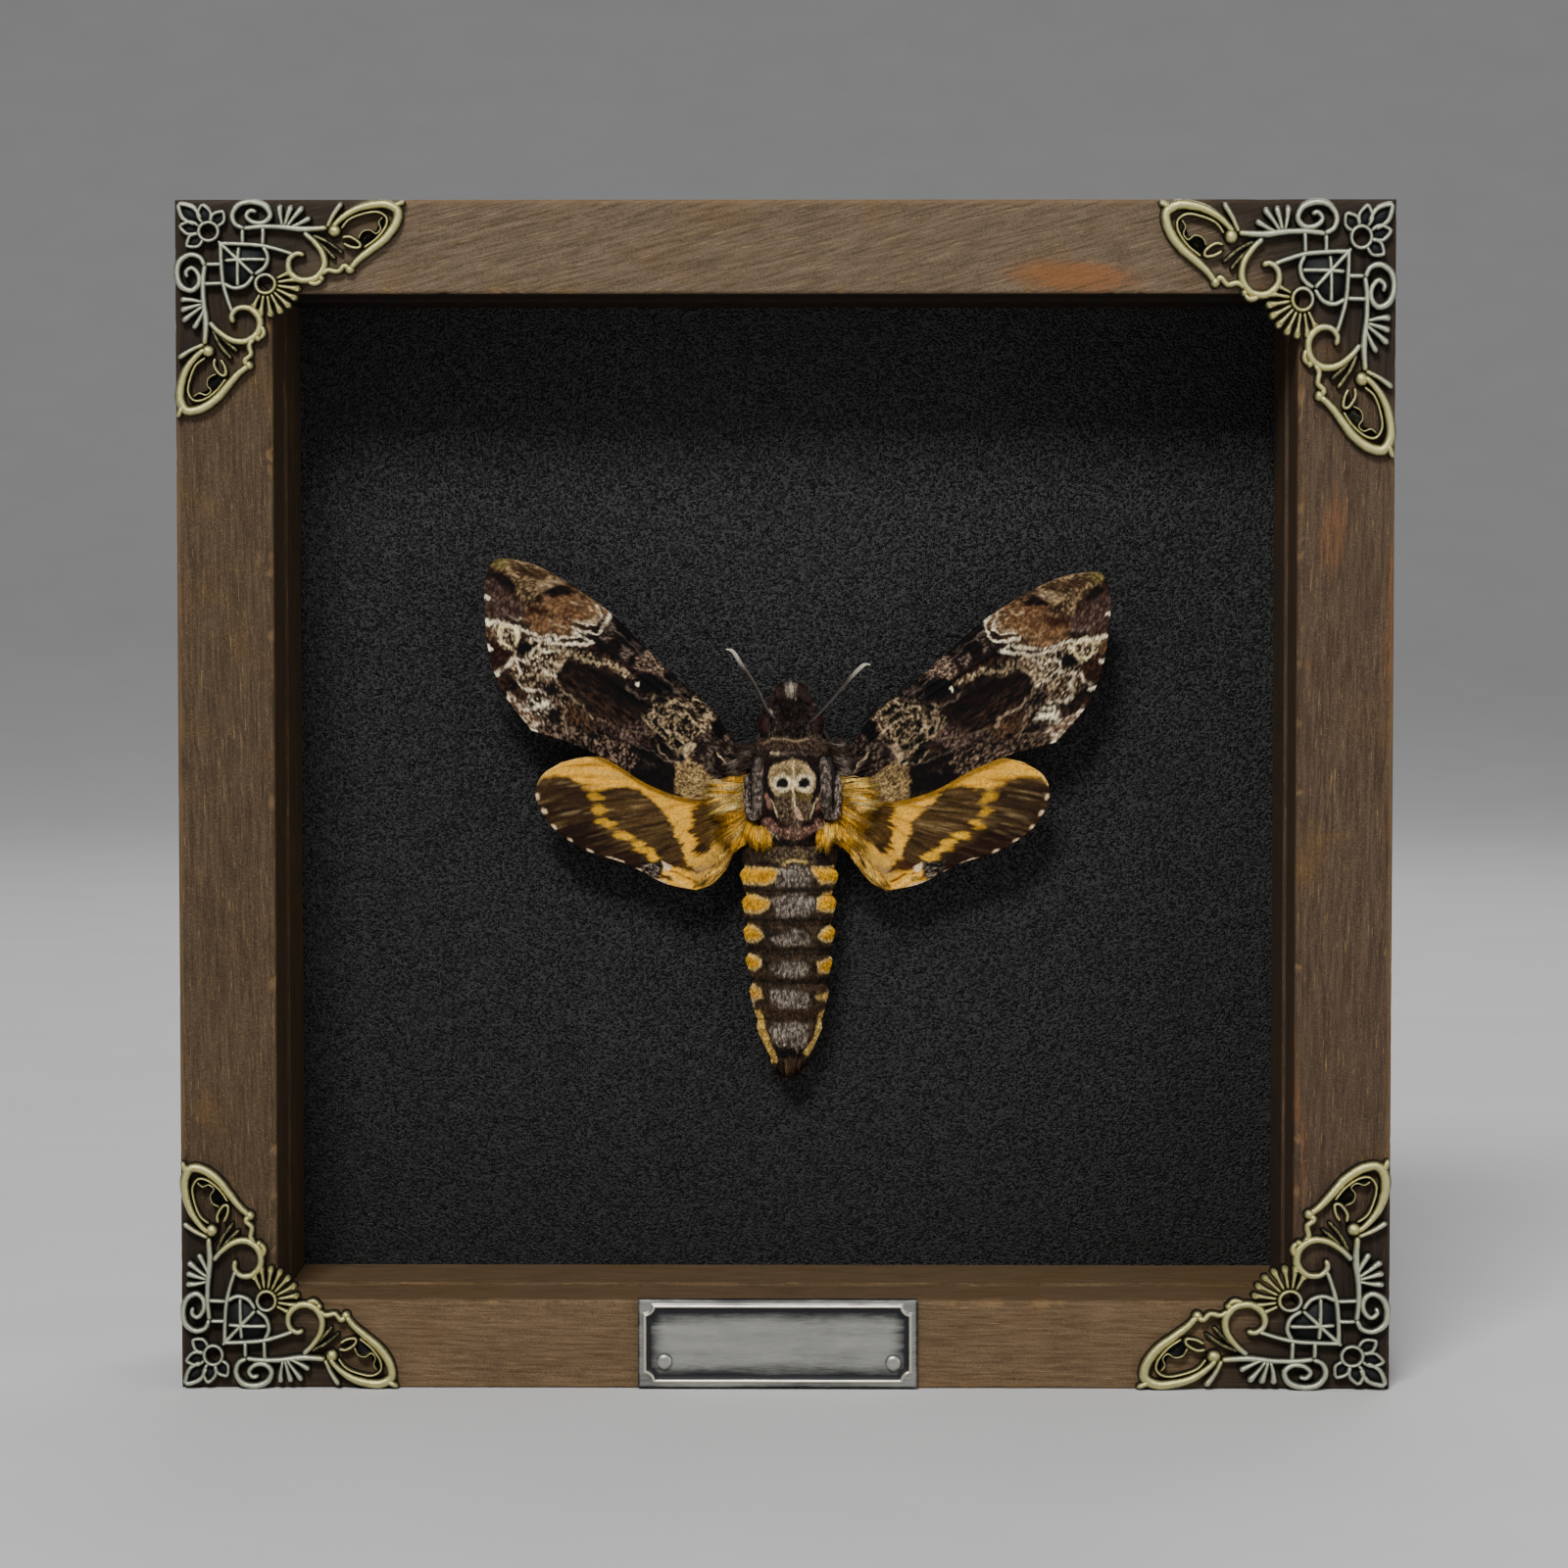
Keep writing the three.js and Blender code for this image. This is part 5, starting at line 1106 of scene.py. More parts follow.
def hindwing_markings(at, across, out, seed):
    """The hindwing's scales, by place out and forward from the thorax: yellow with two brown bands, all
    streaked from base to margin."""
    amber, gold, straw = tint(218, 168, 92), tint(190, 138, 66), tint(226, 192, 128)
    chalk, sepia = tint(216, 192, 160), tint(34, 23, 16)
    m = Markings(at, amber, seed, shake=0.35, size=1.6)
    streaks = layered(np.stack([out * 5, across * 46], -1), 1.0, seed + 3, 3)
    hairs = layered(np.stack([out * 9, across * 120], -1), 1.0, seed + 5, 3)
    plain, m.at = m.at, m.at + np.stack([1.1 * streaks + 0.7 * hairs, 0.3 * streaks + 0.2 * hairs], -1)
    m.lay(gold, ease(0.0, 0.7, streaks) * 0.8)
    m.lay(straw, ease(0.05, 0.6, -hairs) * 0.5)
    m.lay(tint(116, 70, 20), ease(0.25, 0.8, hairs) * 0.6)
    m.lay(tint(104, 68, 32), ease(0.0, 0.6, streaks) * 0.6 * ease(28, 36, at[:, 0]))
    dark = trace("24,-3 25.5,-1.1 28,-.4 35.2,-1.3 36.2,.2 38,1.2 41,1.3 43.6,.9 44.8,-2 42.4,-7.6 36.2,-12.6 "
        "28.6,-15.2 23,-17 21.8,-14.6 20,-14.4 18.2,-13.6 18.4,-12 19,-10 20.5,-7 22,-4.8")
    m.field(tint(72, 56, 38), dark, edge=0.35)
    m.field(tint(50, 37, 27), "33.8,-1 36.4,.2 43.6,.9 44.8,-2 42.4,-7.6 36.2,-12.6 31,-9.4 33.2,-6.4 34.2,-3.4",
        edge=0.7, strength=0.85)
    m.field(tint(34, 20, 14), "44,-5.8 42.4,-7.6 36.2,-13 28.6,-15.4 24.6,-16 24.8,-12.8 27.4,-10.8 30.2,-10 "
        "32.6,-7.9 37,-7", edge=0.8, strength=0.92)
    band = m.inside(dark)
    m.lay(tint(116, 98, 68), ease(0.1, 0.7, streaks) * 0.55 * band * ease(-14, -8, at[:, 1]))
    m.lay(sepia, ease(0.0, 0.6, -streaks) * 0.75 * band)
    m.lay(tint(136, 118, 90), ease(0.2, 0.7, hairs) * 0.5 * band * ease(-12, -5, at[:, 1]))
    m.lay(sepia, ease(0.15, 0.6, -hairs) * 0.6 * band)
    for x, y, wide, high, strength in trace("33,-2.3,1.3,.8,.7 32.9,-4.4,1.1,.75,.7 31.6,-6.8,1.3,.8,.85 "
            "28.7,-8.8,1.5,.72,.95 26.4,-10.1,1.1,.55,.95 25.2,-11.2,1.4,.5,.95 23.6,-12.4,1,.85,.95"):
        m.spot(tint(192, 150, 78) if y > -8 else tint(214, 168, 88), x, y, wide, high, 4, edge=0.3, strength=strength)
    basal = trace("11,-4.7 13,-4.2 15.8,-3.2 17.4,-4.2 16.7,-6.2 17.2,-8 16.2,-10 16.6,-12.4 14.4,-11.3 12.2,-9.4 "
        "10.6,-7.4")
    within = m.inside(basal, 0.4)
    m.lay(tint(50, 36, 25), within * 0.95)
    m.lay(tint(142, 120, 78), within * ease(0.0, 0.5, hairs) * 0.6 * ease(16.5, 12, at[:, 0]))
    m.spot(sepia, 15.4, -11.2, 1.5, 0.8, -40, strength=0.8)
    m.field(tint(176, 144, 88), "7,-6.5 10.8,-8.8 13,-11.2 16.8,-13.6 17.6,-15 15,-18.4 12,-16.4 8.4,-11", edge=0.6,
        strength=0.85)
    m.lay(tint(92, 68, 40), ease(0.0, 0.5, hairs) * 0.75 * ease(15, 9, at[:, 0] + 0.7 * at[:, 1] + 8))
    m.spot(tint(122, 100, 84), 15.0, -14.6, 2.1, 0.7, -8, strength=0.6)
    m.field(tint(52, 33, 22), "17.8,-12.8 20,-13.6 21.8,-13.2 20.8,-14.3 18,-14.9 16,-15.1 17,-14.3", edge=0.35,
        strength=0.95)
    m.at = plain
    m.line(amber, "16.6,-17.6 18.6,-16.3 21.2,-15.2", 1.5, edge=0.25, broken=0.1)
    m.line(straw, "17.2,-17.8 19.4,-16.6 21.4,-15.8", 0.5, edge=0.2, strength=0.8)
    m.line(tint(110, 70, 26), "16.6,-16.6 18.8,-15.6 21,-14.9", 0.4)
    m.line(sepia, "20.6,-16.2 22.4,-15.8 24.2,-15.4", 0.8, strength=0.9)
    m.field(chalk, "20.3,-14.2 21.9,-13.2 21.8,-14.7 20.8,-15", edge=0.15)
    speckled = trace("22.3,-13.3 25.6,-13.2 25.4,-15.2 23,-15.9 22.1,-14.8")
    m.mix(tint(12, 8, 7), tint(160, 146, 132), speckled, 0.45, 0.25)
    m.line(chalk, "19,-18 21.6,-17.1 24,-16.2", 0.6, edge=0.15, broken=0.2)
    for x, y, turn in trace("43.2,-2.2,70 42.2,-4.8,60 40.5,-7.3,40 37.9,-9.6,30 34.4,-11.4,15"):
        m.spot(chalk, x, y, 0.52, 0.33, turn, edge=0.12)
    m.line(chalk, "28.6,-13.4 31.4,-12.7", 0.42, edge=0.12, broken=0.2)
    m.line(chalk, "25.9,-14.9 28,-14.1", 0.42, edge=0.12, broken=0.2)
    m.line(straw, "30,4.3 34,4.7 38,4.1 41.5,2.5 43.4,.2", 0.6, edge=0.25, strength=0.8)
    m.colour *= np.exp(0.3 * hairs + 0.22 * m.grain(0.7))[:, None]
    return m.colour


def wing_sheet(edges, across, out):
    """Places of a sheet between four edges: the sum of the blends between front and rear and between root
    and outer edge, less the blend of the four corners."""
    front, rear = smooth_line(edges["front"], out), smooth_line(edges["rear"], out)
    outer = smooth_line(edges["outer"], across)
    a, o = across[:, None, None], out[None, :, None]
    root_front, root_rear = np.array(edges["front"][0]), np.array(edges["rear"][0])
    outer_front, outer_rear = np.array(edges["outer"][0]), np.array(edges["outer"][-1])
    lengthwise = front[None] * (1 - a) + rear[None] * a
    ends = (root_front * (1 - a) + root_rear * a) * (1 - o) + outer[:, None] * o
    corners = (root_front * (1 - a) + root_rear * a) * (1 - o) + (outer_front * (1 - a) + outer_rear * a) * o
    return lengthwise + ends - corners


def make_wing(name, edges, size, to_moth, height, paint, material, slot, seed):
    """A thin sheet with soft vein ridges and a slight ripple, thinning to its edge. Upper and lower side
    share one grid, and a rim joins them."""
    rows, columns = size
    across, out = np.linspace(0, 1, rows), np.linspace(0, 1, columns)
    flat = wing_sheet(edges, across, out)
    span = np.linalg.norm(smooth_line(edges["front"], out) - smooth_line(edges["rear"], out), axis=1) + 0.5
    spread = ease(0.25, 0.95, out)
    ridge = np.zeros((rows, columns))
    for root, outer in edges["veins"]:
        vein = root + (outer - root) * spread
        away = (across[:, None] - vein[None]) * span[None]
        ridge = np.maximum(ridge, np.exp(-(away / 0.26) ** 2))
    ridge = np.maximum(ridge, np.exp(-(across[:, None] * span[None] / 0.4) ** 2))
    ridge *= (1 - 0.5 * out)[None]
    rim = np.minimum(np.minimum(across, 1 - across)[:, None] * span[None], (1 - out)[None] * 45)
    moth_xy = to_moth(flat)
    ripple = 0.16 * layered(flat, 9.0, seed, 2) + 0.05 * layered(flat, 2.5, seed + 4, 2)
    middle = height + WING["rise"] * (np.abs(moth_xy[..., 0]) - WING["shoulder"][0]) + ripple
    thick = 0.12 + 0.08 * ease(0.0, 1.2, rim)
    upper = np.concatenate([moth_xy, (middle + thick + 0.24 * ridge)[..., None]], -1).reshape(-1, 3)
    lower = np.concatenate([moth_xy, (middle - thick - 0.05 * ridge)[..., None]], -1).reshape(-1, 3)
    ring = np.concatenate([np.arange(columns), np.arange(1, rows) * columns + columns - 1,
        (rows - 1) * columns + np.arange(columns - 2, -1, -1), np.arange(rows - 2, 0, -1) * columns])
    count = rows * columns
    wall = np.stack([ring, np.roll(ring, -1), np.roll(ring, -1) + count, ring + count], -1)
    faces = [grid_faces(rows, columns)[:, ::-1], grid_faces(rows, columns, start=count), wall]
    at = flat.reshape(-1, 2)
    a, o = np.repeat(across, columns), np.tile(out, rows)
    colour = paint(at, a, o, seed)
    underside = colour * 0.6 + tint(150, 112, 58) * 0.4
    veined = 1 - 0.22 * ridge.reshape(-1)
    top = colour * veined[:, None]
    return make_piece(name, from_moth(np.vstack([upper, lower])), faces, material, slot[0], slot[1],
        paint={"markings": np.vstack([top, underside])})


def make_wings():
    scales = scaled_wing("forewing_scales"), scaled_wing("hindwing_scales")
    for side, sign in (("left", -1), ("right", 1)):
        angle = math.radians(WING_TURN[side])
        shoulder_x, shoulder_y = WING["shoulder"]

        def from_shoulder(flat, sign=sign, angle=angle):
            along, forward = flat[..., 0], flat[..., 1]
            x = sign * (shoulder_x + along * math.cos(angle) - forward * math.sin(angle))
            return np.stack([x, shoulder_y + along * math.sin(angle) + forward * math.cos(angle)], -1)

        def outwards(flat, sign=sign):
            return flat * [sign, 1]

        make_wing(f"forewing_{side}_scaled", FORE, (112, 300), from_shoulder, WING["height"], forewing_markings,
            scales[0], ("forewing_scales", [f"forewing_{side}"]), 11 if sign < 0 else 12)
        make_wing(f"hindwing_{side}_scaled", HIND, (110, 220), outwards, WING["height"] - WING["stacking"],
            hindwing_markings, scales[1], ("hindwing_scales", [f"hindwing_{side}"]), 21 if sign < 0 else 22)


# The body. Rings run from the front of the head to the tail: place, half width, half height above and
# below the middle, and height of the middle.

BODY_RINGS = np.array(trace("16.5,.5,.5,.4,9.8 16,1.5,1.3,1.1,9.8 14.9,2.9,2.7,2.3,9.9 13.2,4.1,3.7,3.5,9.9 "
    "11.2,4.9,4.1,4.1,10 9.2,5,4.1,4.1,10 7.9,4.9,3.7,3.9,10 6.9,5.9,4.6,4.4,10.1 5.6,6.5,5.3,5,10.2 "
    "4.2,6.7,5.5,5.4,10.2 2.3,7,6.2,5.9,10.2 -1,7,6.5,6.1,10.2 -4.5,6.9,6.1,6.1,10.2 -7.5,6.6,5.2,5.8,9.9 "
    "-9.4,6.5,4.6,5.5,9.4 -10.4,7.6,5.2,5.6,8.7 -12,8.3,5.8,5.8,8.55 -14,8.5,5.9,5.9,8.5 -18.6,8.1,5.9,5.9,8.4 "
    "-23.8,7.9,5.8,5.8,8.3 -28.7,7.6,5.6,5.6,8.1 -33.7,7,5.3,5.3,7.8 -39.9,6.3,4.8,4.8,7.3 -44,4.9,3.8,3.8,6.9 "
    "-47.3,3.4,2.7,2.7,6.5 -49.6,2,1.6,1.6,6.3 -50.6,.7,.6,.6,6.2"))
NOSE, TAIL = 16.5, -50.6
JOINTS = [-10.0, -14.0, -18.6, -23.8, -28.7, -33.7, -39.9, -47.3]


def body_surface(y, angle, lift=0.0):
    """Places of the skin at y and an angle round the body, 0 on top and growing to the moth's right: an
    oval whose half widths run smoothly between the rings, drawn in at each joint of the abdomen."""
    rings = BODY_RINGS[np.argsort(BODY_RINGS[:, 0])]
    grid = np.arange(TAIL, NOSE + 0.01, 0.1)
    kernel = np.exp(-(np.arange(-9, 10) / 4.0) ** 2)
    kernel /= kernel.sum()

    def smooth(column):
        values = np.interp(grid, rings[:, 0], rings[:, column])
        padded = np.concatenate([np.full(9, values[0]), values, np.full(9, values[-1])])
        return np.interp(y, grid, np.convolve(padded, kernel, "valid"))

    wide, up, down, middle = smooth(1), smooth(2), smooth(3), smooth(4)
    swell = np.ones_like(y)
    shaken = y + 0.25 * layered(np.stack([np.sin(angle) * 6 + 0 * y, y * 0.3], -1), 1.6, 33, 2)
    for front, rear in zip(JOINTS[:-1], JOINTS[1:]):
        t = (front - shaken) / (front - rear)
        shape = 0.895 + 0.115 * ease(0, 0.3, t) - 0.03 * ease(0.35, 0.7, t) - 0.05 * ease(0.72, 1.0, t)
        swell = np.where((t >= 0) & (t < 1), shape, swell)
    centre_x = BODY_X + (ABDOMEN_X - BODY_X) * ease(-8, -11, y)
    vertical = np.where(np.cos(angle) > 0, up, down)
    inset = COAT - lift
    x = centre_x + (wide * swell - inset) * np.sin(angle)
    z = middle + (vertical * swell - inset) * np.cos(angle)
    return np.stack([x, y, z], -1)


COAT = 0.35  # how deep the coat is: the skin lies this far inside the solids


def body_markings(x, y, turn, seed):
    """The body's fur by place seen from above and by angle round it, from 0 on top to pi beneath."""
    at = np.stack([x, y], -1)
    m = Markings(at, tint(52, 38, 31), seed, shake=0.15, size=0.8)
    soot, wine, bark, clay = tint(16, 11, 9), tint(40, 18, 15), tint(44, 32, 26), tint(70, 54, 45)
    ash, bone, ivory = tint(150, 138, 128), tint(196, 178, 146), tint(240, 224, 188)
    rose, olive = tint(166, 130, 114), tint(118, 102, 72)
    short = (1.3, 0.6)
    # head and collar
    m.mix(tint(32, 22, 20), tint(112, 98, 92), "-8,7.4 8,7.4 8,18 -8,18", 0.6, 0.12)
    m.mix(tint(24, 16, 12), tint(62, 48, 38), "-2.5,10.6 2.8,10.6 2.8,14.6 1.4,15.4 -1.6,15.4 -2.7,14", 0.5, 0.15,
        edge=0.8)
    m.mix(soot, bark, "-2.4,10.2 2.6,10.2 2,8.2 -2,8.2", 0.4, 0.05, edge=0.5, strength=0.6)
    m.mix(tint(54, 41, 34), tint(132, 112, 98), "-7.5,7.5 7.5,7.5 7.8,4.4 -7.8,4.4", 0.42, 0.08)
    m.mix(soot, clay, "-6.4,5 6.4,5 6.6,6 -6.6,6", 0.5, 0.1, strength=0.6)
    m.line(bone, "-3.8,7.75 -1.4,7.65 .6,7.35 2.6,7.65 3.9,8.4", 0.26, broken=0.25)
    m.line(ivory, "-3.7,5.4 -2.5,5.25", 0.42, broken=0.0)
    m.line(ash, "-2.2,5.2 0,5.45 1.6,5.4", 0.24, strength=0.8)
    m.line(soot, "-6,4.6 -3,4.5 0,4.75 3,4.6 6,4.7", 0.5, broken=0.2)
    # thorax: dark ground, then the skull with its sockets, brow, cheeks and nose
    m.mix(wine, clay, "-8,4.4 8,4.4 8,-7 3,-10 -3,-10 -8,-7", 0.5, 0.25)
    m.field(tint(26, 13, 11), "-4.9,0 -4.6,2.2 -3.7,3.8 -2,4.5 0,4.75 2.4,4.4 4,3.2 4.7,1.2 4.8,-3 3.4,-6 -3,-6 "
        "-4.6,-3", edge=0.25)
    skull = trace("-3.9,0 -4,1.6 -3.7,2.7 -3,3.4 -1.6,3.95 .1,4.3 1.6,4 2.6,3.3 3.5,2.1 4,.8 3.8,-.6 3.4,-1.3 "
        "2.7,-1.9 1.6,-1.6 .7,-.9 -.3,-.9 -1.2,-1.6 -2.3,-2 -3.2,-1.4")
    m.mix(tint(176, 156, 120), tint(222, 202, 164), skull, 0.6, 0.0, edge=0.2)
    m.mix(olive, bone, "-2.9,1.9 -2.4,2.9 -.9,3.4 -.1,3 -.3,1.8 -1,1.7 -1.9,2.2", 0.5, 0.15, edge=0.4, strength=0.95)
    m.mix(olive, bone, ".45,3.3 1.5,3.1 2.4,2.2 1.4,1.8 .5,1.3", 0.5, 0.15, edge=0.35, strength=0.9)
    m.spot(tint(176, 130, 78), -2.7, 1.75, 0.34, 0.28, strength=0.8)
    m.line(bone, "2.2,3.2 3.2,1.8 3.7,.6", 0.2, strength=0.7)
    face = trace("-3,-1.9 -1.2,-1.6 .2,-.7 1.4,-1.5 3.2,-1.8 3.3,-4 2.8,-6 .6,-7.2 -2,-6.4 -2.7,-4")
    m.mix(tint(66, 50, 40), tint(152, 136, 114), face, 0.4, 0.0, edge=0.3)
    m.mix(tint(94, 78, 48), tint(146, 128, 88), ".5,-.9 1.6,-1.2 2.9,-1.4 3.6,-2 2.6,-2.9 1.2,-2.4 .5,-2.2", 0.4,
        0.05, edge=0.25)
    m.mix(tint(94, 78, 48), tint(146, 128, 88), "-2,-1.3 -.2,-.9 -.2,-2.3 -1.4,-2.2", 0.4, 0.05, edge=0.25,
        strength=0.8)
    m.line(ivory, ".15,4.1 .2,2 .2,-1 .35,-3 .6,-4.2", 0.34, edge=0.12, broken=0.1)
    for centre, wide in ((-1.7, 1.55), (2.0, 1.5)):
        m.spot(tint(250, 238, 208), centre, 0.35, wide, 1.5, edge=0.2, strength=0.95)
        m.field(soot, [(centre - 0.95, -0.35), (centre - 0.95, 0.6), (centre - 0.4, 1.2), (centre + 0.35, 1.25),
            (centre + 0.9, 0.7), (centre + 0.98, -0.2), (centre + 0.2, -0.42)], edge=0.16)
    m.field(tint(226, 194, 172), "0,-3.8 .9,-3.8 1.4,-4.9 2,-6.1 1.1,-5.8 .4,-4.9", edge=0.2)
    for sign, shift in ((-1, 0.0), (1, 0.5)):
        def flip(points, sign=sign, shift=shift):
            return [(sign * (px + (shift if sign > 0 else 0)), py) for px, py in trace(points)]

        m.line(rose, flip("4.3,-1.8 4,-3 3.8,-4.1"), 0.75, strength=0.85, broken=0.2)
        m.line(ivory, flip("3.6,-2.4 3,-3.8 2.5,-5.5"), 0.26, strength=0.9, broken=0.2)
        m.field(wine, flip("4.9,-4.2 3.6,-4.1 2.9,-5.4 4.5,-5.7"), edge=0.25)
        m.mix(tint(104, 76, 66), tint(196, 160, 144), flip("5.4,-5.9 3.6,-5.7 2.3,-6.8 2.6,-8.2 4.6,-7.4"), 0.4, 0.0,
            edge=0.3)
    m.mix(tint(100, 76, 66), tint(190, 156, 140), "-3.6,-7.6 -1.8,-7.3 .4,-7.2 2.4,-7.2 3.8,-7.2 2.6,-8.7 .4,-9.4 "
        "-2,-9", 0.4, 0.0, edge=0.3)
    m.field(wine, "1.9,-6.1 3.5,-6.1 3.9,-6.6 2.6,-7.1 1.8,-6.8", edge=0.2)
    m.field(tint(54, 32, 25), "-2.3,-5.9 -1.1,-6 -.9,-7.1 -1.8,-7.5", edge=0.25, strength=0.9)
    m.mix(clay, tint(172, 150, 132), "-.6,-6.2 1.4,-6.1 1.6,-7.5 -.4,-7.6", 0.4, 0.0, edge=0.3)
    m.line(tint(212, 200, 184), "-4.2,-7.9 -3.2,-8.5 -2.4,-9.1", 0.35, broken=0.2)
    m.spot(ivory, 4.65, -7.35, 0.33, 0.33, strength=0.95)
    m.line(soot, "-5.8,-7.4 -3.9,-9.1 -1.4,-10 1.4,-10 4,-9.1 6.4,-7", 0.8, broken=0.1)
    side = ease(1.15, 1.5, turn) * ease(5, 3, y) * ease(-11, -9, y)
    m.lay(tint(132, 98, 54), side * 0.6)
    m.lay(tint(84, 60, 42), ease(2.0, 2.5, turn) * ease(6, 3, y) * ease(-11, -9, y) * 0.8)
    # abdomen: brown, with a silver middle and a yellow patch on each side of each segment
    rear = ease(-9.8, -10.4, y)
    pick = ease(-0.1, 0.6, m.grain(0.5, short))[:, None]
    m.lay(tint(66, 53, 40), rear)
    m.lay(tint(42, 32, 23), rear * ease(-0.3, 0.3, m.grain(1.2)))
    m.lay(tint(112, 92, 70), rear * 0.5 * pick[:, 0])
    yellow, ochre, cream = tint(238, 186, 94), tint(210, 150, 62), tint(236, 208, 150)
    patches = [
        (trace("-12,-13.7 -6.5,-14.1 -3.7,-13.9 -2.3,-14.6 -2.6,-15.9 -4.2,-17.1 -12,-17.2"), 1.0),
        (trace("12,-13.7 5.5,-14.1 3.1,-13.8 3.5,-15.4 4.6,-16.9 12,-17.1"), 1.0),
        (trace("-12,-18.3 -6.3,-18.8 -3.7,-19.7 -4,-21 -5.6,-21.9 -12,-22.1"), 1.0),
        (trace("12,-18.2 5.6,-18.5 4.2,-19.4 4,-21.2 5.2,-21.8 12,-22"), 1.0),
        (trace("-12,-23.4 -7.2,-23.9 -5.6,-24.6 -4.8,-25.9 -5.8,-26.8 -12,-27.2"), 1.0),
        (trace("12,-23.7 6.6,-24.1 5,-24.9 4.2,-25.9 5.4,-26.9 12,-27.2"), 1.0),
        (trace("-12,-28.7 -7,-29.1 -5.2,-29.9 -5.3,-31.1 -6.6,-31.8 -12,-31.2"), 1.0),
        (trace("12,-29.2 6.2,-29.7 4.2,-30.5 4.4,-32 6,-32.4 12,-32.4"), 0.9),
        (trace("-12,-34.3 -6.4,-34.4 -5.2,-35 -5.1,-36.4 -6.6,-37.3 -12,-37.4"), 0.7),
        (trace("12,-35.2 5.6,-35.7 3.8,-36 4.2,-36.8 5.6,-37 12,-37"), 0.6),
    ]
    for outline, strength in patches:
        depth = outline_depth(m.at, outline)
        m.lay(cream, strength * ease(-0.2, 0.12, depth))
        m.lay(yellow, ease(0.1, 0.65, depth) * (1.0 if strength > 0.8 else 0.55))
        m.lay(ochre, 0.7 * ease(0.5, 1.2, depth) * ease(0.0, 0.6, m.grain(0.6, short)))
    silvers = [
        (trace("-2.2,-14 -.6,-13.6 2.6,-13.8 3.4,-15.6 2.8,-17.4 -2.8,-17.4 -2.8,-16.2"), -0.05),
        (trace("-3.4,-19.4 -1,-18.6 1.8,-18.4 3.6,-19.4 3.7,-21.4 2.4,-22.4 -2.6,-22.6"), -0.1),
        (trace("-3.9,-26.2 -1.6,-25.4 .2,-24.5 2.4,-25.2 3.2,-26.4 2.6,-27.3 -2.8,-27.3"), -0.1),
        (trace("-3.9,-31 -2,-30.2 .2,-29.9 2.6,-30.6 3,-32 .8,-33 -2.8,-32.6"), -0.15),
        (trace("-4,-35.2 -1,-34.9 2.6,-35.6 3.1,-37 2.2,-38.2 -2.4,-38 -3.6,-36.8"), -0.15),
        (trace("-4,-42 -3,-40.9 .4,-40.6 2.6,-41.2 3,-43 1.8,-45.2 -1.2,-45.2 -3.4,-44.2"), -0.1),
    ]
    for outline, share in silvers:
        m.mix(tint(78, 68, 60), tint(186, 176, 164), outline, 0.5, share + 0.12, edge=0.35, stretch=short)
        # painted sheen: the silver patches lighten towards their middles
        depth = outline_depth(m.at, outline)
        m.lay(tint(206, 200, 190), 0.35 * ease(0.3, 1.6, depth) * ease(-0.2, 0.5, m.grain(0.35, short)))
    m.mix(bark, tint(138, 120, 96), "-3.6,-10.6 3.6,-10.6 4.6,-12.4 2.8,-13.4 -3,-13.4 -5,-12", 0.45, 0.0, edge=0.4)
    m.line(tint(226, 200, 140), "-1.6,-13.6 -.6,-13 .6,-12.9 2.2,-13.2", 0.5, broken=0.25)
    m.field(wine, "-6.2,-13.2 -4.6,-13.1 -3.3,-13.9 -5.8,-14.1", edge=0.25)
    m.mix(soot, wine, "3.6,-11.8 5.6,-11.7 6.6,-13.3 4.4,-13.9", 0.5, 0.1, edge=0.35)
    for y_joint in (-17.9, -23.0, -28.0, -33.4, -39.6):
        m.line(tint(30, 21, 15), [(-9, y_joint), (-3, y_joint - 0.1), (3, y_joint), (9, y_joint + 0.1)], 0.7,
            edge=0.4, strength=0.75, broken=0.6)
    m.mix(tint(58, 44, 33), tint(92, 74, 52), "-5,-38.3 5,-38.3 4.6,-40.2 -4.6,-40.2", 0.45, 0.1)
    m.mix(soot, clay, "-4.2,-45 4.2,-45 3.4,-51 -3.4,-51", 0.5, 0.3, edge=0.5)
    m.line(tint(236, 202, 132), "-5.9,-39.6 -5.5,-41.6 -4.7,-44.2 -3.3,-47.3", 1.75, edge=0.2, broken=0.1)
    m.line(tint(236, 206, 140), "5.1,-39.6 4.8,-41.6 4.1,-43.8 2.7,-46", 1.6, edge=0.2, broken=0.1)
    m.line(ivory, "-6.7,-36.6 -6.6,-38", 0.45, strength=0.8)
    m.line(ivory, "5.5,-36.8 5.9,-38", 0.45, strength=0.8)
    m.line(ash, ".3,-44.4 .8,-45.8", 0.35, strength=0.8)
    m.lay(tint(136, 108, 60), ease(2.1, 2.5, turn) * ease(-10, -12, y) * ease(-46, -43, y) * 0.6)
    m.colour *= np.exp(0.28 * m.grain(0.5, short))[:, None]
    return m.colour


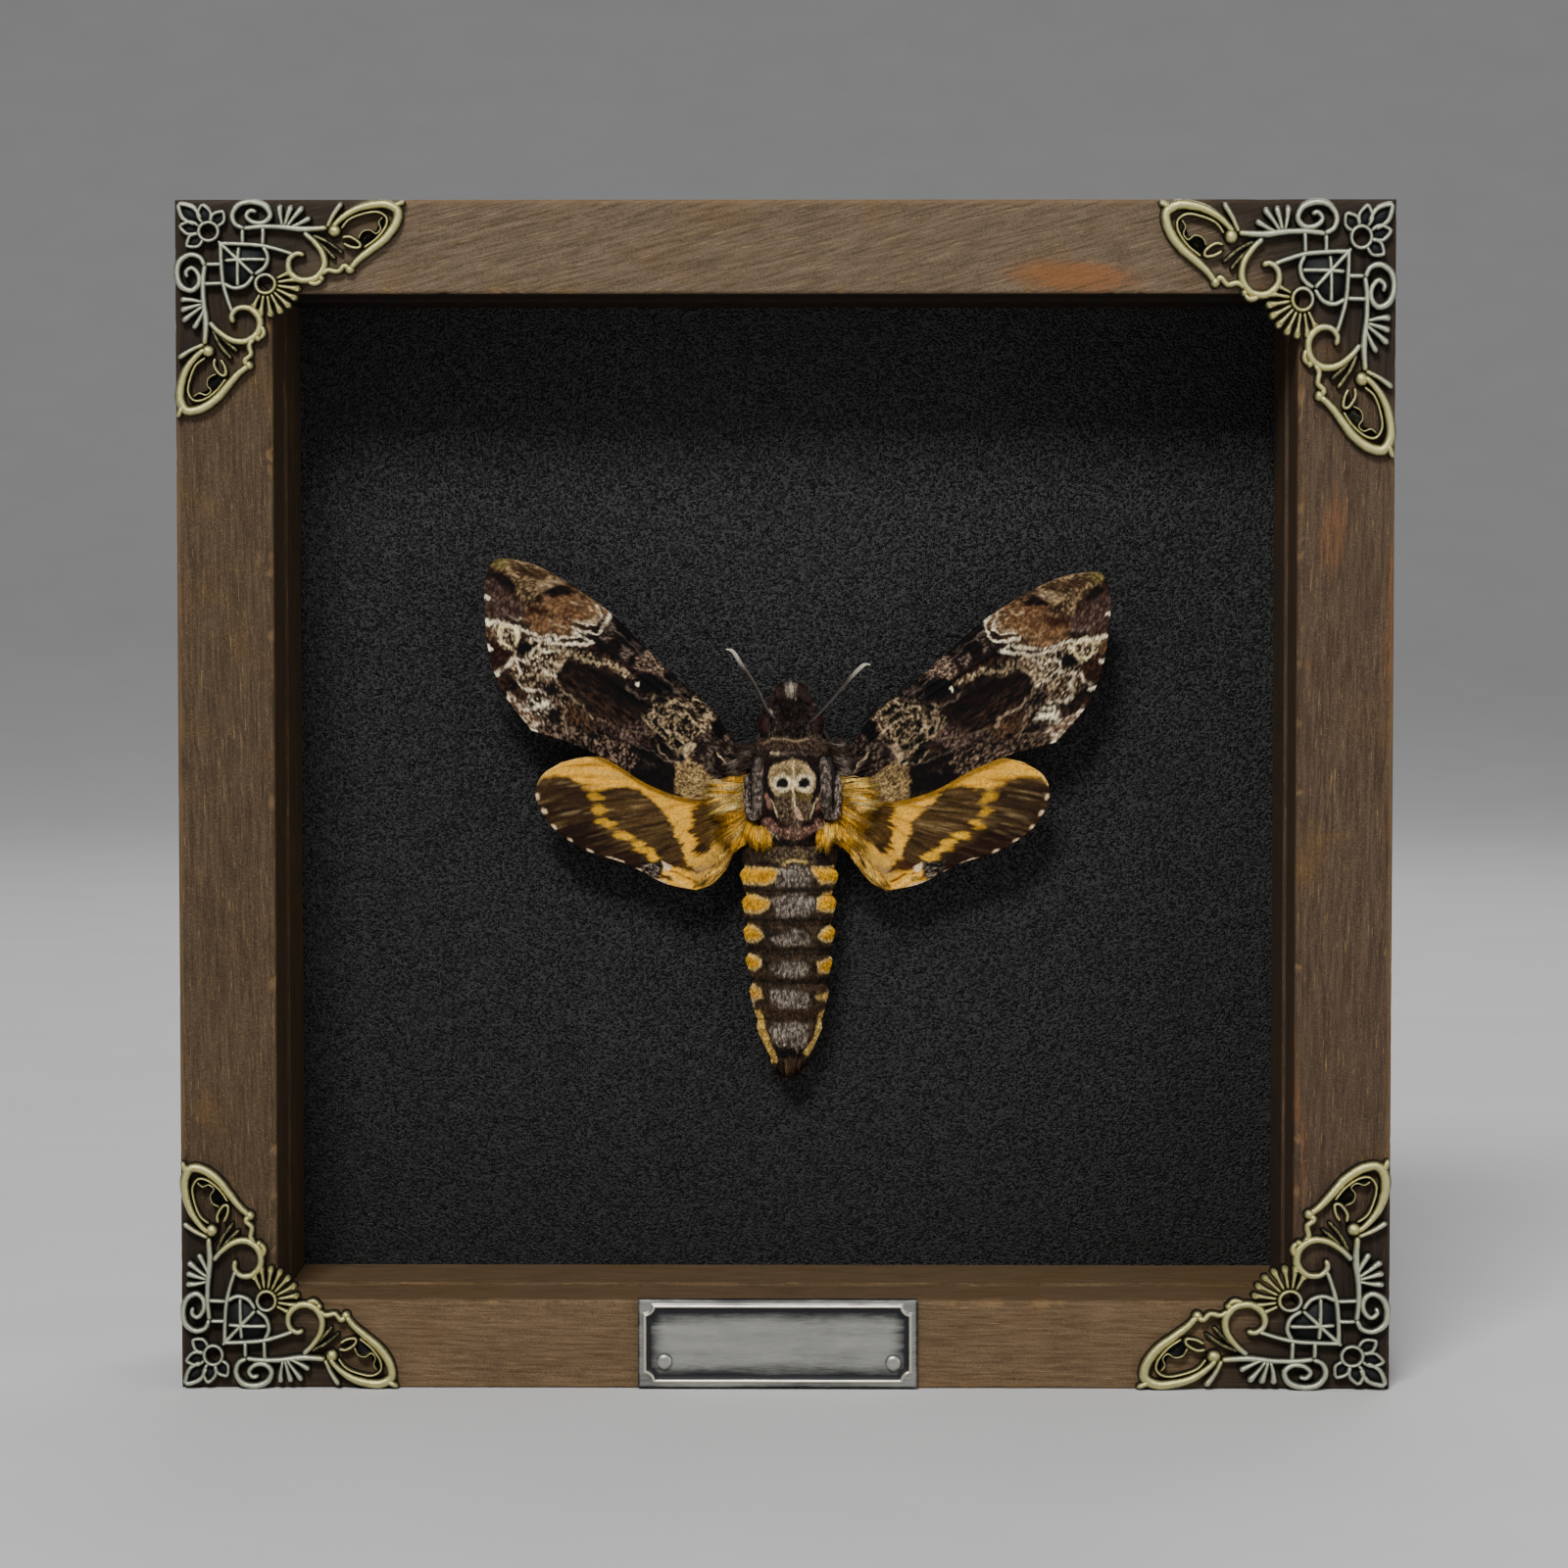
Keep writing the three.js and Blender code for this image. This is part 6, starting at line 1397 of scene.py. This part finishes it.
def make_skin():
    """One skin from the front of the head to the tail: an oval grid closed at both ends."""
    rows, columns = 430, 130
    y = np.linspace(NOSE - 0.05, TAIL + 0.05, rows)
    angle = np.arange(columns) * 2 * math.pi / columns
    gy, ga = np.meshgrid(y, angle, indexing="ij")
    points = body_surface(gy, ga)
    turn = np.abs((ga + math.pi) % (2 * math.pi) - math.pi)
    flat = points.reshape(-1, 3)
    clumps = layered(np.stack([flat[:, 0], flat[:, 1] * 0.5, flat[:, 2]], -1), 1.1, 301, 3)
    normal = np.stack([np.sin(ga), np.zeros_like(ga), np.cos(ga)], -1).reshape(-1, 3)
    shrink = np.clip(np.minimum(NOSE - flat[:, 1], flat[:, 1] - TAIL) / 2, 0, 1)
    flat = flat + normal * (0.12 * clumps * shrink)[:, None]
    colour = body_markings(flat[:, 0], flat[:, 1], turn.reshape(-1), 51)
    front_end = body_surface(np.array([NOSE]), np.array([0.0])) * [1, 1, 0] + [0, 0, 9.8]
    points = np.vstack([flat, front_end, [[ABDOMEN_X, TAIL - 0.1, 6.2]]])
    last = rows * columns
    ends = [fan_faces(np.arange(columns), last, False), fan_faces(np.arange(columns) + last - columns, last + 1)]
    faces = [grid_faces(rows, columns, wrap=True), np.vstack(ends)]
    uv = np.stack([(ga / (2 * math.pi)).reshape(-1), ((NOSE - gy) / (NOSE - TAIL)).reshape(-1)], -1)
    uv = np.vstack([uv, [0.5, 0.0], [0.5, 1.0]])
    paint = np.vstack([colour, colour[:1], colour[-1:]])
    covered = ["head", "collar", "thorax", *(f"abdomen_{i}" for i in range(1, 9))]
    make_piece("body_skin", from_moth(points), faces, furred("body_fur"), "thorax_fur", covered,
        paint={"markings": paint}, uv=uv)


def grow_tufts(name, roots, directions, normals, lengths, widths, colours, uv, material, slot, bend=0.25, sweep=0.0):
    """Tufts of a coat. Each is a thin blade of three sides: a ring at its root, one half way along and a
    point. Its colours are those of its root, middle and tip, with painted shade darkening the root and a
    painted highlight lightening the tip."""
    count = len(roots)
    directions = directions / np.linalg.norm(directions, axis=1, keepdims=True)
    side = np.cross(directions, normals)
    side /= np.maximum(np.linalg.norm(side, axis=1, keepdims=True), 1e-6)
    up = np.cross(side, directions)
    lengths, widths = lengths[:, None], widths[:, None]
    aside = side * lengths * np.reshape(sweep, (-1, 1))
    rings = []
    for share, thick in ((0.0, 0.75), (0.5, 1.0)):
        middle = roots + directions * lengths * share + (up * lengths * bend * 0.4 + aside) * (share * 2)
        for k in range(3):
            angle = k * 2 * math.pi / 3 + math.pi / 2
            high = up * widths * thick * 0.55 * math.sin(angle)
            rings.append(middle + side * widths * thick * math.cos(angle) + high)
    rings.append(roots + directions * lengths - up * lengths * 0.06)
    points = np.stack(rings, 1)
    base = (np.arange(count) * 7)[:, None]
    quads = np.concatenate([base + np.array([[k, (k + 1) % 3, (k + 1) % 3 + 3, k + 3]]) for k in range(3)])
    root = base + np.array([[2, 1, 0]])
    tris = np.concatenate([*(base + np.array([[k + 3, (k + 1) % 3 + 3, 6]]) for k in range(3)), root])
    if colours.ndim == 2:
        colours = np.repeat(colours[:, None], 3, axis=1)
    # painted shade darkens each tuft's root and a painted highlight lightens its tip
    paint = (colours[:, [0, 0, 0, 1, 1, 1, 2]] * np.array([0.6, 0.6, 0.6, 1, 1, 1, 1.2])[None, :, None]).reshape(-1, 3)
    shift = np.array(trace("-1,-1 1,-1 0,1 -1,0 1,0 0,1 0,0")) * 0.0014
    patches = (uv[:, None] + shift[None]).reshape(-1, 2)
    return make_piece(name, from_moth(points.reshape(-1, 3)), [quads, tris], material, slot,
        paint={"markings": paint}, uv=patches)


def coat_over_body(name, low, high, count, length, width, lift, material, slot, seed, fan=0.35, spread=math.pi,
        gone=None):
    """Tufts over the body between two places along it, spread evenly and lying towards the tail. Each takes
    the markings' colours under its root, middle and tip."""
    draw = rng(seed)
    y = draw.uniform(low, high, count)
    angle = draw.uniform(-spread, spread, count)
    if gone is not None:
        kept = ~gone(y, angle)
        y, angle, count = y[kept], angle[kept], int(kept.sum())
    roots = body_surface(y, angle)
    along = body_surface(y - 0.25, angle) - roots
    along /= np.linalg.norm(along, axis=1, keepdims=True)
    normals = np.cross(body_surface(y, angle + 0.05) - roots, along)
    normals /= np.maximum(np.linalg.norm(normals, axis=1, keepdims=True), 1e-9)
    centre = np.stack([np.full(count, BODY_X), y, np.full(count, 9.0)], -1)
    normals *= np.sign(np.einsum("ij,ij->i", normals, roots - centre))[:, None]
    swirl = 1.6 * fan * layered(np.stack([angle * 6, y], -1), 1.3, seed + 5, 2)
    turned = fan * draw.normal(0, 0.4, count) + swirl
    raised = lift * (0.6 + 0.8 * draw.random(count))
    directions = along + np.cross(along, normals) * turned[:, None] + normals * raised[:, None]
    directions /= np.linalg.norm(directions, axis=1, keepdims=True)
    lengths = length * draw.uniform(0.7, 1.3, count)
    turn = np.abs((angle + math.pi) % (2 * math.pi) - math.pi)
    shade = draw.uniform(0.75, 1.3, count)[:, None]
    places = [roots + directions * (lengths * share)[:, None] for share in (0.1, 0.5, 0.95)]
    colours = np.stack([body_markings(place[:, 0], place[:, 1], turn, 51) * shade for place in places], 1)
    uv = np.stack([(angle / (2 * math.pi)) % 1.0, (NOSE - y) / (NOSE - TAIL)], -1)
    grow_tufts(name, roots, directions, normals, lengths, np.full(count, width), colours, uv, material, slot)


def hair_from(name, places, targets, locks, each, width, colours, material, slot, seed, rise=0.2, thick=0.35,
        gather=0.35):
    """Long hair in locks: roots along a line of places, and each lock runs together towards its target."""
    draw = rng(seed)
    count = locks * each
    lock = np.repeat(np.arange(locks), each)
    share = draw.random(locks)
    loose = draw.normal(0, 1, (count, 3)) * [1, 1, 0.6]
    apart = (draw.normal(0, thick, (locks, 3)) * [1, 1, 0.6])[lock]
    along = np.clip(share[lock] + draw.normal(0, 0.035, count), 0, 1)
    aim = np.clip(share[lock] + draw.normal(0, 0.05, locks)[lock] + draw.normal(0, 0.01, count), 0, 1)
    roots = smooth_line(places, along) + apart + loose * thick * 0.5
    ends = smooth_line(targets, aim) + apart + draw.normal(0, 1, (count, 3)) * thick * gather
    directions = ends - roots
    reach = np.linalg.norm(directions, axis=1)
    up = np.tile([0.0, 0.0, 1.0], (count, 1))
    colours = np.array(colours)
    hue = draw.random(locks)[lock][:, None] ** 1.2
    first, second = colours[draw.integers(0, len(colours), locks)][lock], colours[0]
    shade = draw.uniform(0.72, 1.2, locks)[lock] * draw.uniform(0.7, 1.3, count)
    colour = (first + (second - first) * hue) * shade[:, None]
    long = draw.uniform(0.75, 1.1, locks)[lock] * draw.uniform(0.8, 1.1, count)
    uv = np.stack([0.02 + 0.96 * along, 0.02 + 0.96 * draw.random(count)], -1)
    sweep = draw.normal(0, 0.06, locks)[lock] + draw.normal(0, 0.02, count)
    grow_tufts(name, roots, directions / reach[:, None], up, reach * long, np.full(count, width), colour, uv,
        material, slot, bend=rise, sweep=sweep)


def make_coat():
    fur = furred("coat_fur", gain=1.3, depth=0.05)

    def under_skull(y, angle):
        return (y < 4.4) & (y > -7.2) & (np.abs(angle) < 0.7)

    coat_over_body("head_coat", 6.9, 16.2, 7000, 1.3, 0.075, 0.6, fur, "head_fur", 61, fan=0.9)
    coat_over_body("collar_coat", 4.4, 7.8, 4600, 1.2, 0.075, 0.35, fur, "head_fur", 62, fan=0.6)
    coat_over_body("thorax_coat", -9.6, 4.4, 14000, 1.1, 0.075, 0.25, fur, "thorax_fur", 63, gone=under_skull)
    coat_over_body("skull_coat", -7.4, 4.6, 9500, 0.6, 0.05, 0.18, fur, "thorax_fur", 60, fan=0.3, spread=0.74)
    coat_over_body("abdomen_front_coat", -29.0, -9.6, 13500, 0.85, 0.08, 0.12, fur, "abdomen_fur", 64, fan=0.25)
    coat_over_body("abdomen_rear_coat", -49.6, -28.4, 12500, 0.85, 0.08, 0.14, fur, "abdomen_fur", 65, fan=0.25)
    gold, straw, tan, pale = tint(216, 170, 84), tint(230, 194, 122), tint(128, 94, 54), tint(238, 214, 160)
    brown, grey = tint(62, 49, 43), tint(140, 130, 122)
    for side, s in (("left", -1), ("right", 1)):
        shift = 0.6 if s > 0 else -0.4
        places = [(s * 3.9 + shift, -8.0, 13.4), (s * 5.4 + shift, -7.4, 13.0), (s * 7.2 + shift * 0.5, -6.6, 12.2)]
        targets = [(s * 3.4 + shift, -10.6, 13.9), (s * 5.4 + shift, -11.3, 13.5), (s * 8.0 + shift * 0.5, -10.2, 12.2)]
        hair_from(f"shoulder_lock_{side}", places, targets, 26, 40, 0.07, [gold, straw, straw, tint(214, 164, 58)],
            fur, "thorax_fur", 71 + s, 0.45, 0.4, 0.4)
        places = [(s * 7.4, 0.4, 12.2), (s * 7.5, -1.8, 12.2), (s * 7.4, -4.6, 11.8), (s * 7.0, -7.8, 10.9)]
        targets = [(s * 12.6, -0.6, 12.6), (s * 13.2, -4.2, 12.4), (s * 12.4, -8.8, 11.9), (s * 10.6, -12.6, 11.4)]
        hair_from(f"wing_base_hair_{side}", places, targets, 96, 34, 0.06, [gold, straw, tan, pale, tan], fur,
            "thorax_fur", 75 + s, 0.12, 0.5, 0.3)
        places = [(s * 8.6, 0.3, 12.9), (s * 9.6, -1.2, 13.0), (s * 9.8, -3.4, 12.9)]
        targets = [(s * 13.4, 1.0, 13.0), (s * 14.8, -1.6, 13.0), (s * 13.8, -5.0, 12.8)]
        hair_from(f"wing_tuft_{side}", places, targets, 34, 34, 0.065, [straw, gold, pale], fur, "thorax_fur", 79 + s,
            0.15, 0.45, 0.35)
        places = [(s * 8.2, -7.4, 10.5), (s * 9.8, -10.2, 10.5), (s * 11.8, -13.0, 10.55), (s * 14.0, -15.4, 10.6)]
        targets = [(s * 11.4, -12.2, 10.9), (s * 12.8, -14.6, 10.9), (s * 14.8, -16.8, 10.9), (s * 17.4, -18.0, 10.9)]
        hair_from(f"inner_margin_hair_{side}", places, targets, 60, 28, 0.055, [straw, gold, tan, tan], fur,
            "hindwing_scales", 83 + s, 0.06, 0.3, 0.4)
        places = [(s * 6.9, 6.6, 11.8), (s * 7.4, 4.8, 12.2), (s * 8.0, 3.0, 12.2)]
        targets = [(s * 8.8, 6.6, 12.4), (s * 10.4, 4.0, 12.6), (s * 10.6, 1.2, 12.6)]
        hair_from(f"shoulder_fur_{side}", places, targets, 40, 26, 0.06, [brown, grey, tint(110, 92, 80)], fur,
            "thorax_fur", 87 + s, 0.3, 0.5, 0.5)
    white, dun = tint(196, 186, 172), tint(50, 38, 33)
    hair_from("brow_tuft", trace("-1,14.3,12.6 -.2,14.2,12.9 .6,14.3,12.6"),
        trace("-1.4,17,12.9 -.3,17.2,13.2 .9,16.8,12.9"), 12, 26, 0.05, [white, grey, grey], fur, "head_fur", 95,
        0.3, 0.2, 0.9)
    brows = {
        "brow_left": trace("-2.6,13.6,12.2 -1.8,14,12.6 -1.1,14.2,12.6"),
        "brow_right": trace(".8,14.2,12.6 1.7,13.9,12.6 2.6,13.2,12.2"),
    }
    for name, line in brows.items():
        ends = [(x * 0.92, y + 2.3, z + 0.7) for x, y, z in line]
        hair_from(f"{name}_tuft", line, ends, 18, 30, 0.055, [dun, brown, tint(82, 68, 60)], fur, "head_fur",
            96 + len(name), 0.3, 0.25, 1.0)
    hair_from("antenna_tuft", trace("-3.9,11.7,12.9 -3.3,11.5,13.1"), trace("-3.8,12.9,13.9 -3.3,12.8,14"), 3, 30,
        0.055, [white, grey], fur, "head_fur", 99, 0.3, 0.12, 0.5)
    hair_from("tail_tuft", trace("-3.4,-45.4,7.4 -.6,-46.4,8.6 2.2,-45.4,7.4"),
        trace("-2.7,-49.4,6.6 -.6,-50.4,7 1.6,-49.3,6.6"), 44, 30, 0.06,
        [tint(66, 50, 38), dun, tint(104, 84, 60)], fur, "abdomen_fur", 101, 0.35, 0.4, 0.6)
    make_tegulae(fur)


def make_tegulae(fur):
    """A tegula over each wing's root: a furred arm along the thorax, round behind and back outside, with a
    dark slot between the arms."""
    skin = furred("tegula_fur", depth=0.15)
    line = trace("5.1,4.7,14 5.5,2.2,14.7 5.6,-.6,14.9 5.6,-3.2,14.7 6.3,-5.2,14.1 7.2,-5.3,13.7 7.65,-3.6,13.6 "
        "7.7,-1.2,13.5 7.7,1.8,13.3")
    shares = np.linspace(0, 1, 110)
    wide = 0.9 - 0.36 * ease(0.46, 0.62, shares) - 0.12 * ease(0.2, 0.0, shares)
    tip = np.clip(np.minimum(shares, 1 - shares) * 16, 0, 1)
    wide = wide * np.sqrt(np.clip(1 - (1 - tip) ** 2, 0.04, 1))
    slate, pale = tint(52, 42, 38), tint(160, 148, 138)

    def grain(places, share, seed):
        speck = ease(-0.2, 0.5, layered(places, 0.32, seed, 3))[:, None]
        rim = ease(0.0, 0.08, share) * 0.45 + 0.55 + 0.35 * ease(0.5, 0.62, share)
        return (slate + (pale - slate) * speck) * rim[:, None]

    for side, s in (("left", -1), ("right", 1)):
        places = [(s * (x + (0.3 if s < 0 else 0.05) * (x < 6)), y, z) for x, y, z in line]
        points, faces = tube(smooth_line(places, shares), wide, sides=20)
        share = np.concatenate([np.repeat(shares, 20), [0, 1]])
        make_piece(f"tegula_{side}_band", from_moth(points), faces, skin, "thorax_fur", [f"tegula_{side}"],
            paint={"markings": grain(points, share, 90 + s) * 0.8})
        draw = rng(93 + s)
        count = 4200
        share, angle = draw.random(count), draw.uniform(-math.pi, math.pi, count)
        middle = smooth_line(places, share)
        ahead = smooth_line(places, np.clip(share + 0.01, 0, 1)) - smooth_line(places, np.clip(share - 0.01, 0, 1))
        ahead /= np.linalg.norm(ahead, axis=1, keepdims=True)
        level = np.cross(ahead, [0.0, 0.0, 1.0])
        level /= np.linalg.norm(level, axis=1, keepdims=True)
        normals = level * np.cos(angle)[:, None] + np.cross(level, ahead) * np.sin(angle)[:, None]
        roots = middle + normals * (np.interp(share, shares, wide) * 0.88)[:, None]
        back = np.where(share[:, None] < 0.55, ahead, -ahead)
        directions = back + normals * 0.12 + draw.normal(0, 0.14, (count, 3))
        colour = grain(roots, share, 90 + s) * draw.uniform(0.8, 1.3, count)[:, None]
        uv = np.stack([0.02 + 0.96 * share, 0.5 + angle / 6.6], -1)
        grow_tufts(f"tegula_{side}_coat", roots, directions, normals, draw.uniform(0.4, 0.8, count),
            np.full(count, 0.06), colour, uv, fur, "thorax_fur")
        cup = [(s * 6.0, 4.6, 12.6), (s * 6.5, 2.4, 13.0), (s * 6.65, -0.4, 13.1), (s * 6.6, -3.6, 12.9)]
        points, faces = tube(smooth_line(cup, np.linspace(0, 1, 50)), 0.75, sides=12)
        make_piece(f"tegula_{side}_slot", from_moth(points), faces, skin, "thorax_fur",
            paint={"markings": np.tile(tint(20, 11, 9), (len(points), 1))})


def make_head_parts():
    shell = dark_shell()
    fur = furred("face_fur", depth=0.12)
    lines = {
        "left": trace("-1.9,10.2,12.6 -3.9,12,14 -6.3,16.7,14.6 -8.7,20.4,14.8 -10.2,22.6,14.7 -11.2,22.9,14.6"),
        "right": trace("1.9,10,12.6 4,11.7,14 6.7,14.6,14.6 9.6,17.9,14.8 12.2,20.3,14.7 13.1,20.3,14.6"),
    }
    for side, line in lines.items():
        shares = np.linspace(0, 1, 260)
        path = smooth_line(line, shares)
        rings = 0.03 * np.sin(shares * 2 * math.pi * 62)
        thick = (0.27 + 0.08 * ease(0.3, 0.75, shares)) * (1 - 0.6 * ease(0.9, 1, shares)) + rings * 0.5
        points, faces = tube(path, thick, thick * 0.85, sides=14)
        share = np.concatenate([np.repeat(shares, 14), [0, 1]])
        round_it = np.concatenate([np.tile(np.arange(14) * 2 * math.pi / 14, len(shares)), [0, 0]])
        pale = 0.3 * ease(0.3, 0.9, np.cos(round_it)) + 0.8 * ease(0.66, 0.95, share)
        base = tint(36, 28, 24) + (tint(222, 214, 200) - tint(36, 28, 24)) * np.clip(pale, 0, 1)[:, None]
        make_piece(f"antenna_{side}_ringed", from_moth(points), faces, shell, "dark_shell", [f"antenna_{side}"],
            paint={"markings": base})
    eye = compound_eye()
    for side, s in (("left", -1), ("right", 1)):
        turn, tilt = np.meshgrid(np.arange(56) * 2 * math.pi / 56, np.linspace(0.04, math.pi - 0.04, 40), indexing="ij")
        ball = np.stack([np.sin(tilt) * np.cos(turn), np.sin(tilt) * np.sin(turn), np.cos(tilt)], -1)
        centre = np.array([BODY_X + s * 3.75, 10.0, 10.5])
        points = ball.reshape(-1, 3) * [1.85, 2.2, 2.2] + centre
        rows = grid_faces(56, 40)
        wrap = np.stack([55 * 40 + np.arange(39), np.arange(39), np.arange(1, 40), 55 * 40 + np.arange(1, 40)], -1)
        tops = [np.arange(56) * 40, (np.arange(56) * 40 + 39)[::-1]]
        points = np.vstack([points, centre + [0, 0, 2.2], centre - [0, 0, 2.2]])
        caps = [fan_faces(ring, len(points) - 2 + k, False) for k, ring in enumerate(tops)]
        faces = [np.vstack([rows, wrap]), np.vstack(caps)]
        make_piece(f"eye_{side}_facets", from_moth(points), faces, eye, "eye", [f"eye_{side}"])
        shares = np.linspace(0, 1, 40)
        places = trace("1.3,12.8,6.9 1.6,14.6,7.7 1.4,15.9,9.4 1,16.1,10.6")
        line = smooth_line([(BODY_X + s * x, y, z) for x, y, z in places], shares)
        wide = 1.25 * np.sin(math.pi * np.clip(shares * 0.86 + 0.1, 0, 1)) ** 0.6 + 0.05
        points, faces = tube(line, wide, wide * 1.1, sides=24)
        grain = layered(points, 0.7, 120 + s, 2)
        base = tint(44, 31, 26) + (tint(104, 90, 78) - tint(44, 31, 26)) * ease(0.1, 0.8, grain)[:, None] * 0.6
        make_piece(f"palp_{side}_furred", from_moth(points), faces, fur, "head_fur", [f"palp_{side}"],
            paint={"markings": base})
        draw = rng(125 + s)
        count = 900
        share, angle = draw.uniform(0.05, 0.98, count), draw.uniform(-math.pi, math.pi, count)
        along, across, up = frames_along(line)
        pick = (share * 39).astype(int)
        normals = across[pick] * np.cos(angle)[:, None] + up[pick] * np.sin(angle)[:, None]
        roots = line[pick] + normals * (wide[pick] * 0.85)[:, None]
        colour = tint(48, 34, 28) * draw.uniform(0.7, 1.9, count)[:, None]
        directions = along[pick] + normals * 0.35 + draw.normal(0, 0.15, (count, 3))
        lengths = draw.uniform(0.5, 0.95, count)
        uv = np.stack([0.02 + 0.96 * share, 0.5 + angle / 6.6], -1)
        grow_tufts(f"palp_{side}_coat", roots, directions, normals, lengths, np.full(count, 0.08), colour, uv, fur,
            "head_fur")
    shares = np.linspace(0, 1, 120)
    coil = smooth_line([(BODY_X, 11.5, 7), (BODY_X, 13.6, 5.3), (BODY_X, 13.2, 3.9), (BODY_X, 12.2, 4.2)], shares)
    thick = (0.72 - 0.35 * shares) + 0.04 * np.sin(shares * 2 * math.pi * 26)
    points, faces = tube(coil, thick, thick * 0.9, sides=16)
    make_piece("proboscis_ringed", from_moth(points), faces, shell, "dark_shell", ["proboscis"],
        paint={"markings": np.tile(tint(58, 38, 26), (len(points), 1))})


def make_legs():
    """Each leg is a tapering tube that narrows at each joint."""
    shell = bpy.data.materials["dark_shell"]
    lines = {
        "front": trace("2.8,2,6 4.6,4.2,3.6 6.2,6.4,2.7 4.8,9.4,2.2 3.6,12,1.7"),
        "mid": trace("3,-1,6 5.6,-.8,3.5 8.4,.8,2.7 9.4,-2,2 9.6,-5,1.5"),
        "hind": trace("3,-5.2,6 5.2,-6.6,3.6 7.4,-9,2.6 7.2,-13,1.9 6.4,-19,1.3"),
    }
    for pair, line in lines.items():
        for side, s in (("left", -1), ("right", 1)):
            shares = np.linspace(0, 1, 150)
            path = smooth_line([(s * x, y, z) for x, y, z in line], shares)
            thick = 0.75 * (1 - 0.62 * shares)
            for joint in (0.28, 0.55, 0.7, 0.78, 0.86, 0.93):
                thick = thick * (1 - 0.22 * np.exp(-((shares - joint) / 0.012) ** 2))
            points, faces = tube(path, thick, thick * 0.85, sides=14)
            share = np.concatenate([np.repeat(shares, 14), [0, 1]])
            grain = layered(points, 0.6, 140, 2)
            base = tint(46, 33, 26) + (tint(128, 108, 82) - tint(46, 33, 26)) * (
                ease(0.1, 0.7, grain) * 0.5 + 0.3 * ease(0.5, 0.9, share))[:, None]
            make_piece(f"leg_{pair}_{side}_scaled", from_moth(points), faces, shell, "dark_shell",
                [f"leg_{pair}_{side}"], paint={"markings": base})


# Floor, light and camera


def make_floor():
    """A pale sheet that lies flat under the case, and sweeps up far behind it and far in front."""
    out = np.linspace(-6500, 6000, 120)
    x = np.linspace(-5000, 5000, 20)
    gx, gy = np.meshgrid(x, out, indexing="ij")
    rise = np.maximum(np.maximum(gy - 1500, -3500 - gy), 0)
    z = 0.00022 * rise**2 - 0.02
    points = np.stack([gx, gy, z], -1).reshape(-1, 3)
    paper = Finish("pale_paper", Roughness=0.9)
    grain = paper.noise(paper.places(), 0.02, 2)
    paper.set(Base_Color=paper.ramp(grain, (0.3, (0.66, 0.655, 0.645)), (0.7, (0.69, 0.685, 0.675))))
    mesh = bpy.data.meshes.new("floor")
    mesh.from_pydata((points * MM).tolist(), [], grid_faces(20, 120).tolist())
    mesh.materials.append(paper.material)
    for polygon in mesh.polygons:
        polygon.use_smooth = True
    floor = bpy.data.objects.new("floor", mesh)
    bpy.context.scene.collection.objects.link(floor)


def add_softbox(name, place, target, width, height, power):
    light = bpy.data.lights.new(name, "AREA")
    light.shape, light.size, light.size_y, light.energy = "RECTANGLE", width, height, power
    lamp = bpy.data.objects.new(name, light)
    lamp.location = place
    lamp.rotation_euler = (Vector(target) - Vector(place)).to_track_quat("-Z", "Y").to_euler()
    bpy.context.scene.collection.objects.link(lamp)


def make_light():
    """A softbox high in front, a little to the left, and a weaker one on the right, in a dim white room."""
    world = bpy.data.worlds.new("soft_room")
    bpy.context.scene.world = world
    world.use_nodes = True
    world.node_tree.nodes["Background"].inputs[0].default_value = (0.94, 0.95, 1.0, 1.0)
    world.node_tree.nodes["Background"].inputs[1].default_value = 0.24
    add_softbox("key", (-0.25, -1.25, 1.12), (0, 0, 0.1), 0.42, 0.36, 25.0)
    add_softbox("fill", (1.1, -1.0, 0.45), (0, 0, 0.1), 0.9, 0.9, 4.2)
    add_softbox("back", (0.2, 1.1, 1.1), (0, 0, 0.1), 1.0, 0.6, 8.0)


def make_camera():
    """The camera stands 800 mm in front of the case, a little above its middle, and looks at the middle of
    the photograph's frame."""
    camera = bpy.data.cameras.new("camera")
    camera.sensor_width = 36.0
    camera.lens = 111.8
    camera.clip_start, camera.clip_end = 0.01, 30.0
    eye = bpy.data.objects.new("camera", camera)
    eye.location = (0.0071, -0.8225, 0.1409)
    target = Vector((-0.00015, -0.0225, 0.1002))
    eye.rotation_euler = (target - eye.location).to_track_quat("-Z", "Y").to_euler()
    bpy.context.scene.collection.objects.link(eye)
    bpy.context.scene.camera = eye


make_camera()
make_light()
make_floor()
make_case()
make_corners()
make_nameplate()
make_wings()
make_skin()
make_coat()
make_head_parts()
make_legs()
